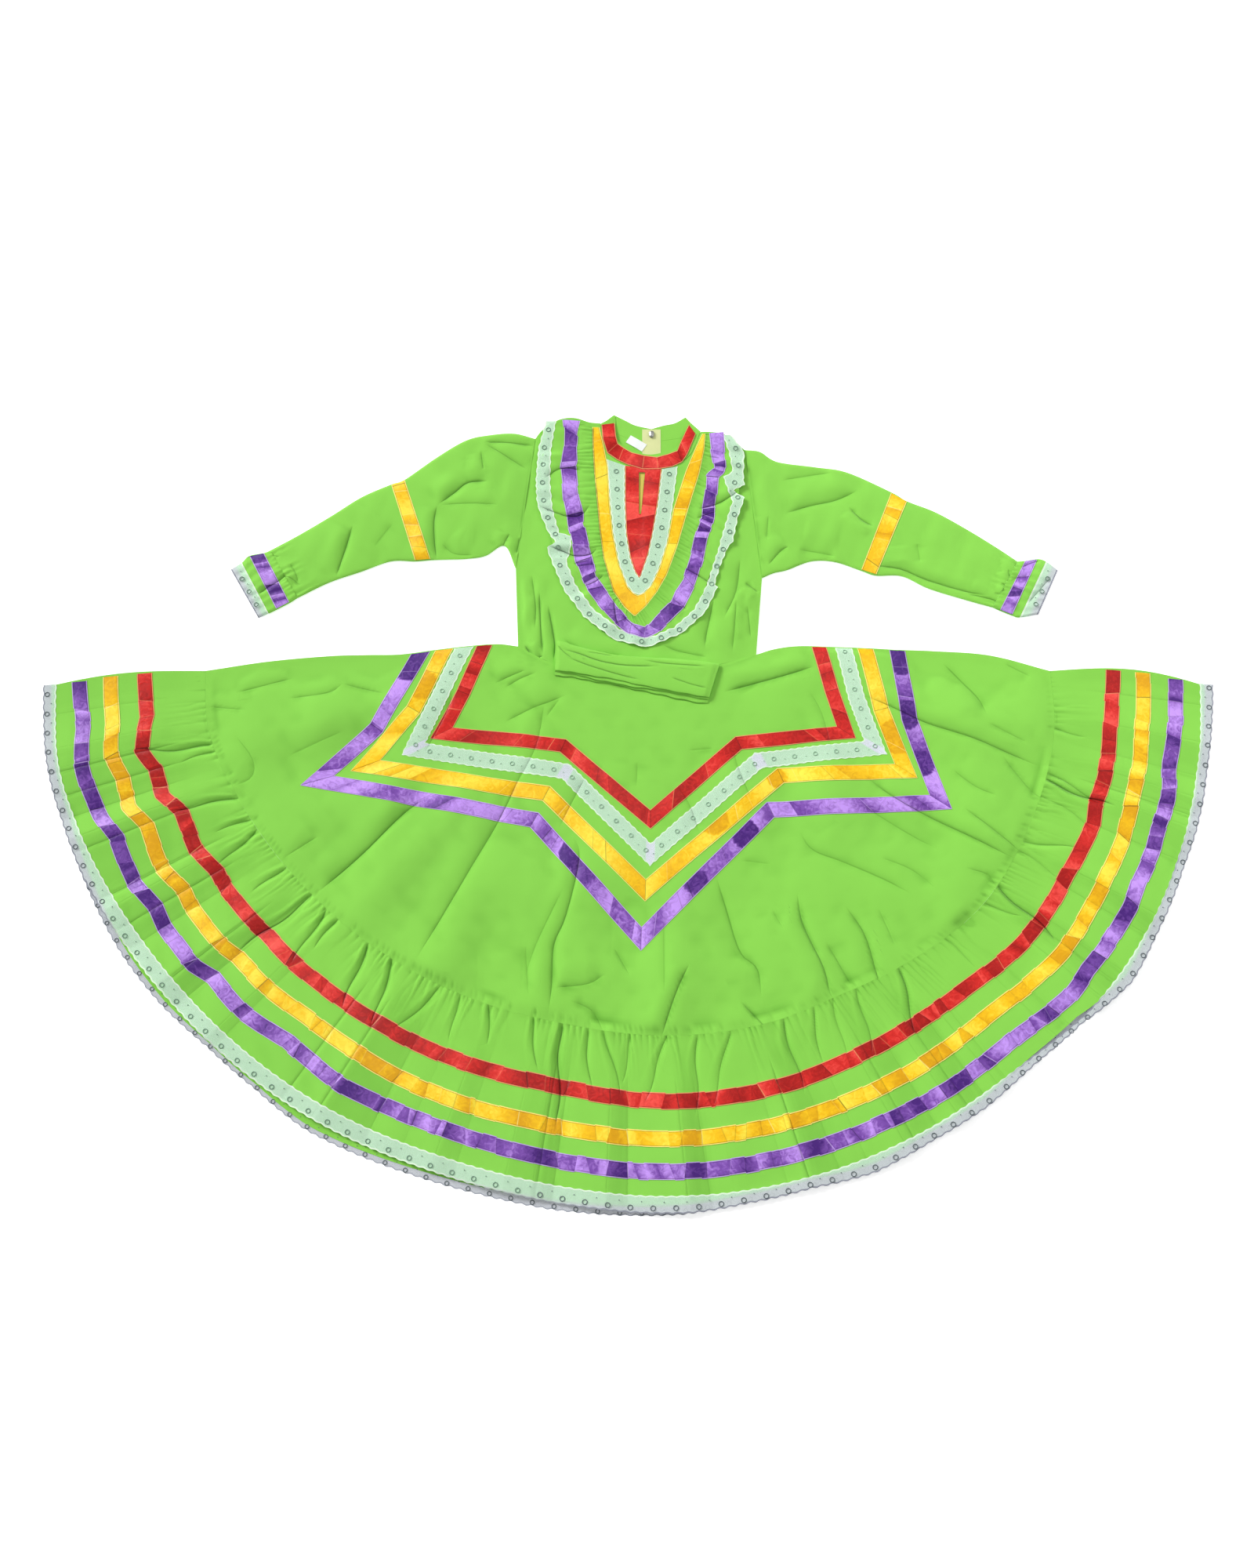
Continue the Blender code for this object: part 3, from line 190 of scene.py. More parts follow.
# The red ribbon on the collar runs straight between its corners
COLLAR_RIBBON = table("low_x low_y top_x top_y slant tilt line", (
    (-40, 338, -20, 341, 0, 0.50, 0), (-38, 313, -18, 318, 5, 0.14, -0.6),
    (-31, 289, -15, 305, 0, 0.22, 0.3), (-15, 277, -5, 297, -3, 0.58, 0.5),
    (-1, 270, 6, 290, 5, 0.50, 0.1), (22, 262, 25, 285, 0, 0.62, 0.6), (46, 262, 44, 282, 0, 0.52, 0.5),
    (67, 266, 60, 287, -5, 0.45, -0.2), (82, 274, 75, 293, 0, 0.30, -0.6),
    (90, 287, 80, 307, 3, 0.52, 0.4), (103, 321, 93, 338, 0, 0.5, 0)))

# The upper and lower edges of the sleeves, from the armhole to the wrist
LEFT_SLEEVE = table("top_x top_y low_x low_y", (
    (-173, 324, -183, 136), (-212, 321, -211, 120), (-246, 312, -240, 115), (-288, 284, -268, 114),
    (-336, 246, -292, 113), (-356, 238, -315, 111), (-399, 217, -351, 111), (-444, 185, -395, 94),
    (-490, 154, -440, 77), (-531, 129, -486, 52)))
RIGHT_SLEEVE = table("top_x top_y low_x low_y", (
    (200, 293, 216, 92), (226, 276, 236, 97), (283, 267, 272, 111), (331, 258, 307, 110),
    (396, 225, 345, 96), (419, 210, 367, 88), (460, 192, 405, 87), (502, 166, 444, 67),
    (545, 136, 500, 48), (578, 111, 536, 37)))
# The frills start a hair beyond the sleeves
LEFT_FRILL = table("top_x top_y low_x low_y", (
    (-531.13, 128.93, -486.13, 51.93), (-540, 125, -497, 44), (-562, 120, -516, 33),
    (-572, 109, -527, 27), (-587, 98, -541, 20)))
RIGHT_FRILL = table("top_x top_y low_x low_y", (
    (578.13, 110.93, 536.13, 36.93), (589, 112, 546, 32), (608, 115, 564, 24), (620, 111, 575, 21),
    (636, 97, 602, 26)))

# The sash's upper and lower edges, and its thickness as a share of the section's
SASH = table("top_x top_y low_x low_y thick", (
    (-104, -19, -106, -72, 0.85), (-79, -27, -79, -76, 0.95), (-50, -33, -52, -80, 1.00),
    (-14, -41, -20, -84, 1.00), (22, -44, 10, -94, 1.05), (60, -48, 44, -102, 1.10),
    (96, -52, 80, -108, 1.05), (133, -55, 115, -114, 0.85)))
# Its section: from the lower edge (0) to the upper edge (1), with the folded
# layers showing as lips along the lower edge
SASH_SECTION = table("across height", (
    (0.03, 0.0), (0.00, 0.4), (0.00, 1.2), (0.02, 1.8), (0.08, 2.1), (0.12, 2.4), (0.08, 2.9),
    (0.07, 3.6), (0.09, 4.2), (0.14, 4.5), (0.18, 4.8), (0.14, 5.2), (0.13, 5.9), (0.16, 6.6),
    (0.26, 7.1), (0.50, 7.4), (0.85, 6.9), (0.98, 5.6), (1.00, 2.2), (0.97, 0.0)))
LEFT_FOLD = 174.1
RIGHT_FOLD = 5.9
SHOULDER_Y = 345
UNDERARM = 0.635           # of the way from the shoulder tip to the waist
UNDERARM_OUT = (13, 15)    # how far the left and right sides stand out there
CENTRE_BACK = 36
SLIT = ((21.5, 256, 8.0), (18.5, 188, 2.0))   # x, y and width at its two ends
print("tables:", len(HEM), "hem rows,", len(BIB), "bib rows")

# %% [markdown]
# ## The folds
# Soft folds can be simulated, sculpted or placed by hand. The cloth here was
# smoothed out by someone's hands and lies almost flat, so each crease that shows
# is listed as a trough with a ridge beside it: its depth, its width, and
# the line that it follows.

# %% Tables of the creases
Crease = namedtuple("Crease", "depth width path")


def creases(*rows):
    """A row has a crease's depth and width, then x and y of each point on it."""
    return [Crease(row[0], row[1], list(zip(row[2::2], row[3::2]))) for row in rows]


SKIRT_CREASES = creases(
    (1.0, 4, -566, -98, -485, -75), (1.0, 4, -489, -107, -432, -98, -412, -82),
    (1.0, 4, -412, -84, -350, -100), (0.7, 7, -485, -195, -407, -157),
    (2.6, 7, -434, -397, -366, -334, -316, -280, -285, -258), (0.9, 5, -480, -345, -435, -314),
    (0.9, 7, -562, -241, -535, -227, -535, -200, -562, -164), (0.8, 4, -604, -119, -550, -125),
    (2.0, 6, -77, -311, -68, -347, -86, -430, -102, -471, -104, -525, -109, -571),
    (0.9, 10, -90, -390, -127, -471, -141, -516),
    (1.7, 7, -143, -201, -182, -290, -220, -361, -252, -420, -295, -498),
    (1.2, 7, -100, -530, -55, -525, -30, -510), (1.2, 6, -77, -548, -48, -562, -34, -589),
    (1.0, 5, -18, -475, 2, -512), (0.9, 11, -141, -470, -136, -539),
    (1.9, 5, 85, -496, 67, -535, 53, -575, 46, -598),
    (1.8, 8, 123, -372, 137, -420, 155, -480, 178, -503, 183, -545),
    (1.5, 4, 155, -550, 183, -580, 192, -594),
    (1.9, 5, 236, -394, 242, -439, 269, -503, 276, -535, 283, -550),
    (1.3, 6, 274, -466, 296, -507, 310, -530), (1.9, 6, 303, -416, 328, -457, 342, -512, 349, -537),
    (0.7, 5, 201, -421, 215, -448), (0.8, 6, 348, -418, 369, -471), (0.8, 12, 50, -430, 50, -540),
    (1.7, 5, 330, -98, 380, -120, 430, -145, 494, -168, 553, -195, 596, -214),
    (0.9, 5, 516, -145, 571, -175), (1.6, 11, 457, -50, 485, -82, 507, -109, 516, -135),
    (0.9, 9, 548, -52, 585, -73), (1.1, 7, 462, -214, 494, -241, 525, -255),
    (1.1, 6, 535, -195, 571, -245, 594, -264),
    (1.7, 5, 330, -218, 371, -252, 416, -280, 480, -314, 530, -341, 550, -350),
    (1.5, 6, 475, -273, 525, -314, 553, -339), (1.1, 10, 325, -264, 394, -309, 439, -334),
    (1.4, 10, 241, -304, 259, -333, 301, -351, 355, -376, 398, -400),
    (1.0, 8, 353, -345, 398, -364, 430, -391), (1.0, 5, 475, -361, 503, -370, 516, -391),
    (1.1, 5, -191, -83, -170, -72, -149, -63), (1.1, 5, -177, -90, -156, -76, -134, -67),
    (1.3, 7, -177, -144, -138, -122, -116, -113, -88, -101), (0.9, 6, -116, -133, -99, -108),
    (0.7, 8, 14, -204, 12, -240), (2.2, 6, 137, -97, 180, -85, 230, -70, 273, -56),
    (0.7, 5, 87, -186, 123, -183), (0.7, 6, 159, -349, 201, -354),
    (0.9, 6, -120, -112, -131, -180, -160, -240), (0.9, 5, -60, -226, -78, -262, -96, -300),
    (0.8, 5, 70, -240, 88, -268, 101, -310), (0.8, 5, 150, -182, 158, -214, 176, -262),
    (0.9, 5, -250, -90, -262, -130, -290, -190), (0.8, 5, 262, -92, 280, -130, 292, -186))
BODICE_CREASES = creases(
    (2.2, 4, -130, 63, -127, 3, -123, -40), (1.5, 5, -142, 90, -135, 37, -136, 0),
    (2.2, 4, -117, 40, -110, 3, -106, -25, -108, -50), (2.2, 3, -150, -23, -137, -43, -122, -40),
    (1.2, 5, -96, -12, -70, -30, -37, -40, -3, -38), (1.7, 6, 127, 52, 120, 17, 115, -7, 112, -30),
    (1.4, 5, 167, 117, 160, 63, 140, 17), (1.5, 4, 173, 77, 193, 60), (1.2, 6, 176, 40, 180, -13),
    (1.3, 6, 160, 50, 156, 0, 152, -35), (1.2, 5, 50, -23, 73, -33, 117, -43),
    (1.2, 4, 150, 240, 156, 190, 166, 150))
SLEEVE_CREASES = creases(
    (1.5, 4, -220, 309, -180, 307, -140, 302), (1.4, 6, -217, 307, -177, 280, -150, 262),
    (1.2, 4, -222, 293, -217, 260), (2.6, 6, -284, 203, -260, 223, -240, 240, -208, 243),
    (0.9, 4, -283, 203, -240, 205, -190, 203), (2.2, 5, -285, 202, -289, 175, -287, 140, -283, 112),
    (2.4, 5, -410, 169, -420, 127, -431, 85), (1.1, 7, -277, 140, -257, 123, -227, 121),
    (0.8, 15, -377, 133, -350, 173), (1.6, 4, -186, 134, -176, 155), (1.6, 4, -165, 122, -160, 150),
    (1.8, 7, 233, 188, 270, 200, 310, 210, 347, 227), (1.7, 4, 332, 199, 347, 180, 368, 166),
    (1.1, 8, 230, 243, 280, 253, 310, 257), (0.9, 5, 207, 145, 210, 185),
    (1.1, 9, 253, 130, 280, 125, 310, 119), (1.6, 5, 208, 104, 227, 127, 240, 135),
    (1.6, 4, 352, 104, 403, 98, 443, 80, 503, 60, 534, 55), (0.7, 9, 430, 140, 433, 107))
FRILL_CREASES = creases(
    (2.2, 4, -500, 91, -517, 77, -532, 67, -546, 55), (0.9, 4, -566, 116, -548, 122),
    (1.3, 4, 582, 99, 595, 106, 612, 112), (1.0, 4, 566, 78, 577, 84, 590, 86),
    (1.3, 5, 628, 88, 609, 66, 588, 42), (1.4, 4, 536, 36, 552, 30, 570, 22))
WRIST_CREASES = creases(
    (1.0, 4, -500, 106, -491, 92, -485, 74), (1.0, 3, -519, 104, -521, 92),
    (0.9, 3, -516, 117, -529, 121), (1.1, 3, -495, 64, -499, 54), (1.0, 3, -512, 86, -497, 82, -481, 70),
    (1.0, 3, -494, 65, -507, 71, -515, 76), (1.2, 4, 582, 108, 576, 101, 584, 98),
    (1.2, 3, 563, 97, 565, 84, 576, 80), (1.4, 4, 500, 58, 524, 52, 541, 46, 547, 34),
    (1.0, 3, 552, 74, 560, 68), (1.0, 3, 540, 58, 552, 56))
SLEEVE_CREASES += WRIST_CREASES
RUFFLE_CREASES = creases(
    (2.0, 4, -125, 246, -100, 263, -66, 259),
    (2.2, 4, -134, 201, -110, 190, -90, 183, -70, 185, -54, 205),
    (2.6, 4, -118, 134, -95, 125, -77, 118, -55, 121, -44, 133), (1.2, 3, -80, 105, -58, 110),
    (2.0, 4, -64, 69, -47, 77, -35, 88), (2.0, 4, -21, 52, -17, 17, -10, 3),
    (1.6, 4, -12, 27, 10, 5, 27, -10), (2.2, 4, 104, 194, 140, 206, 170, 228),
    (1.4, 3, 102, 179, 118, 186, 133, 191), (1.2, 3, 103, 168, 124, 157),
    (2.0, 4, 84, 98, 103, 87, 124, 72), (1.4, 4, 66, 49, 88, 31), (1.2, 4, 96, 130, 112, 124),
    (1.0, 4, 122, 283, 140, 279))
SASH_CREASES = creases(
    (1.9, 4, -100, -31, -71, -40, -40, -52, -1, -59, 49, -60),
    (1.6, 4, -91, -44, -56, -59, -9, -74, 22, -82), (1.5, 4, 22, -50, 57, -56, 116, -60),
    (1.4, 4, 61, -77, 92, -88, 117, -94), (1.2, 3, -102, -26, -92, -38, -80, -48),
    (1.0, 3, -60, -37, -42, -40, -20, -44))
print("creases:", sum(len(t) for t in (SKIRT_CREASES, BODICE_CREASES, SLEEVE_CREASES, RUFFLE_CREASES)))

# %% [markdown]
# ## The gathered flounce
# The flounce is sewn on with 165 small gathers, which fan out into flat
# facets with pressed edges. A facet's tilt decides how light it looks, most of
# all on the satin rows, so the facets are listed once and shape both the cloth
# and the sheen of the ribbons. That sheen is painted from the tilt, and so is
# some of the cotton's shade: facets that lean away are painted darker.
# Tilt 1 leans to the light, and 0 leans away.

# %% Tables of the flounce
FACETS = table("angle tilt", (
    (4.0, 0.25), (8.0, 0.75), (12.0, 0.30), (15.5, 0.70), (17.7, 0.20), (19.2, 0.70), (20.8, 0.25),
    (24.3, 0.80), (30.3, 0.12), (32.4, 0.75), (36.7, 0.08), (40.0, 0.70), (44.0, 0.30), (45.7, 0.70),
    (52.0, 0.25), (53.0, 0.80), (54.6, 0.08), (57.8, 0.65), (60.0, 0.18), (63.5, 0.70), (67.3, 0.45),
    (70.0, 0.10), (73.0, 0.75), (75.0, 0.50), (80.0, 0.62), (82.3, 0.08), (84.4, 0.75), (90.0, 0.20),
    (92.0, 0.65), (97.0, 0.05), (99.0, 0.30), (101.7, 0.60), (106.5, 0.35), (108.7, 0.70), (112.0, 0.55),
    (115.5, 0.12), (120.7, 0.62), (126.0, 0.65), (132.5, 0.35), (133.6, 0.75), (138.0, 0.08),
    (140.6, 0.70), (145.3, 0.12), (149.8, 0.62), (151.2, 0.18), (157.8, 0.75), (160.0, 0.12),
    (165.2, 0.40), (167.3, 0.75), (171.0, 0.30)))
PRESSED = [19.6, 38.0, 56.5, 62.5, 73.0, 98.6, 120.8, 124.3, 140.4, 147.5, 151.0, 156.4,
           162.3, 164.8]
# Deep folds that start at the gathered seam: angle there, angle at the far end,
# reach in mm and depth in mm
PLEATS = table("angle end reach depth", (
    (14.2, 14.0, 40, 1.2), (20.3, 21.4, 75, 1.6), (21.3, 21.5, 90, 3.0), (23.3, 24.6, 80, 1.0),
    (29.9, 28.0, 65, 1.4), (31.5, 31.7, 60, 1.0), (36.8, 37.9, 95, 3.0), (39.9, 38.2, 45, 1.4),
    (46.6, 46.2, 50, 1.0), (53.4, 56.2, 80, 2.2), (59.4, 61.6, 80, 1.4), (62.8, 64.5, 70, 1.0),
    (65.7, 67.2, 65, 1.4), (69.8, 70.5, 90, 1.9), (76.8, 80.2, 85, 1.2), (81.0, 82.4, 95, 1.5),
    (84.9, 87.8, 80, 1.3), (89.4, 90.6, 60, 1.2), (93.0, 91.0, 75, 1.6), (95.4, 94.4, 70, 1.8),
    (98.9, 97.6, 120, 3.2), (102.8, 101.0, 60, 1.9), (108.9, 107.6, 45, 1.8), (113.2, 112.0, 55, 1.4),
    (115.7, 118.0, 70, 1.8), (123.3, 121.1, 80, 2.4), (127.4, 125.2, 80, 2.6), (132.8, 132.4, 45, 2.0),
    (134.9, 133.2, 75, 2.2), (137.6, 138.2, 110, 3.2), (143.2, 142.9, 50, 1.8), (149.8, 148.2, 65, 2.0),
    (151.4, 152.0, 45, 1.8), (155.0, 156.7, 80, 2.4), (162.4, 162.2, 45, 1.5), (163.2, 164.8, 90, 2.4)))
GATHERS = 165
FLOUNCE_DEEP = 232.0          # from the gathered seam to the hem
SEED = 7
print("flounce:", len(FACETS), "facets,", len(PLEATS), "deep folds")

# %% [markdown]
# ## Reading the tables
# A table has few rows, so something has to fill in between them. Straight lines
# would leave corners in cloth that has none. A cubic through the rows passes
# through every measured point and stays smooth.

# %% Helpers that read tables and shape heights
def column(rows, name):
    return np.array([getattr(row, name) for row in rows], float)


def plan_line(rows, name=""):
    """A line of a table, from its x and y columns of that name."""
    head = name + "_" if name else ""
    return np.stack([column(rows, head + "x"), column(rows, head + "y")], axis=1)


def flowing(at, positions, values):
    """Smooth reading of a table: a cubic through its rows."""
    at = np.asarray(at, float)
    positions = np.asarray(positions, float)
    values = np.asarray(values, float)
    last = len(positions) - 1
    low = np.clip(np.arange(last + 1) - 1, 0, last)
    high = np.clip(np.arange(last + 1) + 1, 0, last)
    i = np.clip(np.searchsorted(positions, at, side="right") - 1, 0, last - 1)
    step = positions[i + 1] - positions[i]
    t = (at - positions[i]) / step
    span = positions[high] - positions[low]
    if values.ndim == 2:
        span = span[:, None]
        step = step[..., None]
        t = t[..., None]
    slope = (values[high] - values[low]) / span
    t2 = t * t
    t3 = t2 * t
    start = (2 * t3 - 3 * t2 + 1) * values[i] + (t3 - 2 * t2 + t) * step * slope[i]
    return start + (3 * t2 - 2 * t3) * values[i + 1] + (t3 - t2) * step * slope[i + 1]


def flowing_rows(at, values):
    """The same for rows at even places: 0, 1, 2 and on."""
    return flowing(at, np.arange(len(values)), values)


def straight(at, places, line):
    """Straight runs between a line's points."""
    return np.stack([np.interp(at, places, line[:, k]) for k in range(line.shape[1])], axis=-1)


def length_along(line):
    """Distance from a line's start to each of its points."""
    return np.concatenate([[0], np.cumsum(np.linalg.norm(np.diff(line, axis=0), axis=1))])


def ease(t):
    t = np.clip(t, 0, 1)
    return t * t * (3 - 2 * t)


def mix(a, b, t):
    return a + (b - a) * t


def near_side(share):
    """Share of the way to the nearer of the two side folds."""
    return np.minimum(share, 1 - share)


def rumple(x, y, seed, size, height):
    """Gentle unevenness: sine waves of about that size, in seeded directions."""
    rng = np.random.default_rng(seed)
    waves = 14
    total = np.zeros(np.shape(x))
    for _ in range(waves):
        turn = rng.uniform(0, math.tau)
        length = size * rng.uniform(0.6, 1.8)
        phase = rng.uniform(0, math.tau)
        total += np.sin((x * math.cos(turn) + y * math.sin(turn)) * math.tau / length + phase)
    return total * height / math.sqrt(waves / 2)


def near_path(x, y, path, reach):
    """Which points lie in the box round a path, with that much room to spare."""
    low, high = path.min(axis=0) - reach, path.max(axis=0) + reach
    return (x > low[0]) & (x < high[0]) & (y > low[1]) & (y < high[1])


def along_path(x, y, path):
    """Nearest place on a path: signed distance from it, and share of its length."""
    path = np.array(path, float)
    legs = np.diff(path, axis=0)
    lengths = np.hypot(legs[:, 0], legs[:, 1])
    starts = np.concatenate([[0], np.cumsum(lengths)])
    best = np.full(x.shape, np.inf)
    across = np.zeros(x.shape)
    along = np.zeros(x.shape)
    for k, (leg, length) in enumerate(zip(legs, lengths)):
        ux, uy = leg / length
        dx = x - path[k, 0]
        dy = y - path[k, 1]
        t = np.clip(dx * ux + dy * uy, 0, length)
        far = np.hypot(dx - t * ux, dy - t * uy)
        closer = far < best
        best = np.where(closer, far, best)
        across = np.where(closer, far * np.sign(ux * dy - uy * dx), across)
        along = np.where(closer, (starts[k] + t) / starts[-1], along)
    return across, along


def crease_height(x, y, folds):
    """Sharp troughs along their paths, each with a soft ridge on the side towards
    the light. Gives the height, and how near each point is to a trough's line,
    which the cloth's colour takes as painted shade."""
    total = np.zeros(x.shape)
    lines = np.zeros(x.shape)
    for k, crease in enumerate(folds):
        path = np.array(crease.path, float)
        near = near_path(x, y, path, 6 * crease.width)
        if not near.any():
            continue
        across, along = along_path(x[near], y[near], path)
        run = path[-1] - path[0]
        left = np.array([-run[1], run[0]])
        side = 1.0 if left @ np.array(LIGHT_FROM) > 0 else -1.0
        u = across * side / crease.width
        trough = np.exp(-(np.sqrt(u * u + 0.10) - 0.316) / 1.25)
        ridge = 0.8 * np.exp(-((u - 2.9) / 2.6) ** 2)
        uneven = 0.82 + 0.18 * np.sin(along * 9 + k * 1.7)
        ends = ease(along / 0.22) * ease((1 - along) / 0.22) * uneven
        total[near] += 1.25 * crease.depth * (ridge - trough) * ends
        line = np.exp(-(u / 0.55) ** 2) * ends * min(1.0, crease.depth / 2.4)
        lines[near] = np.maximum(lines[near], line)
    return total, lines

# %% [markdown]
# ## Crisp fold lines
# A pressed fold is sharper than any grid that is affordable here. So each mesh also
# carries its distance to the nearest fold, which stays exact between the points of
# a grid, and the material draws the sharp line from it, as a dent in the normal and
# a line of painted shade. Folds that run close together go to separate layers,
# because one distance can't point to two of them.

# %% Distances to the folds
FOLD_LAYERS = 3
LINE_SHARE = 0.34          # half width of the sharp line, as a share of the crease's
FAR = 40.0                 # where no fold is near, in line widths
WEAK = 0.02                # a layer counts as free below this strength


def fold_masks(grid, folds, room=9.0):
    """room is how many millimetres beside a fold its full strength reaches."""
    x, y = grid[..., 0], grid[..., 1]
    far = [np.full(x.shape, FAR) for _ in range(FOLD_LAYERS)]
    force = [np.zeros(x.shape) for _ in range(FOLD_LAYERS)]
    for crease in folds:
        rows = len(crease.path) - 1
        path = flowing_rows(np.linspace(0, rows, 4 * rows + 1), crease.path)
        reach = 2.5 * room
        near = near_path(x, y, path, reach)
        if not near.any():
            continue
        across, along = along_path(x[near], y[near], path)
        ends = ease(along / 0.2) * ease((1 - along) / 0.2)
        strength = crease.depth * ends * ease(1.8 - np.abs(across) / room)
        for k in range(FOLD_LAYERS):
            taken = force[k][near]
            if (np.minimum(taken, strength) > WEAK).any():
                continue
            free = (taken <= WEAK) & (np.abs(across) < reach)
            far[k][near] = np.where(free, across / (LINE_SHARE * crease.width), far[k][near])
            force[k][near] = np.where(free, strength, taken)
            break
    masks = {f"fold_{k}": values for k, values in enumerate(far)}
    masks.update({f"force_{k}": values for k, values in enumerate(force)})
    return masks

# %% [markdown]
# ## Making a wall of cloth
# A plane with no thickness would show a paper edge, and Solidify guesses at the
# rim. Each piece here is made as two matching grids, an outer and an inner one,
# joined round their free edges. That gives a closed mesh, and the same function
# serves a flat panel and a sleeve.

# %% Walls from grids
def add_object(name, data):
    made = bpy.data.objects.new(name, data)
    bpy.context.collection.objects.link(made)
    return made


def paint_mask(piece, key, values):
    attribute = piece.data.attributes.new(key, "FLOAT", "POINT")
    attribute.data.foreach_set("value", np.asarray(values, np.float32).ravel())


def real_size_uv(grid):
    """Distances along and across the grid, so that weaves keep their real size."""
    down = np.linalg.norm(np.diff(grid, axis=0), axis=2).mean(axis=1)
    side = np.linalg.norm(np.diff(grid, axis=1), axis=2)
    v = np.concatenate([[0], np.cumsum(down)])[:, None] * np.ones(grid.shape[1])
    u = np.concatenate([np.zeros((grid.shape[0], 1)), np.cumsum(side, axis=1)], axis=1)
    u = u - u.mean(axis=1, keepdims=True)
    return np.stack([u, v], axis=2)


def grid_quads(rows, columns, wrap=False):
    """The corners of a grid's quads. wrap joins the last column to the first."""
    index = np.arange(rows * columns).reshape(rows, columns)
    if wrap:
        index = np.concatenate([index, index[:, :1]], axis=1)
    quads = np.stack([index[:-1, :-1], index[1:, :-1], index[1:, 1:], index[:-1, 1:]], axis=2)
    return index, quads.reshape(-1, 4)


def signed_volume(points, quads):
    a, b, c, d = (points[quads[:, k]] for k in range(4))
    return np.einsum("ij,ij->", a, np.cross(b, c)) + np.einsum("ij,ij->", a, np.cross(c, d))


def closed_piece(name, points, quads, caps, material, sharp):
    """A closed mesh from points in mm, its faces turned outward."""
    points = points * MM
    if signed_volume(points, quads) < 0:
        quads = quads[:, ::-1]
        caps = [cap[::-1] for cap in caps]
    mesh = bpy.data.meshes.new(name)
    mesh.from_pydata(points.tolist(), [], quads.tolist() + caps)
    mesh.materials.append(material)
    mesh.uv_layers.new(name="UVMap")
    mesh.shade_smooth()
    mesh.set_sharp_from_angle(angle=math.radians(sharp))
    return add_object(name, mesh)


def wall(name, outer, inner, material, wrap=False, uv=None, masks=None):
    """A closed wall between two matching grids, all round when it wraps."""
    rows, columns = outer.shape[:2]
    count = rows * columns
    index, faces = grid_quads(rows, columns, wrap)
    quads = [faces, faces[:, [0, 3, 2, 1]] + count]
    borders = [index[0], index[-1][::-1]]
    if not wrap:
        borders += [index[::-1, 0], index[:, -1]]
    for border in borders:
        p, q = border[:-1], border[1:]
        quads.append(np.stack([p, q, q + count, p + count], axis=1))
    points = np.concatenate([outer.reshape(-1, 3), inner.reshape(-1, 3)])
    piece = closed_piece(name, points, np.concatenate(quads), [], material, 55)
    flat = np.tile((real_size_uv(outer) if uv is None else uv).reshape(-1, 2) * MM, (2, 1))
    corner = np.empty(len(piece.data.loops), int)
    piece.data.loops.foreach_get("vertex_index", corner)
    piece.data.uv_layers[0].data.foreach_set("uv", flat[corner].ravel().astype(np.float32))
    for key, values in (masks or {}).items():
        paint_mask(piece, key, np.tile(np.broadcast_to(values, (rows, columns)).ravel(), 2))
    return piece


def sheet_wall(name, under, thick, material, **more):
    """A piece that lies flat: its underside is given, its upper side is above."""
    return wall(name, under + (0, 0, thick), under, material, **more)


def solid_loft(name, rings, material):
    """A closed solid through matching rings, with flat ends."""
    index, quads = grid_quads(*rings.shape[:2], wrap=True)
    caps = [index[0, :-1].tolist(), index[-1, :-1][::-1].tolist()]
    return closed_piece(name, rings.reshape(-1, 3), quads, caps, material, 50)


def painted_shade_mask(grid, lines=0.0):
    """How far each point lies below its surroundings, 0 to 1, or how near to a
    crease's line. Light that reaches a trough has bounced off dyed cloth, so
    troughs look deeper in colour; this mask paints that shade into the cloth's colour."""
    z = grid[..., 2]
    soft = z.copy()
    for _ in range(3):
        for axis in (0, 1):
            soft = (np.roll(soft, 1, axis) + 2 * soft + np.roll(soft, -1, axis)) / 4
    soft[0], soft[-1] = z[0], z[-1]
    soft[:, 0], soft[:, -1] = z[:, 0], z[:, -1]
    return np.clip(np.maximum((soft - z) / 1.3, np.asarray(lines) * 0.3), 0, 1)


def surface_of(grid):
    """A search tree of a grid's surface, to lay other pieces on it."""
    quads = grid_quads(*grid.shape[:2])[1]
    return BVHTree.FromPolygons(grid.reshape(-1, 3).tolist(), quads.tolist())


RAYS_FROM = 100            # above every layer


def lay_on(trees, flat, lift):
    """Points of a flat grid, moved down onto the first surface that is there."""
    laid = np.empty(flat.shape[:2] + (3,))
    for place in np.ndindex(flat.shape[:2]):
        x, y = (float(v) for v in flat[place])
        hit = None
        for tree in trees:
            hit = tree.ray_cast(Vector((x, y, RAYS_FROM)), Vector((0, 0, -1)))[0]
            if hit is not None:
                break
        if hit is None:
            hit = trees[0].find_nearest(Vector((x, y, FRONT_AT + COTTON)))[0]
        laid[place] = (x, y, hit.z + lift)
    return laid


print("readers: table, crease, wall and lay-on helpers are ready")

# %% [markdown]
# ## Cloth finishes
# Three effects are shared by several materials, so each is a node group: the
# crossing threads of a plain weave, a slow change of colour, and the net of the
# lace. A group hands over only colours and masks. The shader itself stays in the
# material, where its constants are set.

# %% Node helpers
def node(tree, kind, inputs=None, **settings):
    made = tree.nodes.new(kind)
    for key, value in settings.items():
        setattr(made, key, value)
    for key, value in (inputs or {}).items():
        if isinstance(value, bpy.types.NodeSocket):
            tree.links.new(value, made.inputs[key])
        else:
            made.inputs[key].default_value = value
    return made


def sum_of(tree, operation, a, b=0.0, c=0.0, clamp=False):
    return node(tree, "ShaderNodeMath", {0: a, 1: b, 2: c}, operation=operation, use_clamp=clamp).outputs[0]


def times(tree, a, b):
    """A product that stays between 0 and 1."""
    return sum_of(tree, "MULTIPLY", a, b, clamp=True)


def blend_of(tree, factor, a, b, blend_type="MIX"):
    made = node(tree, "ShaderNodeMix", {0: factor, 6: a, 7: b}, data_type="RGBA", blend_type=blend_type)
    return made.outputs[2]


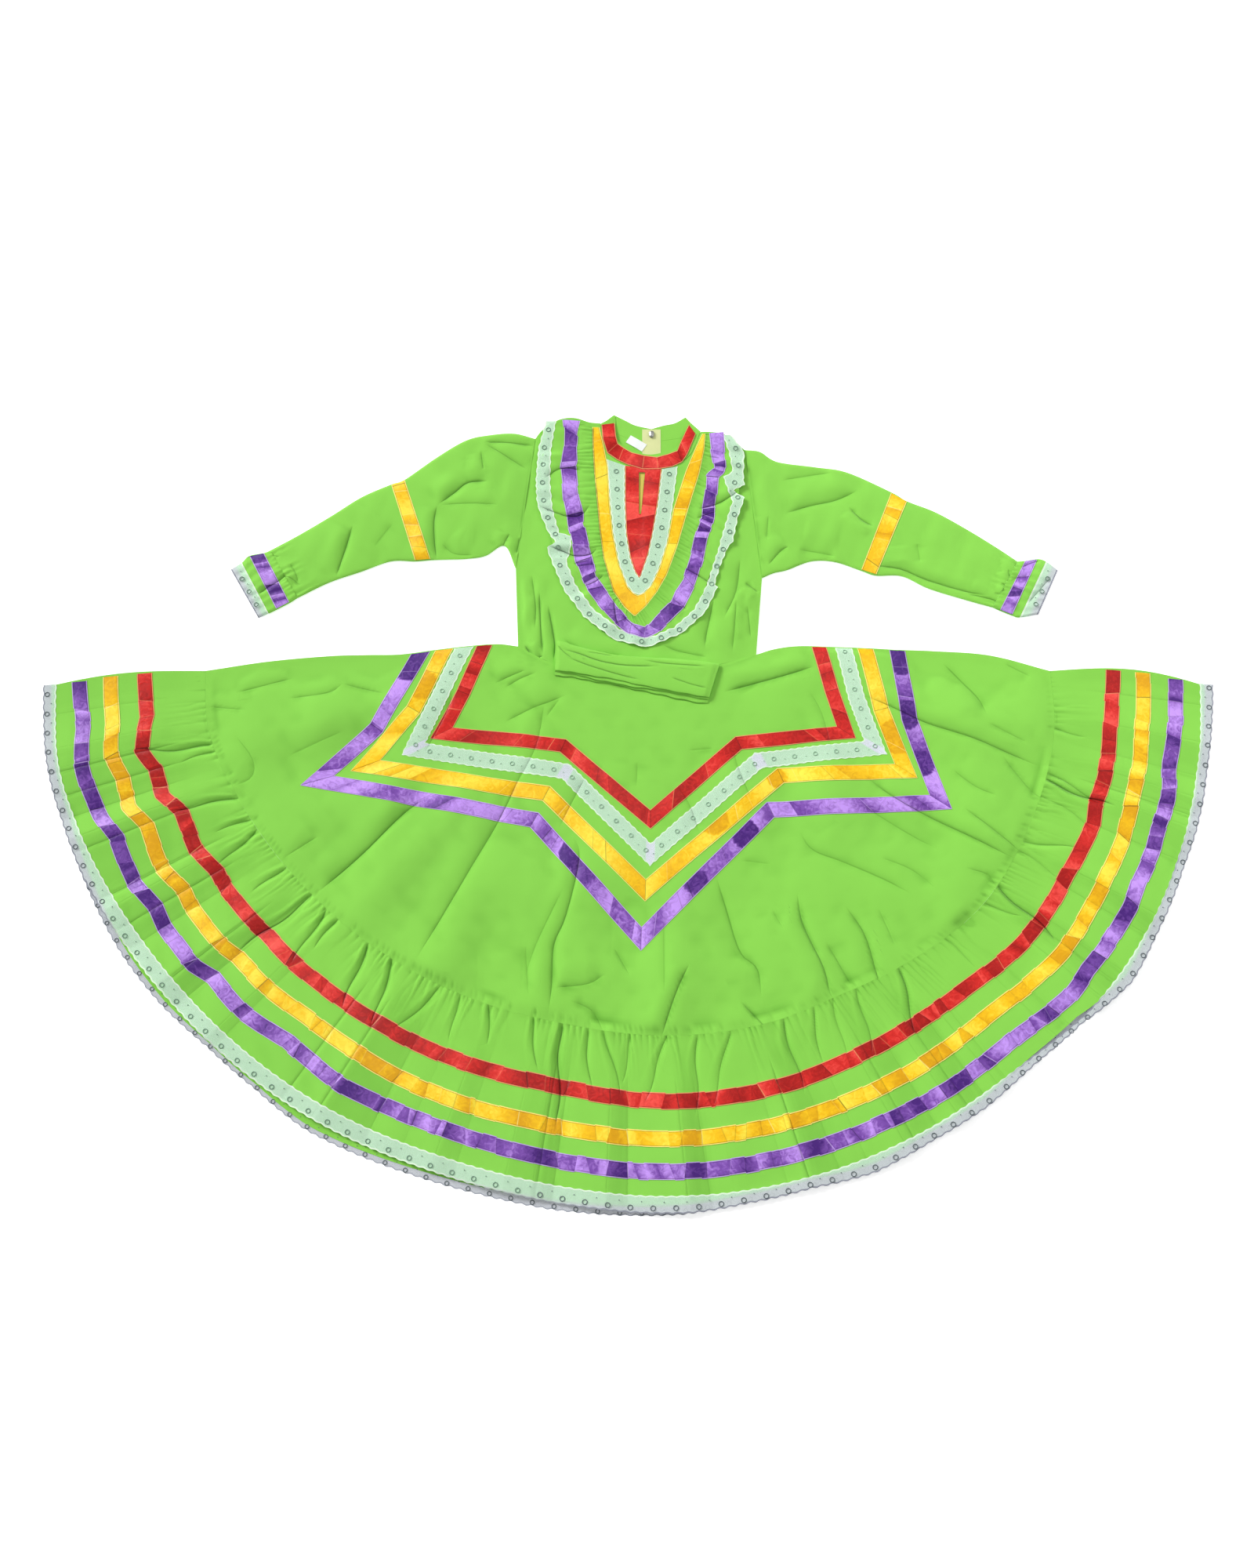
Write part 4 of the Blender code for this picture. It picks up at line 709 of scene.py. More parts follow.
def colour(red, green, blue, share=1.0):
    """A colour as seen on a screen, 0 to 255, as the linear one that Blender uses."""
    values = [v * share / 255 for v in (red, green, blue)]
    return (*[v / 12.92 if v <= 0.04045 else ((v + 0.055) / 1.055) ** 2.4 for v in values], 1.0)


def noise_of(tree, scale, detail, distortion=0.0):
    place = node(tree, "ShaderNodeTexCoord").outputs["Object"]
    inputs = {"Vector": place, "Scale": scale, "Detail": detail, "Distortion": distortion}
    return node(tree, "ShaderNodeTexNoise", inputs).outputs[0]


def bump_of(tree, height, distance, strength=1.0, normal=None):
    """A fine relief, over the relief that the normal already has."""
    made = node(tree, "ShaderNodeBump", {"Height": height, "Distance": distance, "Strength": strength})
    if normal is not None:
        tree.links.new(normal, made.inputs["Normal"])
    return made.outputs[0]


def plan_of(tree):
    """Metres along the cloth and across it."""
    place = node(tree, "ShaderNodeUVMap", uv_map="UVMap").outputs[0]
    return node(tree, "ShaderNodeSeparateXYZ", {0: place}).outputs


def new_group(name, inputs, outputs):
    tree = bpy.data.node_groups.new(name, "ShaderNodeTree")
    for title, kind, value in inputs:
        socket = tree.interface.new_socket(title, in_out="INPUT", socket_type="NodeSocket" + kind)
        socket.default_value = value
    for title, kind in outputs:
        tree.interface.new_socket(title, in_out="OUTPUT", socket_type="NodeSocket" + kind)
    return tree, node(tree, "NodeGroupInput").outputs, node(tree, "NodeGroupOutput").inputs


def place_group(tree, group, inputs):
    return node(tree, "ShaderNodeGroup", inputs, node_tree=group).outputs[0]

# %% [markdown]
# The weave is the product of two sine waves, one for each set of threads. The net
# measures the distance to the nearest hole's middle and is thread beyond it.

# %% The weave, the slow change of colour and the net
def make_weave():
    tree, given, out = new_group(
        "plain weave", [("Threads per metre", "Float", 2500.0)], [("Height", "Float")])
    plan = plan_of(tree)
    turns = sum_of(tree, "MULTIPLY", given[0], math.pi)
    warp = sum_of(tree, "SINE", sum_of(tree, "MULTIPLY", plan[0], turns))
    weft = sum_of(tree, "SINE", sum_of(tree, "MULTIPLY", plan[1], turns))
    tree.links.new(sum_of(tree, "ABSOLUTE", sum_of(tree, "MULTIPLY", warp, weft)), out[0])
    return tree


def make_drift():
    """Colour that drifts a little, as dye and wear leave it."""
    tree, given, out = new_group(
        "slow change of colour",
        [("Colour", "Color", (1, 1, 1, 1)), ("Amount", "Float", 0.06), ("Per metre", "Float", 9.0)],
        [("Colour", "Color")])
    least = sum_of(tree, "MULTIPLY_ADD", given[1], -0.5, 1.0)
    swing = sum_of(tree, "MULTIPLY_ADD", noise_of(tree, given[2], 5.0), given[1], least)
    tint = node(tree, "ShaderNodeCombineColor", {0: swing, 1: swing, 2: swing}).outputs[0]
    tree.links.new(blend_of(tree, 1.0, given[0], tint, "MULTIPLY"), out[0])
    return tree


def make_net():
    """Six-sided holes in rows, each row shifted by half a hole."""
    tree, given, out = new_group(
        "net", [("Holes per metre", "Float", 650.0), ("Hole size", "Float", 0.34)], [("Thread", "Float")])
    plan = plan_of(tree)
    across, along = (sum_of(tree, "MULTIPLY", plan[k], given[0]) for k in (0, 1))
    nearest = []
    for shift in (0.0, 0.5):
        u = sum_of(tree, "PINGPONG", sum_of(tree, "ADD", across, shift), 0.5)
        v = sum_of(tree, "PINGPONG", sum_of(tree, "ADD", along, shift * 1.732), 0.866)
        square = sum_of(tree, "MULTIPLY_ADD", u, u, sum_of(tree, "MULTIPLY", v, v))
        nearest.append(sum_of(tree, "SQRT", square))
    far = sum_of(tree, "MINIMUM", *nearest)
    tree.links.new(sum_of(tree, "GREATER_THAN", far, given[1]), out[0])
    return tree


WEAVE, DRIFT, HOLES = make_weave(), make_drift(), make_net()
print("groups:", WEAVE.name, "|", DRIFT.name, "|", HOLES.name)

# %% [markdown]
# ## Cotton
# The green cotton is a crisp plain weave with no shine. Its folds are painted a
# deeper green, as painted shade, since light that reaches a trough has already
# bounced off green cloth. Each mesh carries a mask of its troughs and fold lines
# for that painted shade. A fine bump adds the soft crumple that stays after ironing.

# %% Cotton
def new_material(name, **constants):
    material = bpy.data.materials.new(name)
    material.use_nodes = True
    shader = material.node_tree.nodes["Principled BSDF"]
    for key, value in constants.items():
        shader.inputs[key.replace("_", " ")].default_value = value
    return material, material.node_tree, shader


def mask(tree, name):
    return node(tree, "ShaderNodeAttribute", attribute_name=name).outputs["Fac"]


def base_colour_with_drift(tree, shader, shade, amount, per_metre):
    """The colour given goes to the shader with its slow change of colour. In the cloth
    materials that colour already holds painted shade and painted highlights.
    """
    tint = place_group(tree, DRIFT, {"Colour": shade, "Amount": amount, "Per metre": per_metre})
    tree.links.new(tint, shader.inputs["Base Color"])


def weave(tree, shader, threads, distance, normal=None):
    height = place_group(tree, WEAVE, {"Threads per metre": threads})
    tree.links.new(bump_of(tree, height, distance, normal=normal), shader.inputs["Normal"])


def fold_relief(tree, normal):
    """The sharp folds from a mesh's masks: how dark each place is, as painted shade
    along the fold's line, and the normal.
    """
    relief, dark = 0.0, 0.0
    for k in range(FOLD_LAYERS):
        far = sum_of(tree, "ABSOLUTE", mask(tree, f"fold_{k}"))
        force = mask(tree, f"force_{k}")
        relief = sum_of(tree, "MULTIPLY_ADD", sum_of(tree, "POWER", 0.37, far), force, relief)
        dark = sum_of(tree, "MULTIPLY_ADD", sum_of(tree, "POWER", 0.05, far), force, dark)
    sunk = sum_of(tree, "MULTIPLY", relief, -0.95)
    return times(tree, dark, 0.45), bump_of(tree, sunk, 0.001, normal=normal)


def cotton(name, lit, shaded_green):
    material, tree, shader = new_material(
        name, Roughness=0.85, Sheen_Weight=0.12, Sheen_Roughness=0.5, Specular_IOR_Level=0.25)
    crumple = noise_of(tree, 30.0, 2.0, 0.4)
    # Troughs, gaps and fold lines are painted a deeper green, as painted shade.
    line, normal = fold_relief(tree, bump_of(tree, crumple, 0.0007, 0.5))
    painted_shade = sum_of(tree, "MAXIMUM", times(tree, mask(tree, "painted_shade"), 0.95), line)
    base_colour_with_drift(tree, shader, blend_of(tree, painted_shade, colour(*lit), colour(*shaded_green)), 0.07, 6.0)
    weave(tree, shader, 2600.0, 0.00008, normal)
    return material


# The lit green, then the deeper green of painted shade.
GREEN = cotton("green_cotton", (140, 216, 80), (78, 152, 28))
print("cotton:", GREEN.name)

# %% [markdown]
# ## Satin ribbon
# Satin throws light back along its threads, so a ribbon that lies in folds breaks
# into patches with sharp slanted edges, each one dark, middling or bright. That
# sheen is painted: the patch is a matter of tilt, so the mesh carries a tilt mask
# that picks a shaded, middle or lit colour. The woven edge has a pale cord, and
# inside it a thin painted shadow. A sharp fold shows as a thin painted line: a
# painted highlight where it would catch the light, and painted shade where it wouldn't.

# %% Satin
def satin(name, dark, middle, bright, edge):
    material, tree, shader = new_material(name, Anisotropic=0.6, Specular_IOR_Level=0.28)
    # Painted sheen: the tilt mask, mottled by a noise cloud, picks a shaded, middle or lit colour.
    cloud = noise_of(tree, 105.0, 3.0, 1.6)
    swing = sum_of(tree, "MULTIPLY_ADD", cloud, 1.0, -0.5)
    tilt = sum_of(tree, "ADD", mask(tree, "tilt"), swing, clamp=True)
    low = times(tree, tilt, 2.0)
    high = sum_of(tree, "MULTIPLY_ADD", tilt, 2.0, -1.0, clamp=True)
    shade = blend_of(tree, high, blend_of(tree, low, colour(*dark), colour(*middle)), colour(*bright))
    # Painted fold lines: a painted highlight in the cord's colour, or a line of painted shade.
    painted_fold_line = mask(tree, "painted_fold_line")
    shade = blend_of(tree, times(tree, painted_fold_line, 0.8), shade, colour(*edge))
    shade = blend_of(tree, times(tree, painted_fold_line, -0.85), shade, colour(*dark, 0.35))
    # The pale cord is the ribbon's own colour; the groove inside it is a painted shadow.
    rim = mask(tree, "rim")
    painted_groove_shadow = sum_of(tree, "COMPARE", rim, 1.75, 0.45)
    cord = sum_of(tree, "LESS_THAN", rim, 1.2)
    shade = blend_of(tree, sum_of(tree, "MULTIPLY", painted_groove_shadow, 0.5), shade, colour(*dark, 0.5))
    shade = blend_of(tree, sum_of(tree, "MULTIPLY", cord, 0.75), shade, colour(*edge))
    # Creases of the cloth beneath add a dent and a line of painted shade.
    line, normal = fold_relief(tree, bump_of(tree, cloud, 0.0007, 0.6))
    base_colour_with_drift(tree, shader, blend_of(tree, line, shade, colour(*dark, 0.4)), 0.12, 160.0)
    tree.links.new(sum_of(tree, "MULTIPLY_ADD", tilt, -0.10, 0.44), shader.inputs["Roughness"])
    weave(tree, shader, 4200.0, 0.00003, normal)
    return material


# Each satin: its shaded, middle and lit colours for the painted sheen, then its cord's own colour, which also
# paints the bright fold lines.
RED = satin("red_satin", (166, 14, 10), (216, 38, 32), (250, 84, 74), (248, 160, 110))
YELLOW = satin("yellow_satin", (226, 164, 0), (250, 198, 14), (255, 232, 70), (255, 240, 140))
VIOLET = satin("violet_satin", (72, 28, 122), (128, 80, 176), (200, 154, 246), (206, 174, 240))
print("satins:", RED.name, YELLOW.name, VIOLET.name)

# %% [markdown]
# ## Lace
# The lace is a narrow net tape with a wavy cord along each edge. Modelling every
# hole would take millions of faces, so the net is cut out by transparency. The
# rings and dots that are worked into it are thick thread, and they are real
# geometry further down.

# %% Lace, tape, label and metal
DOUBLED = (232, 238, 248)      # where the tape lies on itself
FOLD_SHADE = (84, 120, 92)


def lace(name, shade, edge, free, free_edge):
    """The first two colours are the net and its cord on green cloth, the last two
    where it hangs free, which are greyer and darker as painted shade."""
    material, tree, shader = new_material(name, Roughness=0.8, Sheen_Weight=0.15)
    cord = sum_of(tree, "LESS_THAN", mask(tree, "rim"), 1.8)
    net = place_group(tree, HOLES, {"Holes per metre": 1000.0, "Hole size": 0.28})
    faint = sum_of(tree, "MULTIPLY_ADD", net, 0.85, 0.15)
    tree.links.new(blend_of(tree, cord, faint, (0.85, 0.85, 0.85, 1)), shader.inputs["Alpha"])
    hanging = mask(tree, "free")
    shade = blend_of(tree, hanging, colour(*shade), colour(*free))
    shade = blend_of(tree, mask(tree, "double"), shade, colour(*DOUBLED))
    shade = blend_of(tree, cord, shade, blend_of(tree, hanging, colour(*edge), colour(*free_edge)))
    line, normal = fold_relief(tree, bump_of(tree, noise_of(tree, 140.0, 2.0), 0.0003, 0.4))
    tree.links.new(normal, shader.inputs["Normal"])
    # Fold lines take FOLD_SHADE, a painted shade.
    base_colour_with_drift(tree, shader, blend_of(tree, line, shade, colour(*FOLD_SHADE)), 0.06, 30.0)
    return material


def one_colour(name, shade, amount, per_metre, **constants):
    """One colour with its slow change, for thread and enamel."""
    material, tree, shader = new_material(name, **constants)
    base_colour_with_drift(tree, shader, colour(*shade), amount, per_metre)
    return material


def tape(name, shade):
    material = one_colour(name, shade, 0.10, 60.0, Roughness=0.75, Sheen_Weight=0.1)
    tree = material.node_tree
    weave(tree, tree.nodes["Principled BSDF"], 1600.0, 0.0001)
    return material


LACE = lace("white_net", (206, 242, 210), (236, 255, 230), (208, 216, 218), (150, 154, 166))
SHADED_LACE = lace("shaded_net", (188, 192, 200), (172, 176, 186), (194, 198, 206), (138, 140, 154))
# The worked rings are grey thread. The darkest thread is used on the hem lace where it hangs past the cloth,
# partly as painted shade; the pale and the faint ones are greener.
THREAD, PALE_THREAD, FAINT_THREAD = (
    one_colour(name, shade, 0.10, 200.0, Roughness=0.7, Sheen_Weight=0.2)
    for name, shade in (("worked_thread", (92, 104, 108)), ("pale_thread", (112, 146, 124)),
                        ("faint_thread", (158, 196, 166))))
TAPE = tape("zip_tape_cloth", (220, 226, 160))
LABEL = tape("label_cloth", (246, 250, 248))
FACING = tape("slit_facing_cloth", (216, 198, 86))
METAL = one_colour("slider_enamel", (150, 152, 146), 0.3, 500.0, Metallic=0.8, Roughness=0.4)
print("lace and small parts:", LACE.name, THREAD.name, TAPE.name, LABEL.name, METAL.name)

# %% [markdown]
# ## Where the pieces lie
# The seams are shared: the waist seam ends both the bodice and the skirt, and the
# gathered seam ends both the skirt and the flounce. One function for each keeps
# the two pieces on either side of a seam together.

# %% Plans of the seams
SEAM_GAP = 0.12                            # air where two pieces meet at a seam
FLOUNCE_BOW = (0.7, 1.15)                  # degrees, at the left and the right fold
TOP_RUNS = ((0, 6), (6, 14), (14, 18))     # shoulder, neckline, shoulder
NECK_FROM, NECK_TO = 6 / 18, 14 / 18       # the neckline's share of the top edge


def waist_seam(share):
    return flowing_rows(share * (len(WAIST) - 1), plan_line(WAIST))


def top_edge(share):
    """Three smooth runs with corners between."""
    at = share * (len(BODICE_TOP) - 1)
    line = plan_line(BODICE_TOP)
    edge = np.empty(at.shape + (2,))
    for first, last in TOP_RUNS:
        run = (at >= first) & (at <= last)
        edge[run] = flowing(at[run], np.arange(first, last + 1), line[first:last + 1])
    return edge


def polar(angle, radius):
    turn = np.radians(angle)
    return np.stack([radius * np.cos(turn), -radius * np.sin(turn)], axis=-1)


def hem_radius(name, angle):
    radius = flowing(angle, column(HEM, "angle"), column(HEM, name))
    if name == "edge":
        radius = radius + np.interp(angle, column(HEM_TRIM, "angle"), column(HEM_TRIM, "change"))
    return radius


def flounce_angle(share, out):
    """Round the flounce. Its side folds bow out between the seam and the hem."""
    bow = np.sin(math.pi * np.clip(out, 0, 1))
    return mix(LEFT_FOLD + FLOUNCE_BOW[0] * bow, RIGHT_FOLD - FLOUNCE_BOW[1] * bow, share)


def by_side(share, left, right, room):
    """What the left and the right side fold add, dying away within that share."""
    from_left = np.clip(1 - share / room, 0, 1) ** 2
    from_right = np.clip(1 - (1 - share) / room, 0, 1) ** 2
    return left * from_left, right * from_right


def bodice_plan(share, down):
    p = mix(top_edge(share), waist_seam(share) + (0, SEAM_GAP / 2), down[..., None])
    bow = np.where(down < UNDERARM, down / UNDERARM, (1 - down) / (1 - UNDERARM))
    left, right = by_side(share, UNDERARM_OUT[0] * bow, UNDERARM_OUT[1] * bow, 0.3)
    p[..., 0] += right - left
    return p


def skirt_plan(share, along):
    """share 0 is the left side fold. along runs from the waist to the seam."""
    angle = mix(LEFT_FOLD, RIGHT_FOLD, share)
    seam = polar(angle, hem_radius("seam", angle))
    p = mix(waist_seam(share) - (0, SEAM_GAP / 2), seam, along[..., None])
    places = column(SIDE_FOLDS, "along")
    left, right = (flowing(along, places, column(SIDE_FOLDS, name)) for name in ("left", "right"))
    p[..., 1] += sum(by_side(share, left, right, 0.12))
    return p


def keep_above(z, floor=1.15, soft=0.25):
    """A trough can press on the cloth below it, but not go through."""
    return floor + soft * np.logaddexp(0, (z - floor) / soft)


def grid_of(rows, columns):
    """Shares along the rows and columns of a grid, each as a full array."""
    down, across = np.meshgrid(np.linspace(0, 1, rows), np.linspace(0, 1, columns), indexing="ij")
    return across, down


def with_height(plan, z):
    return np.concatenate([plan, z[..., None]], axis=-1)


print("seams are ready")

# %% [markdown]
# ## Back panels
# The back of the dress lies face down and flat on the floor. Little of it shows:
# the back of the neck, and the hem where it peeks out. Plain grids do, because a
# floor under cloth irons out its folds.

# %% Back panels
PIECES = []


def keep(piece, slot, *nodes):
    """Files a finished piece: what rides on the frame, and what it replaces. Its slot is not used."""
    PIECES.append(piece)
    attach(piece, "root")
    if nodes:
        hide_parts(*nodes)
    return piece


def back_panel(name, plan):
    under = with_height(plan, np.full(plan.shape[:2], BACK_AT))
    return keep(sheet_wall("dress_" + name, under, BACK_THICK, GREEN, uv=plan), "cotton_green", name)


back_panel("skirt_back", skirt_plan(*grid_of(24, 90)))


def neck_line(rows, name, at):
    line = plan_line(rows, name)
    return flowing_rows(at * (len(line) - 1), line)


CENTRE_SHARE = 0.558       # the centre back's share of the top edge
for side, rows, count, ends, neck_ends in (
        ("left", COLLAR_BACK_LEFT, 60, (0, CENTRE_SHARE), (NECK_FROM, CENTRE_SHARE)),
        ("right", COLLAR_BACK_RIGHT, 50, (CENTRE_SHARE, 1), (CENTRE_SHARE, NECK_TO))):
    share = np.linspace(*ends, count)
    top = top_edge(share)
    collar = neck_line(rows, "seam", (share - neck_ends[0]) / (neck_ends[1] - neck_ends[0])) - (0, 0.3)
    in_neck = share > NECK_FROM if side == "left" else share < NECK_TO
    top = np.where(in_neck[:, None], collar, top)
    if side == "left":
        top[-1, 0] = CENTRE_BACK - 0.2
    else:
        top[0, 0] = CENTRE_BACK + 0.2
    down = np.linspace(0, 1, 40)[:, None] * np.ones(count)
    plan = bodice_plan(share * np.ones_like(down), down)
    back_panel("bodice_back_" + side, plan + (top - plan[0]) * (1 - down[..., None]) ** 6)
    at, up = grid_of(8, 24)
    plan = mix(neck_line(rows, "seam", at), neck_line(rows, "top", at), up[..., None])
    back_panel("collar_back_" + side, plan)


def peep(share):
    """How far the back hem shows past the front one, low on the left."""
    return 6.0 * np.exp(-((share - 0.27) / 0.12) ** 2)


def back_hem(share):
    """The back's cotton ends under its lace, and shows as a green line on the left."""
    return hem_radius("edge", mix(LEFT_FOLD, RIGHT_FOLD, share)) - HEM_OVERHANG + 1.9 * peep(share)


def past_seam(angle):
    """Where the flounce starts, a hair beyond the skirt."""
    return hem_radius("seam", angle) + SEAM_GAP


def flounce_plan(share, inner, outer, out):
    """Between two distances from the centre, out being the share across."""
    return polar(flounce_angle(share, out), mix(inner, outer, out))


share, out = grid_of(12, 260)
seam = past_seam(mix(LEFT_FOLD, RIGHT_FOLD, share))
back_panel("flounce_back", flounce_plan(share, seam, back_hem(share), out))
print("back panels:", len(PIECES))

# %% [markdown]
# ## Bodice front
# The front is one flat piece from the shoulders to the waist. It lifts off the
# back between its side folds, pulls into upright folds below the bib, and ends in
# a short keyhole slit. The slit is cut with a boolean, which leaves clean edges at
# any angle to the grid.

# %% Bodice front
# Middle and half width as shares of the way across, and height
UPRIGHT_FOLDS = ((0.04, 0.025, 1.2), (0.10, 0.030, 2.2), (0.90, 0.030, 2.4), (0.96, 0.025, 1.4))


SHOULDER_ROLL = 30         # mm below the shoulders over which the front lifts off the back


def body_loft(share, y):
    side = ease(near_side(share) / 0.18)
    return LOFT * side * ease((SHOULDER_Y - y) / SHOULDER_ROLL)


share, down = grid_of(112, 18 * 8 + 1)
plan = bodice_plan(share, down)
x, y = plan[..., 0], plan[..., 1]
z = FRONT_AT + body_loft(share, y)
for centre, half_width, height in UPRIGHT_FOLDS:
    ends = ease((down - 0.60) / 0.15) * ease((0.97 - down) / 0.15)
    z = z + height * np.exp(-((share - centre) / half_width) ** 2) * ends
inner = ease(near_side(share) / 0.05)
pressed, lines = crease_height(x, y, BODICE_CREASES)
z = keep_above(z + inner * (pressed + rumple(x, y, SEED, 55, 0.28)))
bodice_under = with_height(plan, z)
bodice = sheet_wall("dress_bodice_front", bodice_under, COTTON, GREEN, uv=plan,
                    masks={"painted_shade": painted_shade_mask(bodice_under, lines), **fold_masks(plan, BODICE_CREASES)})
ON_BODICE = surface_of(bodice_under + (0, 0, COTTON))


def settled(carrier):
    """The mesh that an object's modifiers make of it."""
    return bpy.data.meshes.new_from_object(carrier.evaluated_get(bpy.context.evaluated_depsgraph_get()))


def cut_slit(piece, grow=0.0):
    """Cuts the keyhole through a piece, and leaves a plain mesh."""
    (top_x, top_y, top_width), (foot_x, foot_y, foot_width) = SLIT
    corners = [(top_x - top_width / 2 - grow, top_y + grow), (foot_x - foot_width / 2 - grow, foot_y - grow),
               (foot_x + foot_width / 2 + grow, foot_y - grow), (top_x + top_width / 2 + grow, top_y + grow)]
    points = [(px * MM, py * MM, pz) for pz in (-0.01, 0.04) for px, py in corners]
    faces = [(3, 2, 1, 0), (4, 5, 6, 7), (0, 1, 5, 4), (1, 2, 6, 5), (2, 3, 7, 6), (3, 0, 4, 7)]
    mesh = bpy.data.meshes.new("slit_knife")
    mesh.from_pydata(points, [], faces)
    knife = add_object("slit_knife", mesh)
    modifier = piece.modifiers.new("slit", "BOOLEAN")
    modifier.operation = "DIFFERENCE"
    modifier.solver = "EXACT"
    modifier.object = knife
    solid = settled(piece)
    piece.modifiers.clear()
    piece.data = solid
    bpy.data.objects.remove(knife)


cut_slit(bodice)
keep(bodice, "cotton_green", "bodice_front")
print("bodice front:", len(bodice.data.polygons), "faces")

# %% [markdown]
# ## Collar, zip and label
# The narrow collar band stands round the neck and carries a red ribbon. Inside it
# the ends of the zip tape, its slider and a blank label show.

# %% Collar
at, up = grid_of(10, 96)
seam = top_edge(mix(NECK_FROM, NECK_TO, at))
plan = mix(seam, neck_line(COLLAR_FRONT_TOP, "", at), (0.02 + 0.98 * up)[..., None])
x, y = plan[..., 0], plan[..., 1]
z = FRONT_AT + LOFT * ease((SHOULDER_Y - y) / SHOULDER_ROLL)
z = z + 0.35 * np.sin(up * math.pi) + rumple(x, y, 3, 26, 0.12)
grid = with_height(plan, z)
keep(sheet_wall("dress_collar_front", grid, COTTON, GREEN, uv=plan, masks={"painted_shade": painted_shade_mask(grid)}),
     "cotton_green", "collar_front")
ON_COLLAR = surface_of(grid + (0, 0, COTTON))
print("collar band laid")

# %% [markdown]
# ## Folds along a ribbon
# A ribbon can't stretch, so where its seam is puckered it breaks into short flat
# stretches with sharp slanted folds between them. A regular grid would blur those.
# Here each fold gets its own pair of grid columns, laid along the slant, and the
# tilt, which picks the ribbon's painted sheen, changes between the two.

# %% Folds along a ribbon
# tilt picks a ribbon's painted sheen, and line a painted highlight or painted shade along the fold
Fold = namedtuple("Fold", "at slant tilt line")    # mm along, mm of slant, shade, mark
FOLD_PAIR = np.array([-1.0, -0.15, 0.15, 1.0])     # columns at each fold, in mm from it
COLUMN_STEP = 3.4                                  # between the folds' columns, in mm
LEAST_GAP = 3.4                                    # between two folds
END_ROOM = 4                                       # nothing nearer to a strip's end


def fold_table(*rows):
    return [Fold(*row) for row in rows]


def random_folds(length, seed, size, low, high):
    """Folds at uneven distances, with a clear change of tilt at each."""
    rng = np.random.default_rng(seed)
    folds = []
    share = rng.uniform()
    at = size * rng.uniform(0.3, 1.0) + 2
    while at < length - END_ROOM or not folds:
        share = (share + rng.uniform(0.25, 0.75)) % 1.0
        line = rng.choice([-0.8, -0.4, 0.0, 0.3, 0.7])
        place = at if folds else min(at, length / 2)
        folds.append(Fold(place, rng.uniform(-9, 9), mix(low, high, share), line))
        at += max(LEAST_GAP, size * rng.uniform(0.3, 1.9))
    return folds


def fold_columns(length, folds, first=0.5):
    """For each column of a ribbon: its place, slant, tilt, line and height."""
    at = column(folds, "at")
    knots = np.concatenate([[0], at, [length]])
    room = 0.8 * np.minimum(np.diff(knots)[:-1], np.diff(knots)[1:])
    slants = np.concatenate([[0], np.clip(column(folds, "slant"), -room, room), [0]])
    even = np.linspace(0, length, int(length / COLUMN_STEP) + 2)
    clear = np.abs(even[:, None] - at).min(axis=1) > 1.4
    clear[[0, -1]] = True
    place = np.sort(np.concatenate([even[clear], (at[:, None] + FOLD_PAIR).ravel()]))
    nearest = np.abs(place[:, None] - at).argmin(axis=1)
    lines = np.where(np.abs(place - at[nearest]) < 0.3, column(folds, "line")[nearest], 0)
    patch = np.searchsorted(at, place)
    drift = 0.7 * np.sin(np.arange(len(at) + 1) * 2.3 + length)
    within = (place - knots[patch]) / (knots[patch + 1] - knots[patch]) - 0.5
    tilts = np.concatenate([[first], column(folds, "tilt")])[patch]
    tilts = np.clip(tilts + drift[patch] * within, 0, 1)
    height = np.interp(place, knots, 0.4 * (np.arange(len(knots)) % 2))
    return np.array([place, np.interp(place, knots, slants), tilts, lines, height])


def rim_distance(grid):
    """Millimetres to the nearer long edge of a ribbon's grid."""
    share = np.linspace(0, 1, len(grid))[:, None]
    return near_side(share) * np.linalg.norm(grid[-1] - grid[0], axis=1)


def ribbon_wall(name, plan, trees, lift, material, tilt, line, height, folds):
    """A ribbon laid down on its plan, puffed up a little between its edges."""
    grid = lay_on(trees, plan, lift)
    masks = {"tilt": tilt, "painted_fold_line": line, "rim": rim_distance(grid), **fold_masks(grid, folds, 5.0)}
    across = np.linspace(0, 1, len(grid))[:, None]
    grid[..., 2] += height * np.sin(across * math.pi) ** 0.5
    return sheet_wall(name, grid, SATIN, material, masks=masks)


def folded_ribbon(name, line_a, line_b, folds, trees, material, first=0.5,
                  rows=9, lift=CLEAR, step=0.0, under=()):
    """A ribbon laid between two lines that have matching points. At each fold it
    steps sideways, by up to that many millimetres. under are the creases of the
    cloth that it lies on."""
    arc = length_along((line_a + line_b) / 2)
    place, slant, tilt, line, height = fold_columns(arc[-1], folds, first)
    across = np.linspace(0, 1, rows)[:, None]
    at = place + slant * (across - 0.5)
    plan = mix(straight(at, arc, line_a), straight(at, arc, line_b), across[..., None])
    if step:
        side = line_b - line_a
        side = side / np.linalg.norm(side, axis=1)[:, None]
        patch = np.searchsorted(column(folds, "at"), place)
        shift = step * np.sin(patch * 2.4 + arc[-1])
        plan += straight(at, arc, side) * shift[:, None]
    return ribbon_wall(name, plan, trees, lift, material, tilt, line, height, under)


def folds_at(rows, line):
    """Folds at a table's rows, for a ribbon along that line."""
    arc = length_along(line)
    return [Fold(at, row.slant, row.tilt, row.line) for at, row in zip(arc[1:-1], rows[1:-1])]


low, top = plan_line(COLLAR_RIBBON, "low"), plan_line(COLLAR_RIBBON, "top")
folds = folds_at(COLLAR_RIBBON, (low + top) / 2)
keep(folded_ribbon("dress_collar_ribbon", low, top, folds, [ON_BODICE, ON_COLLAR], RED, lift=0.9),
     "satin_red", "collar_ribbon")
print("collar ribbon:", len(folds), "folds")

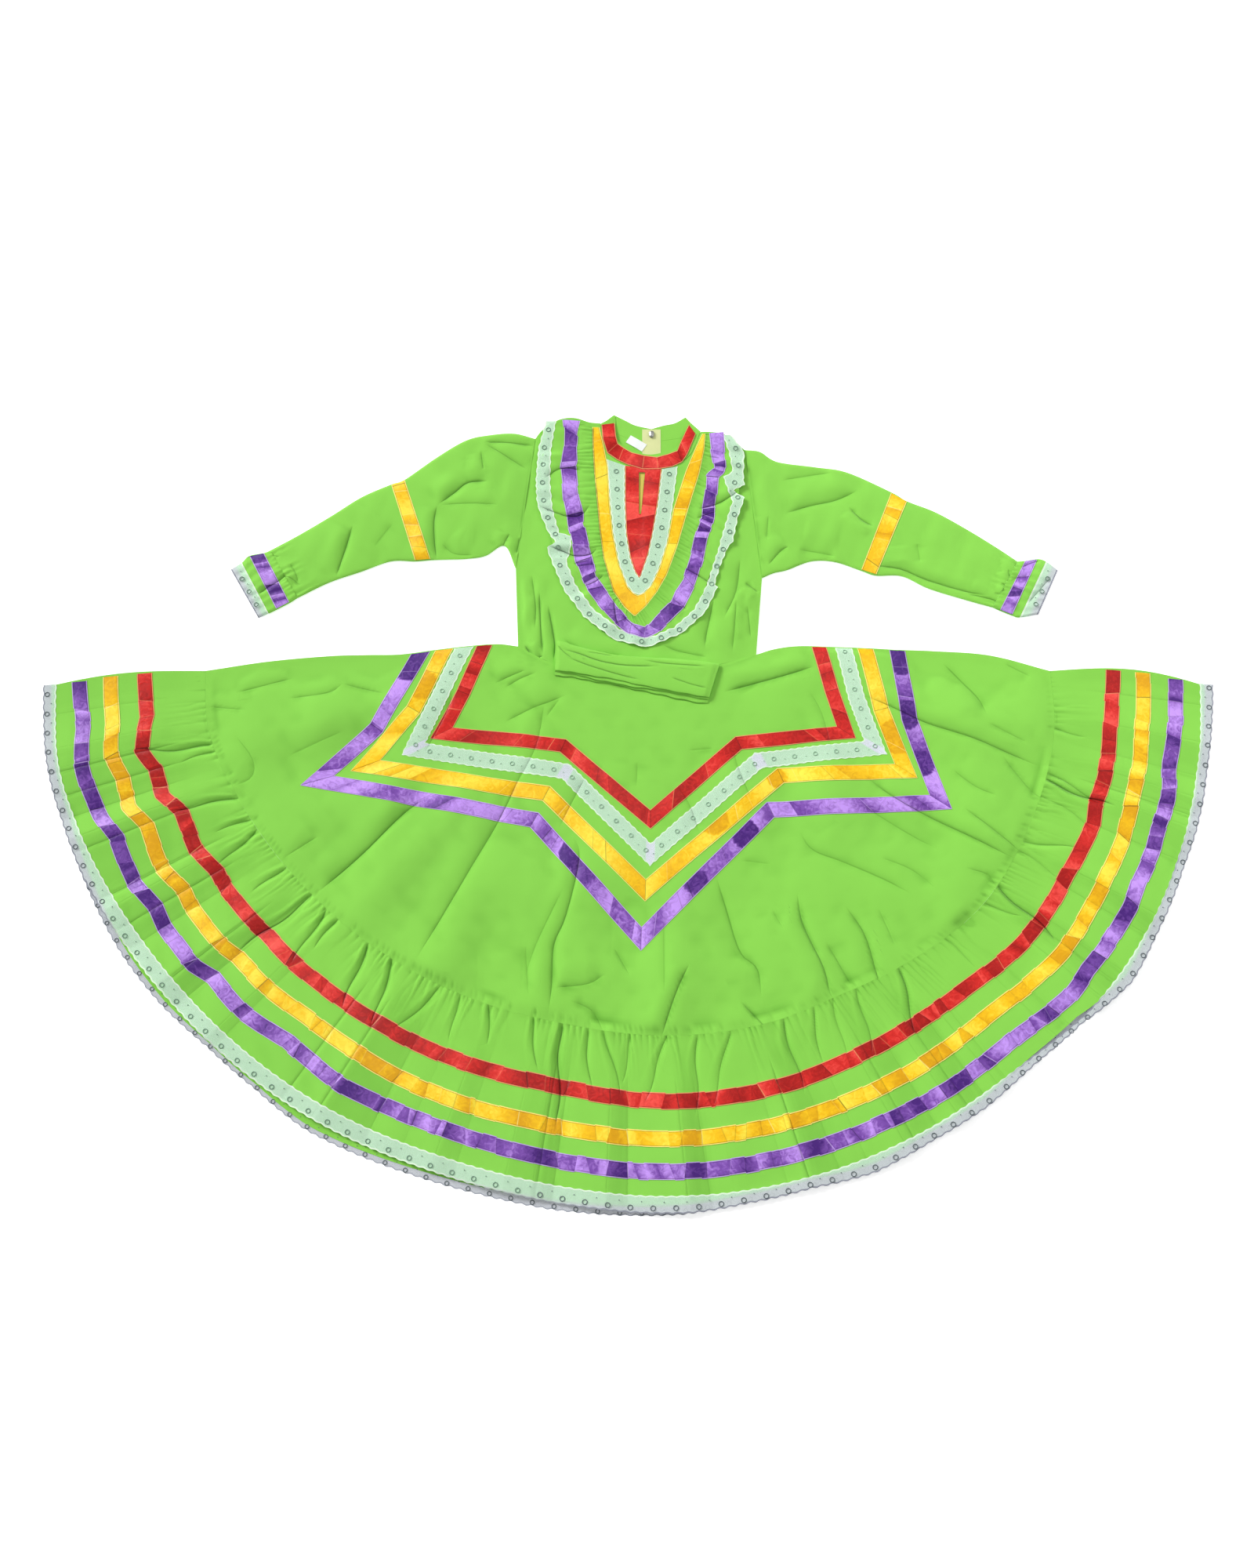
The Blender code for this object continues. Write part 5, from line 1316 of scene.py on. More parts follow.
# %% [markdown]
# The zip is closed, and only its head shows inside the neck: the upper ends of its
# tape, and a slider lofted through six rounded outlines. A blank label lies beside
# it, and a yellow facing shows through the slit.

# %% Zip tape, slider and label
def flat_grid(start, end, rows, columns):
    """Between two edges, each given by its two corners."""
    across, down = grid_of(rows, columns)
    edges = [mix(np.array(a, float), np.array(b, float), across[..., None]) for a, b in (start, end)]
    return mix(*edges, down[..., None])


TAPE_AT = BACK_AT + BACK_THICK + 0.1
plan = flat_grid(((22, 331), (50, 331)), ((22, -130), (50, -130)), 120, 9)
share, down = grid_of(120, 9)
grid = with_height(plan, TAPE_AT + 0.12 * np.cos((share - 0.5) * math.tau))
keep(sheet_wall("dress_zip_tape", grid, 0.35, TAPE, uv=plan), "zip_tape", "zip_tape")

# Above the tape: the height, half width, back end and front end of each outline
SLIDER = ((0.0, 2.6, -5.0, 5.0), (0.4, 3.4, -5.5, 5.5), (1.9, 3.9, -5.5, 5.5),
          (2.4, 3.4, -5.0, 5.0), (2.6, 1.3, -3.6, 4.2), (3.0, 0.9, -2.8, 3.4))
SLIDER_Y = 322
turn = np.linspace(0, math.tau, 24, endpoint=False)
bulge, stretch = (np.sign(wave) * np.abs(wave) ** 0.6 for wave in (np.cos(turn), np.sin(turn)))
taper = 1 - 0.22 * np.clip(-stretch, 0, 1)
rings = [np.stack([CENTRE_BACK + half * bulge * taper, SLIDER_Y + mix(back, front, 0.5 + 0.5 * stretch),
                   np.full(24, TAPE_AT + 0.6 + height)], axis=1) for height, half, back, front in SLIDER]
keep(solid_loft("dress_zip_slider", np.array(rings), METAL), "slider_metal", "zip_slider")

LABEL_AT = (13, 307)
turn = math.radians(-33)
across, down = grid_of(10, 18)
lx, ly = (across - 0.5) * 29, (down - 0.5) * 14
plan = np.stack([LABEL_AT[0] + lx * math.cos(turn) - ly * math.sin(turn),
                 LABEL_AT[1] + lx * math.sin(turn) + ly * math.cos(turn)], axis=-1)
grid = with_height(plan, TAPE_AT + 0.55 + 0.5 * np.sin(across * math.pi) ** 2)
keep(sheet_wall("dress_neck_label", grid, 0.3, LABEL), "label_white", "neck_label")

FACING_AT = 2.75
plan = flat_grid(((12, 270), (31, 270)), ((13, 176), (27, 176)), 30, 8)
grid = with_height(plan, FACING_AT + rumple(plan[..., 0], plan[..., 1], 9, 20, 0.1))
keep(sheet_wall("dress_slit_facing", grid, 0.3, FACING, uv=plan), "cotton_green")
print("zip, label and facing laid")

# %% [markdown]
# ## Bib: panel, lace, yellow ribbon
# The bib is built outwards from a red satin panel: lace round it, then a yellow
# ribbon that comes to a point, then the ruffle. Each band is a strip between two
# of the table's lines, laid on the bodice by casting rays down to it.

# %% Bib bands
def bib_line(name, rows, steps):
    """A line of the bib with straight runs between its rows."""
    last = len(rows) - 1
    return straight(np.linspace(0, last, last * steps + 1), np.arange(last + 1), plan_line(rows, name))


def strip(line_a, line_b, rows):
    return mix(line_a[None], line_b[None], np.linspace(0, 1, rows)[:, None, None])


def unit(vectors):
    return vectors / np.linalg.norm(vectors, axis=1)[:, None]


seam_line, yellow_line = bib_line("seam", BIB, 14), bib_line("yellow", BIB, 14)
folds = random_folds(length_along((seam_line + yellow_line) / 2)[-1], 11, 34, 0.30, 0.85)
ribbon = folded_ribbon("dress_bib_yellow", seam_line, yellow_line, folds, [ON_BODICE], YELLOW)
keep(ribbon, "satin_yellow", "bib_yellow_ribbon")

laced = BIB[2:15]              # the lace and the panel stop short of the shoulders
tip = 6                        # the panel's lowest row
panel_left = bib_line("panel", laced[:tip + 1], 12)[:-2]
panel_right = bib_line("panel", laced[tip:], 12)[::-1][:-2]
PANEL_FOLDS = fold_table(
    (22, 9, 0.46, -0.3), (48, -12, 0.66, 0.2), (62, 10, 0.94, 0.3), (84, -8, 0.32, -0.4),
    (112, 12, 0.24, 0.2), (134, -9, 0.50, -0.5), (150, 6, 0.95, 0.4), (160, -4, 0.60, 0.1))
panel = folded_ribbon("dress_bib_panel", panel_left, panel_right, PANEL_FOLDS, [ON_BODICE], RED, rows=30)
cut_slit(panel, grow=0.4)
keep(panel, "satin_red", "bib_panel")


def lace_piece(name, line_a, line_b, rows, trees, wave=1.2, pitch=15.0, under=()):
    """Net tape whose two edges run in small waves."""
    swing = wave * (0.5 - 0.5 * np.cos(length_along(line_a) * math.tau / pitch))[:, None]
    away = unit(line_b - line_a)
    grid = lay_on(trees, strip(line_a + away * swing, line_b - away * swing, rows), CLEAR)
    masks = {"rim": rim_distance(grid), **fold_masks(grid, under, 5.0)}
    keep(sheet_wall("dress_" + name, grid, NET, LACE, masks=masks), "lace_white", name)
    return grid


lace_outer, lace_inner = bib_line("lace", laced, 18), bib_line("panel", laced, 18)
BIB_LACE_GRID = lace_piece("bib_lace", lace_outer, lace_inner, 7, [ON_BODICE])
print("bib bands laid")

# %% [markdown]
# ## The bib's ruffle
# A ruffle is a strip gathered along one edge. Near that edge it is full of small
# puckers, and they merge into fewer and larger waves towards the free edge. Two
# sets of waves that trade strength along the way give that, and creases from the
# table add the places where it folds over.

# %% Ruffle
BIB_STEPS = 32
RUFFLE_REACH = np.random.default_rng(19).uniform(0.1, 1.0, 140)    # of each pucker
PUCKER = 7.5                                                       # between puckers, in mm
COTTON_ENDS = 3.6                                                  # under the lace's inner part


def ruffle_lines():
    """The seam, the ribbon's two edges, the lace's inner edge and its outer one."""
    at = np.linspace(0, len(BIB) - 1, (len(BIB) - 1) * BIB_STEPS + 1)
    seam = bib_line("seam", BIB, BIB_STEPS)
    violet, edge = (flowing_rows(at, plan_line(BIB, name)) for name in ("violet", "edge"))
    inward = unit(seam - violet)
    room = np.linalg.norm(edge - violet, axis=1)
    outward = unit(edge - violet)
    lace_width = np.minimum(19.0, room - RIBBON / 2 - 0.6)[:, None]
    return np.stack([seam - inward * 0.4, violet + inward * RIBBON / 2, violet + outward * RIBBON / 2,
                     edge - outward * lace_width, edge])


RUFFLE_LINES = ruffle_lines()


def ruffle_grid(q):
    """q runs over the ruffle's lines, 0 at the seam and 4 at the lace's edge."""
    low = np.clip(q.astype(int), 0, 3)
    plan = mix(RUFFLE_LINES[low], RUFFLE_LINES[low + 1], (q - low)[:, None, None])
    out = q[:, None] / 4
    arc = length_along(RUFFLE_LINES[2]) * np.ones_like(out)
    warp = arc + 6 * np.sin(arc / 31.0) + 3 * np.sin(arc / 12.7 + 1) + 1.1 * np.sin(arc / 4.1)
    warp = warp + 7 * out * np.sin(arc / 9.0)
    turn = warp / PUCKER
    k = np.floor(turn).astype(int)
    wave = np.sin(math.pi * (turn - k))
    fade = np.clip(1 - out / (0.12 + 0.42 * RUFFLE_REACH[k]), 0, 1)
    pucker = 1.9 * wave ** 0.8 * fade * (0.4 + 0.6 * RUFFLE_REACH[k])
    broad = 0.5 + 0.28 * np.sin(warp * math.tau / 47) + 0.22 * np.sin(warp * math.tau / 29 + 2)
    x, y = plan[..., 0], plan[..., 1]
    pressed, lines = crease_height(x, y, RUFFLE_CREASES)
    # The valleys between the puckers are painted darker, as painted shade.
    valley = np.clip(1 - 2.2 * wave, 0, 1) * np.clip(fade * 1.6, 0, 1) * 2.4 * RUFFLE_REACH[k + 1] ** 3
    z = 4.3 + pucker + 2.9 * broad * ease(out * 1.3) + pressed + rumple(x, y, 17, 24, 0.15)
    return with_height(plan, keep_above(z, 4.15, 0.2)), np.maximum(lines, valley)


across_ruffle = np.linspace(0, COTTON_ENDS, 34)
grid, lines = ruffle_grid(across_ruffle)
seam_shadow = 0.255 * np.clip(1 - across_ruffle / 0.9, 0, 1)[:, None]
keep(sheet_wall("dress_bib_ruffle", grid, COTTON, GREEN,
                masks={"painted_shade": np.maximum(painted_shade_mask(grid, lines), seam_shadow),
                       **fold_masks(grid, RUFFLE_CREASES, 5.0)}),
     "cotton_green", "bib_ruffle")
ON_RUFFLE = surface_of(grid + (0, 0, COTTON))
print("ruffle:", grid.shape[1], "columns")

middle = plan_line(BIB_VIOLET)
ahead = np.gradient(middle, axis=0)
beside = unit(np.stack([ahead[:, 1], -ahead[:, 0]], axis=1)) * column(BIB_VIOLET, "wide")[:, None] / 2
ribbon = folded_ribbon("dress_bib_violet", middle + beside, middle - beside, folds_at(BIB_VIOLET, middle),
                       [ON_RUFFLE], VIOLET, 0.85, step=0.8, under=RUFFLE_CREASES)
keep(ribbon, "satin_violet", "bib_violet_ribbon")
RUFFLE_LACE_GRID = lace_piece("bib_lace_edge", bib_line("in", BIB_EDGE, 14), bib_line("out", BIB_EDGE, 14), 9,
                              [ON_RUFFLE], 1.6, 14.0, RUFFLE_CREASES)

# %% [markdown]
# ## Sleeves
# A sleeve that lies flat is a tube pressed to two layers, with a soft roll along
# each fold. Sections are drawn at each station of the table and smoothed between
# them. The upper layer takes the creases, and the lower one stays flat.

# %% Sleeves
TUBE_MIDDLE = 1.35
TUBE_HALF = 1.15
TUBE_ROLL = 4.5            # how wide the soft roll along each fold is
EDGE_SHARES = np.array([0.0, 0.004, 0.012, 0.024])
SLEEVE_COLUMNS = "top_x top_y low_x low_y"


def tube_walls(top, low, wall_thick, upper_height, upper=72, under=18):
    """Outer and inner grids of a flattened tube between two lines."""
    shares = np.concatenate([EDGE_SHARES, np.linspace(0.04, 0.96, upper), 1 - EDGE_SHARES[::-1]])
    back = np.concatenate([1 - EDGE_SHARES[1:], np.linspace(0.95, 0.05, under), EDGE_SHARES[:0:-1]])
    width = np.linalg.norm(top - low, axis=1)[:, None]
    walls = []
    for inset in (0.0, wall_thick):
        edge = inset / width
        parts = []
        for s, is_upper in ((shares, True), (back, False)):
            at = edge + (1 - 2 * edge) * s
            plan = mix(low[:, None], top[:, None], at[..., None])
            near = np.clip(near_side(s) * width / TUBE_ROLL, 0, 1)
            roll = np.sqrt(1 - (1 - near) ** 2)
            if is_upper:
                z = TUBE_MIDDLE + TUBE_HALF * roll + upper_height(plan, s * np.ones_like(width)) * roll
                z = np.where(near >= 1, keep_above(z, 1.3, 0.2), z) - inset * roll
            else:
                z = TUBE_MIDDLE - (TUBE_HALF - inset) * roll
            parts.append(with_height(plan, z))
        walls.append(np.concatenate(parts, axis=1))
    return walls[0], walls[1], len(shares)


def stations(rows, at):
    return flowing_rows(at, plan_line(rows, "top")), flowing_rows(at, plan_line(rows, "low"))


def even_stations(rows, first, last, count):
    """Stations of a table at even distances along the sleeve."""
    length = length_along((plan_line(rows, "top") + plan_line(rows, "low")) / 2)
    places = np.arange(len(rows))
    ends = np.interp([first, last], places, length)
    return np.interp(np.linspace(*ends, count), length, places)


def armhole(share, outward):
    """The sleeve's first row, where the bodice ends."""
    ends = bodice_plan(np.array([share, share]), np.array([0.0, UNDERARM])) + (outward, 0)
    return table(SLEEVE_COLUMNS, [ends.ravel()])


def cross_band(name, side, rows, ends, margin, count, folds, tree, material, slot, **more):
    """A ribbon across the sleeve, between two stations. Without folds of its own it
    gets random ones, from the seed that is given in their place."""
    s = np.linspace(margin, 1 - margin, count)[:, None]
    lines = [mix(low, top, s) for top, low in zip(*stations(rows, np.array(ends)))]
    if isinstance(folds, int):
        folds = random_folds(length_along(lines[0])[-1], folds, 22, 0.25, 0.85)
    ribbon = folded_ribbon("dress_" + name + side, *lines, folds, [tree], material, **more)
    keep(ribbon, slot, name + side)


def sleeve_height(at):
    def height(plan, s):
        x, y = plan[..., 0], plan[..., 1]
        puff = 2.3 * np.sin(math.pi * s) ** 0.7 * ease(at / 1.2)[:, None]
        gathers = 0.5 * np.sin(s * 41 + 2 * np.sin(s * 13)) * ease((at - 9.2) / 0.8)[:, None]
        return puff + gathers + crease_height(x, y, SLEEVE_CREASES)[0] + rumple(x, y, 23, 48, 0.35)
    return height


def make_sleeve(side, hole, rows, seed):
    rows = hole + rows
    at = even_stations(rows, 0, 10, 132)
    outer, inner, count = tube_walls(*stations(rows, at), COTTON, sleeve_height(at))
    lines = crease_height(outer[..., 0], outer[..., 1], SLEEVE_CREASES)[1]
    masks = {"painted_shade": painted_shade_mask(outer, lines), **fold_masks(outer, SLEEVE_CREASES)}
    sleeve = wall("dress_sleeve_" + side, outer, inner, GREEN, wrap=True, masks=masks)
    keep(sleeve, "cotton_green", "sleeve_" + side)
    tree = surface_of(outer[:, :count])
    cross_band("sleeve_band_", side, rows, (5.0, 6.0), 0.012, 90, seed, tree, YELLOW, "satin_yellow")


make_sleeve("left", armhole(0.0, -0.15), LEFT_SLEEVE, 41)
make_sleeve("right", armhole(1.0, 0.15), RIGHT_SLEEVE, 42)
print("sleeves laid")

# %% [markdown]
# The wrist frills are made the same way, with small waves that grow towards the
# hand. The net of their lace is a tube of its own beyond the cotton.

# %% Wrist frills
FRILL_FOLDS = {
    "left": fold_table((9, 6, 0.35, -0.3), (14, 8, 0.88, 0.3), (19, 8, 0.10, -0.3), (26, 6, 0.05, 0.0),
                       (37, 4, 0.92, -0.9), (56, -3, 0.72, -0.2), (68, 4, 0.50, 0.0), (77, 2, 0.12, 0.0)),
    "right": fold_table((18, -5, 0.85, 0.2), (27, 6, 0.10, -0.3), (36, 8, 0.22, 0.0),
                        (42, -6, 0.86, 0.3), (50, 3, 0.62, 0.0), (62, 3, 0.88, -0.7))}


def frill_height(at, seed):
    def height(plan, s):
        phase = np.sin(s * 9 + seed) * 0.8 + s * 44
        wave = (0.5 + 0.5 * np.sin(phase)) * 0.7 * ease((at[:, None] + 0.3) / 1.6)
        slope = (0.5 + 0.5 * np.sin(phase * 1.9 + seed)) * 0.6 * ease(1 - at[:, None] / 1.5)
        puff = mix(2.3, 1.6, ease(at[:, None] / 1.5)) * np.sin(math.pi * s) ** 0.7
        return puff + wave + slope + crease_height(plan[..., 0], plan[..., 1], FRILL_CREASES)[0]
    return height


def frill_tube(rows, first, last, count, thick, seed, outward=0.0):
    at = even_stations(rows, first, last, count)
    top, low = (line + (outward, 0) for line in stations(rows, at))
    outer, inner, around = tube_walls(top, low, thick, frill_height(at, seed), 76, 20)
    return at, outer, inner, around, fold_masks(outer, FRILL_CREASES, 6.0)


def make_frill(side, rows, seed):
    """The cotton, its violet ribbon, and the lace, whose upper side is given back."""
    at, outer, inner, around, masks = frill_tube(rows, 0, 3, 30, COTTON, seed)
    masks["painted_shade"] = painted_shade_mask(outer)
    frill = wall("dress_frill_" + side, outer, inner, GREEN, wrap=True, masks=masks)
    keep(frill, "cotton_green", "frill_" + side)
    tree = surface_of(outer[:, :around])
    cross_band("frill_ribbon_", side, rows, (1.02, 1.98), 0.014, 96, FRILL_FOLDS[side], tree,
               VIOLET, "satin_violet", first=0.75, under=FRILL_CREASES)
    outward = math.copysign(0.5, rows[-1].top_x)
    at, outer, inner, around, masks = frill_tube(rows, 3, 4, 12, NET, seed, outward)
    masks["rim"] = (np.minimum(at - 3, 4 - at) * 18)[:, None]
    masks["free"] = ease((at - 3.35) / 0.4)[:, None]
    lace_tube = wall("dress_frill_lace_" + side, outer, inner, LACE, wrap=True, masks=masks)
    keep(lace_tube, "lace_white", "frill_lace_" + side)
    return outer[:, :around]


FRILL_LACE_GRIDS = {"left": make_frill("left", LEFT_FRILL, 3), "right": make_frill("right", RIGHT_FRILL, 8)}
print("frills laid")

# %% [markdown]
# ## Gathered flounce
# The flounce's height is a sum of four things: facets that fan out, fine gathers
# that die away below the seam, a few deep pleats, and lines where it was pressed.

# %% Height of the flounce
FINE_ANGLES = np.arange(0.0, 180.01, 0.1)
FACET_WINDOW = 71          # fine angles over which the facets' heights average out


def facet_tilt(angle):
    tilts = np.concatenate([[0.5], column(FACETS, "tilt")])
    return tilts[np.searchsorted(column(FACETS, "angle"), angle)]


def facet_profile():
    """Height round the hem from the facets' tilts: climb where one faces away."""
    turn = np.radians(FINE_ANGLES)
    facing = np.stack([-np.sin(turn), -np.cos(turn)], axis=1) @ np.array(LIGHT_FROM)
    sign = np.where(facing > 0, -1.0, 1.0)
    height = np.cumsum(sign * (facet_tilt(FINE_ANGLES) - 0.45))
    padded = np.pad(height, FACET_WINDOW // 2, mode="edge")
    height = height - np.convolve(padded, np.ones(FACET_WINDOW) / FACET_WINDOW, mode="valid")
    return np.clip(0.5 + height / (4.6 * height.std()), 0, 1)


FACET_HEIGHT = facet_profile()
rng = np.random.default_rng(SEED)
GATHER_AMP = rng.uniform(0.4, 1.0, GATHERS + 8)
GATHER_REACH = 6 + 30 * rng.uniform(0, 1, GATHERS + 8) ** 2
GATHER_LEAN = rng.uniform(-0.6, 0.6, GATHERS + 8)


def pleat_line(pleat, past):
    """The angle of a pleat's line, which wanders a little on its way."""
    line = pleat.angle + (pleat.end - pleat.angle) * np.clip(past / pleat.reach, 0, 1.3)
    return line + 0.22 * np.sin(past / 15 + 1.7 * pleat.angle)


def flounce_under(share, past):
    """Height of the flounce's underside, and how near each place is to a dark fold
    line, which the cloth's colour takes as painted shade. past is millimetres
    beyond the gathered seam."""
    angle = flounce_angle(share, past / FLOUNCE_DEEP)
    side = ease(near_side(share) / 0.05)
    radius = hem_radius("seam", angle) + past

    def beside(place):
        """Millimetres round the hem from that angle."""
        return np.radians(angle - place) * radius

    facets = np.interp(angle, FINE_ANGLES, FACET_HEIGHT)
    z = mix(1.5, 0.9, ease(past / 70)) + facets * mix(0.8, 5.2, ease(past / 170))
    turns = GATHERS * share + 3
    for size, waves, start in ((1.3, 37, 0), (0.8, 83, 1), (0.4, 190, 0)):
        turns = turns + size * np.sin(share * waves + start)
    turns = turns + GATHER_LEAN[np.floor(turns).astype(int)] * np.sin(past / 24) * ease(past / 30)
    k = np.clip(np.floor(turns).astype(int), 0, GATHERS + 7)
    wave = np.abs(np.sin(math.pi * turns))
    fade = GATHER_AMP[k] * np.exp(-past / GATHER_REACH[k])
    z = z + 2.0 * fade * wave ** 0.75
    lines = 1.6 * np.clip(1 - wave / 0.35, 0, 1) * np.clip(fade * 2.2 - 0.8, 0, 1)
    for pleat in PLEATS:
        arc = beside(pleat_line(pleat, past))
        width = 2.6 + 0.04 * past
        fade = ease(1.25 - past / pleat.reach) * ease((past + 4) / 12)
        trough = np.exp(-(np.sqrt((arc / width) ** 2 + 0.08) - 0.283))
        ridge = 0.4 * np.exp(-((arc - 2.2 * width) / width) ** 2)
        z = z - 1.15 * pleat.depth * fade * (trough - ridge)
        lines = np.maximum(lines, np.exp(-(arc / 1.7) ** 2) * fade * min(1.0, pleat.depth / 2.9))
    for press in PRESSED:
        arc = beside(press)
        fade = ease((past - 45) / 40)
        z = z - 0.8 * np.exp(-np.abs(arc) / 2.4) * fade
        lines = np.maximum(lines, 0.35 * np.exp(-(arc / 1.3) ** 2) * fade)
    for before, facet in zip(FACETS, FACETS[1:]):
        edge = np.exp(-(beside(facet.angle) / 1.2) ** 2) * ease((past - 40) / 60)
        lines = np.maximum(lines, 0.45 * abs(facet.tilt - before.tilt) * edge)
    z = z + rumple(-radius * np.cos(np.radians(angle)), radius, 71, 60, 0.18)
    return keep_above(FRONT_AT + side * z, 1.15, 0.2), lines

# %% [markdown]
# ## Skirt front
# Half a circle of cotton from the waist to the gathered seam. A polar grid puts
# its fine columns where the soft folds run, which is outwards from the waist.

# %% Skirt front
def skirt_fold_height(angle, along):
    total = np.zeros(angle.shape)
    for fold in SKIRT_FOLDS:
        rise = ease((along - fold.start) / 0.35)
        total += fold.height * np.exp(-((angle - fold.angle) / fold.half_width) ** 2) * rise
    return total


share, along = grid_of(74, 481)
plan = skirt_plan(share, along)
x, y = plan[..., 0], plan[..., 1]
side = ease(near_side(share) / mix(0.18, 0.06, ease(along / 0.2)))
z = FRONT_AT + side * (LOFT + 1.5 * skirt_fold_height(mix(LEFT_FOLD, RIGHT_FOLD, share), along))
z = z - ease((along - 0.95) / 0.05) * side * 0.7
pull = np.abs(np.sin(share * math.pi * 118 + 3 * np.sin(share * 29))) ** 0.8
z = z + side * pull * 0.4 * ease((along - 0.965) / 0.03)
inner = ease(near_side(share) / 0.012)
pressed, lines = crease_height(x, y, SKIRT_CREASES)
uneven = rumple(x, y, 51, 120, 1.3) * ease((along - 0.1) / 0.2) + rumple(x, y, 52, 42, 0.12)
z = z + inner * (pressed + uneven)
z = mix(keep_above(z), flounce_under(share, np.zeros_like(share))[0], ease((along - 0.972) / 0.026))
grid = with_height(plan, z)
masks = {"painted_shade": painted_shade_mask(grid, lines), **fold_masks(grid, SKIRT_CREASES)}
keep(sheet_wall("dress_skirt_front", grid, COTTON, GREEN, uv=plan, masks=masks),
     "cotton_green", "skirt_front")
ON_SKIRT = surface_of(grid + (0, 0, COTTON))
print("skirt front:", grid.shape)

# %% [markdown]
# ## The star of ribbons and lace
# Four trims run in a zigzag round the skirt, and together they draw a star. At
# each corner the ribbon is folded over itself at the half angle, which sewers
# call a mitre, so the strip is built leg by leg between mitred lines.

# %% Star trims
STAR_WIDTHS = {"violet": 23.0, "yellow": 23.0, "lace": 25.0, "red": 21.0}
MITRE = 0.8                    # columns this far from a mitre keep its line sharp
SHARP_TURN = math.radians(20)  # the lace is folded over itself from this turn on
DOUBLE_FOR = 10                # and lies double for this many mm
# Places where a ribbon turns away from the light, painted as dark patches through its tilt mask
Patch = namedtuple("Patch", "x y reach tilt")
STAR_PATCHES = {
    "violet": [Patch(-75, -340, 22, 0.0), Patch(-60, -365, 18, 0.15), Patch(165, -310, 20, 0.05),
               Patch(95, -380, 18, 0.1), Patch(400, -132, 22, 0.05), Patch(418, -205, 20, 0.1),
               Patch(400, -30, 40, 0.0), Patch(-312, -45, 36, 0.05)],
    "yellow": [Patch(120, -290, 22, 0.1), Patch(212, -228, 14, 0.1), Patch(385, -165, 26, 0.1),
               Patch(-300, -85, 24, 0.1)],
    "red": []}


def mitred(corners, width):
    """The inner line of a zigzag band that has this outer line."""
    legs = unit(np.diff(corners, axis=0))
    normals = np.stack([-legs[:, 1], legs[:, 0]], axis=1)
    one = np.concatenate([normals[:1], normals])
    two = np.concatenate([normals, normals[-1:]])
    miter = unit(one + two)
    return corners + miter * width / np.sum(miter * one, axis=1)[:, None]


def inside_fold(start, corner, right):
    """Moves a band's end along its leg until it is inside the side fold."""
    line = skirt_plan(np.full(60, 1.0 if right else 0.0), np.linspace(0, 1, 60))
    line = line[np.argsort(line[:, 0])]
    for t in np.linspace(0, 0.9, 181):
        p = mix(start, corner, t)
        if p[1] < np.interp(p[0], line[:, 0], line[:, 1]) - 1.2:
            return p
    return corner


def tuck_ends(lines):
    """Both ends of a band's lines go inside the side folds."""
    for line in lines:
        line[0] = inside_fold(line[0], line[1], False)
        line[-1] = inside_fold(line[-1], line[-2], True)


def star_band(name, material, slot, node_name, seed, low, high, size):
    """Leg by leg, with a column of the grid along every mitre and every fold."""
    corners = plan_line(STAR, name)
    across = np.linspace(0, 1, 9)[:, None]
    edges = mix(corners[None], mitred(corners, STAR_WIDTHS[name])[None], across[..., None])
    tuck_ends(edges)
    plans, looks = [], []
    for k in range(len(corners) - 1):
        length = np.linalg.norm(corners[k + 1] - corners[k])
        folds = random_folds(length, seed + k, size, low, high)
        columns = fold_columns(length, folds, mix(low, high, (k * 0.37) % 1))
        if k > 0:
            columns[3, 0] = -0.9
            columns = np.insert(columns, 1, (MITRE, 0, columns[2, 0], 0, columns[4, 0]), axis=1)
        if k < len(corners) - 2:
            columns[:, -1] = (length - MITRE, 0, columns[2, -2], 0, columns[4, -2])
        t = (columns[0] + columns[1] * (across - 0.5)) / length
        plans.append(mix(edges[:, k, None], edges[:, k + 1, None], t[..., None]))
        looks.append(columns[2:])
    plan = np.concatenate(plans, axis=1)
    tilt, line, height = np.concatenate(looks, axis=1)
    tilt = tilt * np.ones_like(across)
    for patch in STAR_PATCHES[name]:
        near = np.hypot(plan[..., 0] - patch.x, plan[..., 1] - patch.y) < patch.reach
        tilt = np.where(near, patch.tilt, tilt)
    ribbon = ribbon_wall("dress_star_" + name, plan, [ON_SKIRT], CLEAR, material,
                         tilt, line, height, SKIRT_CREASES)
    keep(ribbon, slot, node_name)


def lace_leg(outer, inner, plain_start, plain_end):
    """One leg of the star's lace, with wavy edges, and where it lies double."""
    length = np.linalg.norm(outer[1] - outer[0])
    place = np.linspace(0, length, int(length / 2.5))
    t = (place / length)[:, None]
    wave = 0.05 * (0.5 - 0.5 * np.cos(place * math.tau / 12))
    across = wave + (1 - 2 * wave) * np.linspace(0, 1, 9)[:, None]
    plan = mix(mix(outer[0], outer[1], t)[None], mix(inner[0], inner[1], t)[None], across[..., None])
    from_start = np.inf if plain_start else place
    from_end = np.inf if plain_end else length - place
    return plan, 1.0 * (np.minimum(from_start, from_end) < DOUBLE_FOR) * np.ones(len(place))


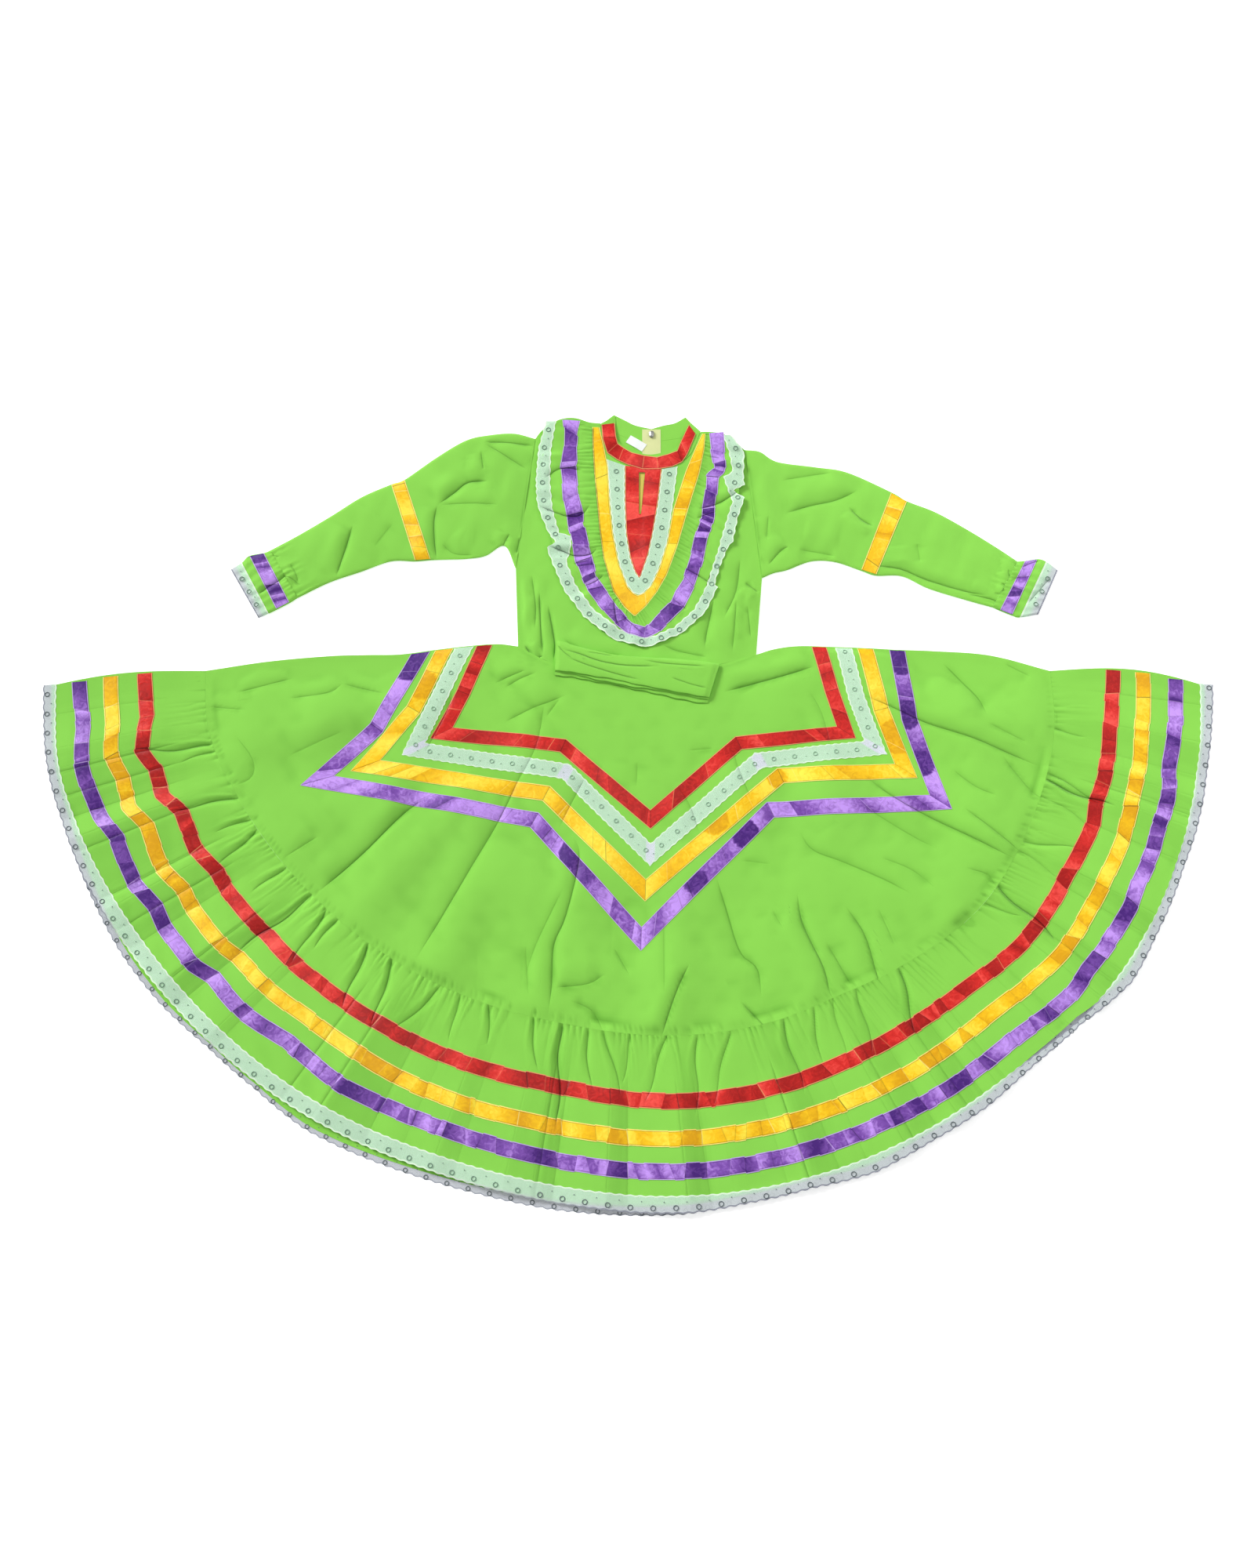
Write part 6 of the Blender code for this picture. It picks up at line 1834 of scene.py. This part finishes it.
def star_lace():
    """The tape is doubled at each sharp corner, and only bends at the others."""
    corners = plan_line(STAR, "lace")
    ahead = np.diff(corners, axis=0)
    outer, inner = corners, mitred(corners, STAR_WIDTHS["lace"])
    tuck_ends((outer, inner))
    heading = np.unwrap(np.arctan2(ahead[:, 1], ahead[:, 0]))
    smooth = np.concatenate([[True], np.abs(np.diff(heading)) < SHARP_TURN, [True]])
    plans, doubles = [], []
    for k in range(len(ahead)):
        plan, double = lace_leg(outer[k:k + 2], inner[k:k + 2], smooth[k], smooth[k + 1])
        first = min(k, 1)      # a leg's first column is the last of the leg before
        plans.append(plan[:, first:])
        doubles.append(double[first:])
    grid = lay_on([ON_SKIRT], np.concatenate(plans, axis=1), CLEAR)
    masks = {"rim": rim_distance(grid), "double": np.concatenate(doubles),
             **fold_masks(grid, SKIRT_CREASES, 5.0)}
    keep(sheet_wall("dress_star_lace", grid, NET, LACE, masks=masks), "lace_white", "star_lace")
    return grid


star_band("violet", VIOLET, "satin_violet", "star_violet_ribbon", 61, 0.56, 0.98, 40)
star_band("yellow", YELLOW, "satin_yellow", "star_yellow_ribbon", 62, 0.48, 0.92, 50)
STAR_LACE_GRID = star_lace()
star_band("red", RED, "satin_red", "star_red_ribbon", 64, 0.18, 0.62, 48)
print("star trims laid")

# %% [markdown]
# Now the flounce itself is made from that height. Its rows crowd together near the
# seam, where the gathers are finest, and its weave runs along the strip.

# %% Flounce
HEM_AT = 840.0             # radius where lengths round the hem are read
ROWS_AT = 740.0            # and round the middle of the flounce


def front_hem(angle):
    """The cotton ends halfway under its lace."""
    return np.minimum(hem_radius("edge", angle) - HEM_OVERHANG, hem_radius("lace", angle) + 11)


def flounce_folds():
    """Pleats, pressed lines and the facets' edges, as creases on the plan."""
    made = []
    for pleat in PLEATS:
        past = np.linspace(-0.1, 1.2, 12) * pleat.reach
        angle = pleat_line(pleat, past)
        made.append(Crease(0.85 * pleat.depth, 4.0, polar(angle, hem_radius("seam", angle) + past)))
    edges = [(angle, 0.8, 30) for angle in PRESSED]
    for before, facet in zip(FACETS, FACETS[1:]):
        edges.append((facet.angle, 0.8 * abs(facet.tilt - before.tilt), 45))
    for angle, depth, first in edges:
        past = np.linspace(first, FLOUNCE_DEEP + 30, 6)
        made.append(Crease(depth, 5.0, polar(np.full(6, angle), hem_radius("seam", angle) + past)))
    return made


FLOUNCE_FOLDS = flounce_folds()
share, out = grid_of(42, 1041)
angle = mix(LEFT_FOLD, RIGHT_FOLD, share)
seam, hem = past_seam(angle), front_hem(angle)
fan = 0.45 * out + 0.55 * out ** 1.6
past = fan * (hem - seam)
z, lines = flounce_under(share, past)
grid = with_height(flounce_plan(share, seam, hem, fan), z)
# Facets that lean away from the light are painted darker, as painted shade.
away = sum(facet_tilt(angle + turn) for turn in (-0.8, -0.4, 0.0, 0.4, 0.8)) / 5
away = 0.42 * np.clip(0.5 - away, 0, 1) * ease(past / 60)
along_strip = np.stack([-np.radians(angle) * ROWS_AT, past], axis=-1)
masks = {"painted_shade": np.clip(painted_shade_mask(grid, lines) + away, 0, 1), **fold_masks(grid, FLOUNCE_FOLDS, 6.0)}
keep(sheet_wall("dress_flounce_front", grid, COTTON, GREEN, uv=along_strip, masks=masks),
     "cotton_green", "flounce_front")
ON_FLOUNCE = surface_of(grid + (0, 0, COTTON))
print("flounce:", grid.shape)

# %% [markdown]
# ## Ribbon rows on the flounce
# Each row was sewn on before the cloth was folded, so at every fold it steps in or
# out a little. The step comes from a table, and the painted sheen of each patch
# from the facet that it lies on.

# %% Ribbon rows
ROW_WIDTH = 22.0
STEPS = table("angle red yellow violet", (
    (5.0, -2, -8, -6), (10.0, -6, -8, -5), (12.5, -7, -9, -7), (15.0, -5, -5, -8), (18.7, -4, -6, -1),
    (22.3, -6, -4, -5), (24.4, 0, -1, -2), (28.0, -3, -3, -5), (31.0, -5, -3, -2), (38.7, -3, -1, -7),
    (42.0, -3, -3, -2), (48.0, -3, -3, -5), (57.0, -2, 0, 0), (62.0, -2, -1, -1), (115.0, -2, -1, -1),
    (120.0, -3, -4, 0), (127.5, -3, -7, -12), (133.0, -2, -4, -6), (137.8, -4, -7, -12),
    (140.0, -2, -2, -3), (145.3, -3, -4, -4), (147.4, -8, -10, -10), (151.0, -2, -3, -4),
    (156.2, -14, -14, -13), (159.0, -2, -2, -5), (162.4, -10, -8, -3), (165.0, 0, 0, -3),
    (169.0, -13, -8, -12), (174.1, -6, -7, -7)))


def facet_folds(angles, arc, seed, sheen_drop):
    """The facets' edges as folds of a ribbon, and finer folds between them."""
    rng = np.random.default_rng(seed)
    edges = np.interp(-column(FACETS, "angle")[::-1], -angles, arc)
    tilts = np.concatenate([[0.5], column(FACETS, "tilt")])[::-1]
    folds = []
    for k, at in enumerate(edges):
        if at < END_ROOM or at > arc[-1] - END_ROOM:
            continue
        fresh = np.clip(tilts[k + 1] + rng.uniform(-0.1, 0.1) - sheen_drop, 0, 1)
        folds.append(Fold(at, rng.uniform(-10, 10), fresh, rng.choice([-0.8, -0.3, 0.0, 0.3, 0.8])))
        stop = edges[k + 1] if k + 1 < len(edges) else arc[-1]
        at += rng.uniform(10, 34)
        while at < min(stop, arc[-1]) - 6:
            fresh = np.clip(tilts[k + 1] + rng.uniform(-0.25, 0.25) - sheen_drop, 0, 1)
            folds.append(Fold(at, rng.uniform(-8, 8), fresh, rng.choice([-0.3, 0.0, 0.0, 0.2])))
            at += rng.uniform(12, 38)
    return folds


def flounce_ribbon(name, material, seed, sheen_drop=0.0):
    out = (getattr(HEM[0], name) - HEM[0].seam) / FLOUNCE_DEEP + 0.05
    angle = flounce_angle(np.linspace(0.0015, 0.9985, 1100), out)
    step = np.interp(angle, column(STEPS, "angle"), column(STEPS, name))
    inner = hem_radius(name, angle) + step
    line_a, line_b = polar(angle, inner), polar(angle, inner + ROW_WIDTH)
    folds = facet_folds(angle, length_along((line_a + line_b) / 2), seed, sheen_drop)
    ribbon = folded_ribbon("dress_flounce_" + name, line_a, line_b, folds, [ON_FLOUNCE], material, 0.3,
                           step=0.7, under=FLOUNCE_FOLDS)
    keep(ribbon, "satin_" + name, "flounce_" + name + "_ribbon")
    print("flounce ribbon", name, len(folds), "folds")


# The red row's painted sheen is dropped a little, so that it reads darker.
flounce_ribbon("red", RED, 81, 0.2)
flounce_ribbon("yellow", YELLOW, 82)
flounce_ribbon("violet", VIOLET, 83)

# %% [markdown]
# Lace ends both halves of the hem. The front's lies on the flounce and hangs past
# it, and the back's lies on the floor and shows a little on the lower left.

# %% Hem lace
HEM_WAVE = 14              # from one wave of the lace's edge to the next, in mm
FRONT_WIDEST = 24
BACK_WIDTH = 20


def hem_lace(name, past_edge, laid, material):
    share = np.linspace(0, 1, 1100)
    angle = flounce_angle(share, 0.95)
    wave = 0.5 - 0.5 * np.cos(-np.radians(angle) * HEM_AT * math.tau / HEM_WAVE)
    edge = hem_radius("edge", angle) + past_edge(share)
    if laid:
        edge = np.minimum(edge, hem_radius("lace", angle) + FRONT_WIDEST) - 1.4 * wave
        inner = hem_radius("lace", angle) + 1.2 * wave
    else:
        edge = edge - 1.8 * wave
        inner = edge - BACK_WIDTH
    plan = strip(polar(angle, inner), polar(angle, edge), 8 if laid else 5)
    from_centre = np.linalg.norm(plan, axis=-1)
    z = np.full(plan.shape[:2], 0.1)
    masks = {}
    if laid:
        past = from_centre - hem_radius("seam", angle)
        z = flounce_under(share * np.ones_like(past), past)[0] + COTTON + CLEAR
        masks["free"] = ease((from_centre - back_hem(share) + 4) / 6)
    grid = with_height(plan, z)
    masks["rim"] = rim_distance(grid)
    keep(sheet_wall("dress_" + name, grid, NET, material, masks=masks), "lace_white", name)
    return grid


HEM_LACE_FRONT = hem_lace("hem_lace_front", np.zeros_like, True, LACE)
HEM_LACE_BACK = hem_lace("hem_lace_back", peep, False, SHADED_LACE)
print("flounce trims laid")

# %% [markdown]
# ## Sash
# The sash is one long strip folded into a bundle and laid on the waist. Its inner
# layers don't show, so it is one soft solid whose lower edge has the lips of three
# layers, with the long folds of its top drawn along it.

# %% Sash
SASH_AT = 4.45                 # height of its underside, on the bodice and the skirt
LIP_LEVELS = (2.5, 4.9)        # heights of the dark gaps between the layers
at_ring = np.linspace(0, len(SASH_SECTION) - 1, 77)
across, height = (flowing_rows(at_ring, column(SASH_SECTION, name)) for name in ("across", "height"))
at = np.linspace(0, len(SASH) - 1, 110)
top, low = stations(SASH, at)
fan = (0.03 * np.sin(at * 1.7) + 0.012 * np.sin(at * 7.3 + 1))[:, None] * np.clip(1 - across * 3, 0, 1)
parted = 0.05 * np.sin(at * 1.15 + 1.2)[:, None] * np.exp(-((height - 3.8) / 1.0) ** 2)
plan = mix(low[:, None], top[:, None], (across + (fan + parted))[..., None])
rise = height * flowing_rows(at, column(SASH, "thick"))[:, None]
folds = 0.12 * np.sin(across * 9 + at[:, None] * 0.9) + 0.25 * np.sin(across * 5 - at[:, None] * 0.8 + 1)
z = SASH_AT + rise + folds * np.clip((height - 4) / 2, 0, 1)
ends = np.minimum(at, at[::-1])
z = mix(SASH_AT + rise * 0.72, z, ease(ends / 0.25)[:, None])
sash = solid_loft("dress_sash", with_height(plan, z), GREEN)
# The dark gaps between the layers are painted shade, through the mask below.
lips = sum(np.exp(-((height - level) / 0.2) ** 2) for level in LIP_LEVELS) * (across < 0.5)
wander = 0.8 + 0.2 * np.sin(at * 2.3)[:, None]
paint_mask(sash, "painted_shade", np.clip(lips * wander, 0, 1))
for name, values in fold_masks(plan, SASH_CREASES, 4.0).items():
    paint_mask(sash, name, np.where(height > 4.0, values, 0))
keep(sash, "cotton_green", "sash")
print("sash laid")

# %% [markdown]
# ## Rings and dots in the lace
# Every 30 mm, or 24 mm on the frills, the lace has a small worked ring, with a dot
# halfway to the next. Geometry Nodes copy one ring and one dot onto points along
# the tape, turned to face the way that the cloth faces there.

# %% Rings and dots
def scatter_tree():
    tree = bpy.data.node_groups.new("worked motifs", "GeometryNodeTree")
    sockets = {}
    for title, kind, value in (("Points", "Geometry", None), ("Ring radius", "Float", 0.0034),
                               ("Thread radius", "Float", 0.0006), ("Dot radius", "Float", 0.0008),
                               ("Material", "Material", None)):
        socket = tree.interface.new_socket(title, in_out="INPUT", socket_type="NodeSocket" + kind)
        sockets[title] = socket.identifier
        if value is not None:
            socket.default_value = value
    tree.interface.new_socket("Geometry", in_out="OUTPUT", socket_type="NodeSocketGeometry")

    def made(kind, inputs=None, **settings):
        return node(tree, kind, inputs, **settings).outputs[0]

    given = node(tree, "NodeGroupInput").outputs
    out = node(tree, "NodeGroupOutput").inputs
    path = made("GeometryNodeCurvePrimitiveCircle", {"Resolution": 14, "Radius": given["Ring radius"]})
    thread = made("GeometryNodeCurvePrimitiveCircle", {"Resolution": 4, "Radius": given["Thread radius"]})
    ring = made("GeometryNodeCurveToMesh", {"Curve": path, "Profile Curve": thread})
    dot = made("GeometryNodeMeshIcoSphere", {"Radius": given["Dot radius"], "Subdivisions": 1})
    facing = made("GeometryNodeInputNamedAttribute", {"Name": "facing"}, data_type="FLOAT_VECTOR")
    is_ring = made("GeometryNodeInputNamedAttribute", {"Name": "is_ring"}, data_type="BOOLEAN")
    is_dot = made("FunctionNodeBooleanMath", {0: is_ring}, operation="NOT")
    turn = made("FunctionNodeAlignRotationToVector", {"Vector": facing}, axis="Z")
    both = node(tree, "GeometryNodeJoinGeometry")
    for chosen, shape in ((is_ring, ring), (is_dot, dot)):
        copies = made("GeometryNodeInstanceOnPoints", {
            "Points": given["Points"], "Selection": chosen, "Instance": shape, "Rotation": turn})
        tree.links.new(copies, both.inputs[0])
    real = made("GeometryNodeRealizeInstances", {0: both.outputs[0]})
    painted = made("GeometryNodeSetMaterial", {"Geometry": real, "Material": given["Material"]})
    tree.links.new(painted, out[0])
    return tree, sockets


MOTIFS, MOTIF_INPUTS = scatter_tree()


def motif_points(grid, spacing, ring_across, dot_across, start=0.0):
    """Places along a tape's grid, with the way that the cloth faces there."""
    rows = grid.shape[0] - 1
    arc = length_along(grid[rows // 2])
    places = []
    for share, is_ring in ((ring_across, True), (dot_across, False)):
        first = start + (spacing / 2 if is_ring else spacing)
        row = share * rows
        low = int(min(row, rows - 1))
        track = mix(grid[low], grid[low + 1], row - low)
        for s in np.arange(first, arc[-1] - END_ROOM, spacing):
            i = min(max(int(np.searchsorted(arc, s)), 1), len(arc) - 2)
            facing = np.cross(track[i + 1] - track[i - 1], grid[-1, i] - grid[0, i])
            facing *= np.sign(facing[2]) / np.linalg.norm(facing)
            places.append((straight(s, arc, track) + facing * (NET + 0.5), facing, is_ring))
    return places


def motif_piece(name, places, ring_radius=0.0032, thread=PALE_THREAD):
    mesh = bpy.data.meshes.new(name + "_points")
    mesh.from_pydata([tuple(p[0] * MM) for p in places], [], [])
    facing = mesh.attributes.new("facing", "FLOAT_VECTOR", "POINT")
    facing.data.foreach_set("vector", np.array([p[1] for p in places], np.float32).ravel())
    kind = mesh.attributes.new("is_ring", "BOOLEAN", "POINT")
    kind.data.foreach_set("value", [p[2] for p in places])
    carrier = add_object(name + "_points", mesh)
    modifier = carrier.modifiers.new("motifs", "NODES")
    modifier.node_group = MOTIFS
    modifier[MOTIF_INPUTS["Ring radius"]] = ring_radius
    modifier[MOTIF_INPUTS["Material"]] = thread
    made = settled(carrier)
    bpy.data.objects.remove(carrier)
    made.name = name
    made.shade_smooth()
    keep(add_object(name, made), "lace_white")
    print(name, len(places), "motifs,", len(made.polygons), "faces")


RINGS_EVERY = 30
FRILL_RINGS_EVERY = 24


def on_back_cotton(place):
    """Low on the left, the back's cotton lies under the front's hem lace."""
    return place[0][0] < -120 and place[0][1] < -420


motif_piece("star_lace_motifs", motif_points(STAR_LACE_GRID, RINGS_EVERY, 0.5, 0.42), 0.0028, FAINT_THREAD)
motif_piece("bib_lace_motifs", motif_points(BIB_LACE_GRID, RINGS_EVERY, 0.5, 0.5))
motif_piece("ruffle_lace_motifs", motif_points(RUFFLE_LACE_GRID, RINGS_EVERY, 0.55, 0.4))
# Where the hem lace hangs past the cloth its rings take the darkest thread, partly as painted shade; over the
# back's cotton they take the pale one.
hem_places = motif_points(HEM_LACE_FRONT, RINGS_EVERY, 0.70, 0.36)
motif_piece("hem_motifs_over_cotton", [p for p in hem_places if on_back_cotton(p)], 0.0030)
motif_piece("hem_front_motifs", [p for p in hem_places if not on_back_cotton(p)], 0.0032, THREAD)
motif_piece("hem_back_motifs", motif_points(HEM_LACE_BACK, RINGS_EVERY, 0.80, 0.5, 12.0), 0.0027, THREAD)
for side, grid in FRILL_LACE_GRIDS.items():
    motif_piece("frill_motifs_" + side, motif_points(grid[:, 8:-8], FRILL_RINGS_EVERY, 0.6, 0.4))

# %% [markdown]
# ## The cuts of the cloth
# Each sheet is listed with the size that it was cut to, so that the dress could
# be made again. Gathered strips were cut longer than the seam that they are sewn to.

# %% Cuts
CUTS = table("piece wide long area held rests_on", (
    ("skirt_back", 1.230, 0.620, 0.560, "laid", "floor"),
    ("bodice_back_left", 0.230, 0.410, 0.075, "laid", "floor"),
    ("bodice_back_right", 0.180, 0.410, 0.058, "laid", "floor"),
    ("collar_back_left", 0.028, 0.075, 0.0018, "laid", "floor"),
    ("collar_back_right", 0.028, 0.075, 0.0018, "laid", "floor"),
    ("flounce_back", 0.235, 2.560, None, "gathered", "floor"),
    ("bodice_front", 0.400, 0.410, 0.128, "draped", "dress_bodice_back_left dress_bodice_back_right"),
    ("collar_front", 0.028, 0.190, 0.0049, "draped", "dress_bodice_front"),
    ("collar_ribbon", 0.021, 0.200, None, "laid", "dress_collar_front dress_bodice_front"),
    ("zip_tape", 0.028, 0.462, None, "laid", "dress_bodice_back_left dress_bodice_back_right"),
    ("neck_label", 0.014, 0.029, None, "laid", "dress_bodice_back_left"),
    ("slit_facing", 0.019, 0.094, 0.0016, "laid", "dress_bodice_back_left"),
    ("bib_yellow", 0.023, 0.480, None, "laid", "dress_bodice_front"),
    ("bib_panel", 0.046, 0.168, 0.0064, "laid", "dress_bodice_front"),
    ("bib_lace", 0.022, 0.415, None, "laid", "dress_bodice_front"),
    ("bib_ruffle", 0.066, 0.950, None, "gathered", "dress_bodice_front"),
    ("bib_violet", 0.023, 0.730, None, "laid", "dress_bib_ruffle"),
    ("bib_lace_edge", 0.020, 0.770, None, "laid", "dress_bib_ruffle"),
    ("sleeve_left", 0.370, 0.430, 0.110, "draped", "floor"),
    ("sleeve_band_left", 0.023, 0.135, None, "laid", "dress_sleeve_left"),
    ("sleeve_right", 0.370, 0.430, 0.110, "draped", "floor"),
    ("sleeve_band_right", 0.023, 0.150, None, "laid", "dress_sleeve_right"),
    ("frill_left", 0.045, 0.240, None, "gathered", "floor"),
    ("frill_lace_left", 0.018, 0.190, None, "gathered", "dress_frill_left floor"),
    ("frill_ribbon_left", 0.023, 0.092, None, "laid", "dress_frill_left"),
    ("frill_right", 0.042, 0.220, None, "gathered", "floor"),
    ("frill_lace_right", 0.020, 0.210, None, "gathered", "dress_frill_right floor"),
    ("frill_ribbon_right", 0.023, 0.075, None, "laid", "dress_frill_right"),
    ("skirt_front", 1.230, 0.620, 0.560, "draped", "dress_skirt_back"),
    ("star_violet", 0.023, 1.560, None, "laid", "dress_skirt_front"),
    ("star_yellow", 0.023, 1.330, None, "laid", "dress_skirt_front"),
    ("star_lace", 0.025, 1.120, None, "laid", "dress_skirt_front"),
    ("star_red", 0.021, 0.970, None, "laid", "dress_skirt_front"),
    ("flounce_front", 0.235, 2.560, None, "gathered", "dress_flounce_back"),
    ("flounce_red", 0.022, 2.100, None, "laid", "dress_flounce_front"),
    ("flounce_yellow", 0.022, 2.250, None, "laid", "dress_flounce_front"),
    ("flounce_violet", 0.022, 2.380, None, "laid", "dress_flounce_front"),
    ("hem_lace_front", 0.020, 2.480, None, "laid", "dress_flounce_front"),
    ("hem_lace_back", 0.020, 2.500, None, "laid", "floor"),
    ("sash", 0.055, 0.235, None, "folded", "dress_bodice_front dress_skirt_front")))
print("cuts:", len(CUTS), "sheets of cloth")

# %% [markdown]
# ## Floor, light and camera
# The dress was photographed from nearly straight above, in broad soft light from
# the upper left. One large lamp gives the folds their direction and the pale
# surroundings fill the shadows.

# %% Stage
floor_mesh = bpy.data.meshes.new("floor")
floor_mesh.from_pydata([(-4, -4, 0), (4, -4, 0), (4, 4, 0), (-4, 4, 0)], [], [(0, 1, 2, 3)])
floor = add_object("floor", floor_mesh)
paper, tree, shader = new_material("studio_paper", Roughness=0.9, Emission_Strength=0.45)
base_colour_with_drift(tree, shader, (0.93, 0.93, 0.93, 1), 0.01, 2.0)
shader.inputs["Emission Color"].default_value = (1, 1, 1, 1)
floor_mesh.materials.append(paper)


def lamp(name, kind, place, aim, energy, **settings):
    data = bpy.data.lights.new(name, kind)
    data.energy = energy
    for key, value in settings.items():
        setattr(data, key, value)
    made = add_object(name, data)
    made.location = place
    made.rotation_euler = (Vector(aim) - Vector(place)).to_track_quat("-Z", "Y").to_euler()


# The two far lamps are even over the whole dress
lamp("window", "SUN", (-2.4, 1.8, 1.55), (0, 0, 0), 3.35, angle=math.radians(20))
lamp("overhead", "SUN", (0.9, -0.2, 3.0), (0, 0, 0), 0.55, angle=math.radians(90))
lamp("side window", "AREA", (1.5, 1.0, 1.5), (0.6, 0.1, 0), 9.0, size=1.2)
world = bpy.data.worlds.new("studio")
bpy.context.scene.world = world
world.use_nodes = True
world.node_tree.nodes["Background"].inputs["Color"].default_value = (1, 1, 1, 1)
world.node_tree.nodes["Background"].inputs["Strength"].default_value = 0.33
bpy.context.scene.view_settings.view_transform = "Standard"

camera_data = bpy.data.cameras.new("camera")
camera_data.lens = 40.68
camera_data.sensor_width = 36
camera_data.dof.use_dof = False
camera = add_object("camera", camera_data)
camera.location = (-0.0011, -1.0141, 2.397)
camera.rotation_euler = (math.radians(18), 0, 0)
bpy.context.scene.camera = camera

# %% [markdown]
# ## Measure and finish
# The pieces' triangles are counted, and the largest pieces are listed.


for piece in PIECES:
    piece.data.calc_loop_triangles()
triangles = {piece.name: len(piece.data.loop_triangles) for piece in PIECES}
print("triangles:", sum(triangles.values()), "in", len(triangles), "pieces")
for name in sorted(triangles, key=triangles.get)[-24:]:
    print("  ", name, triangles[name])
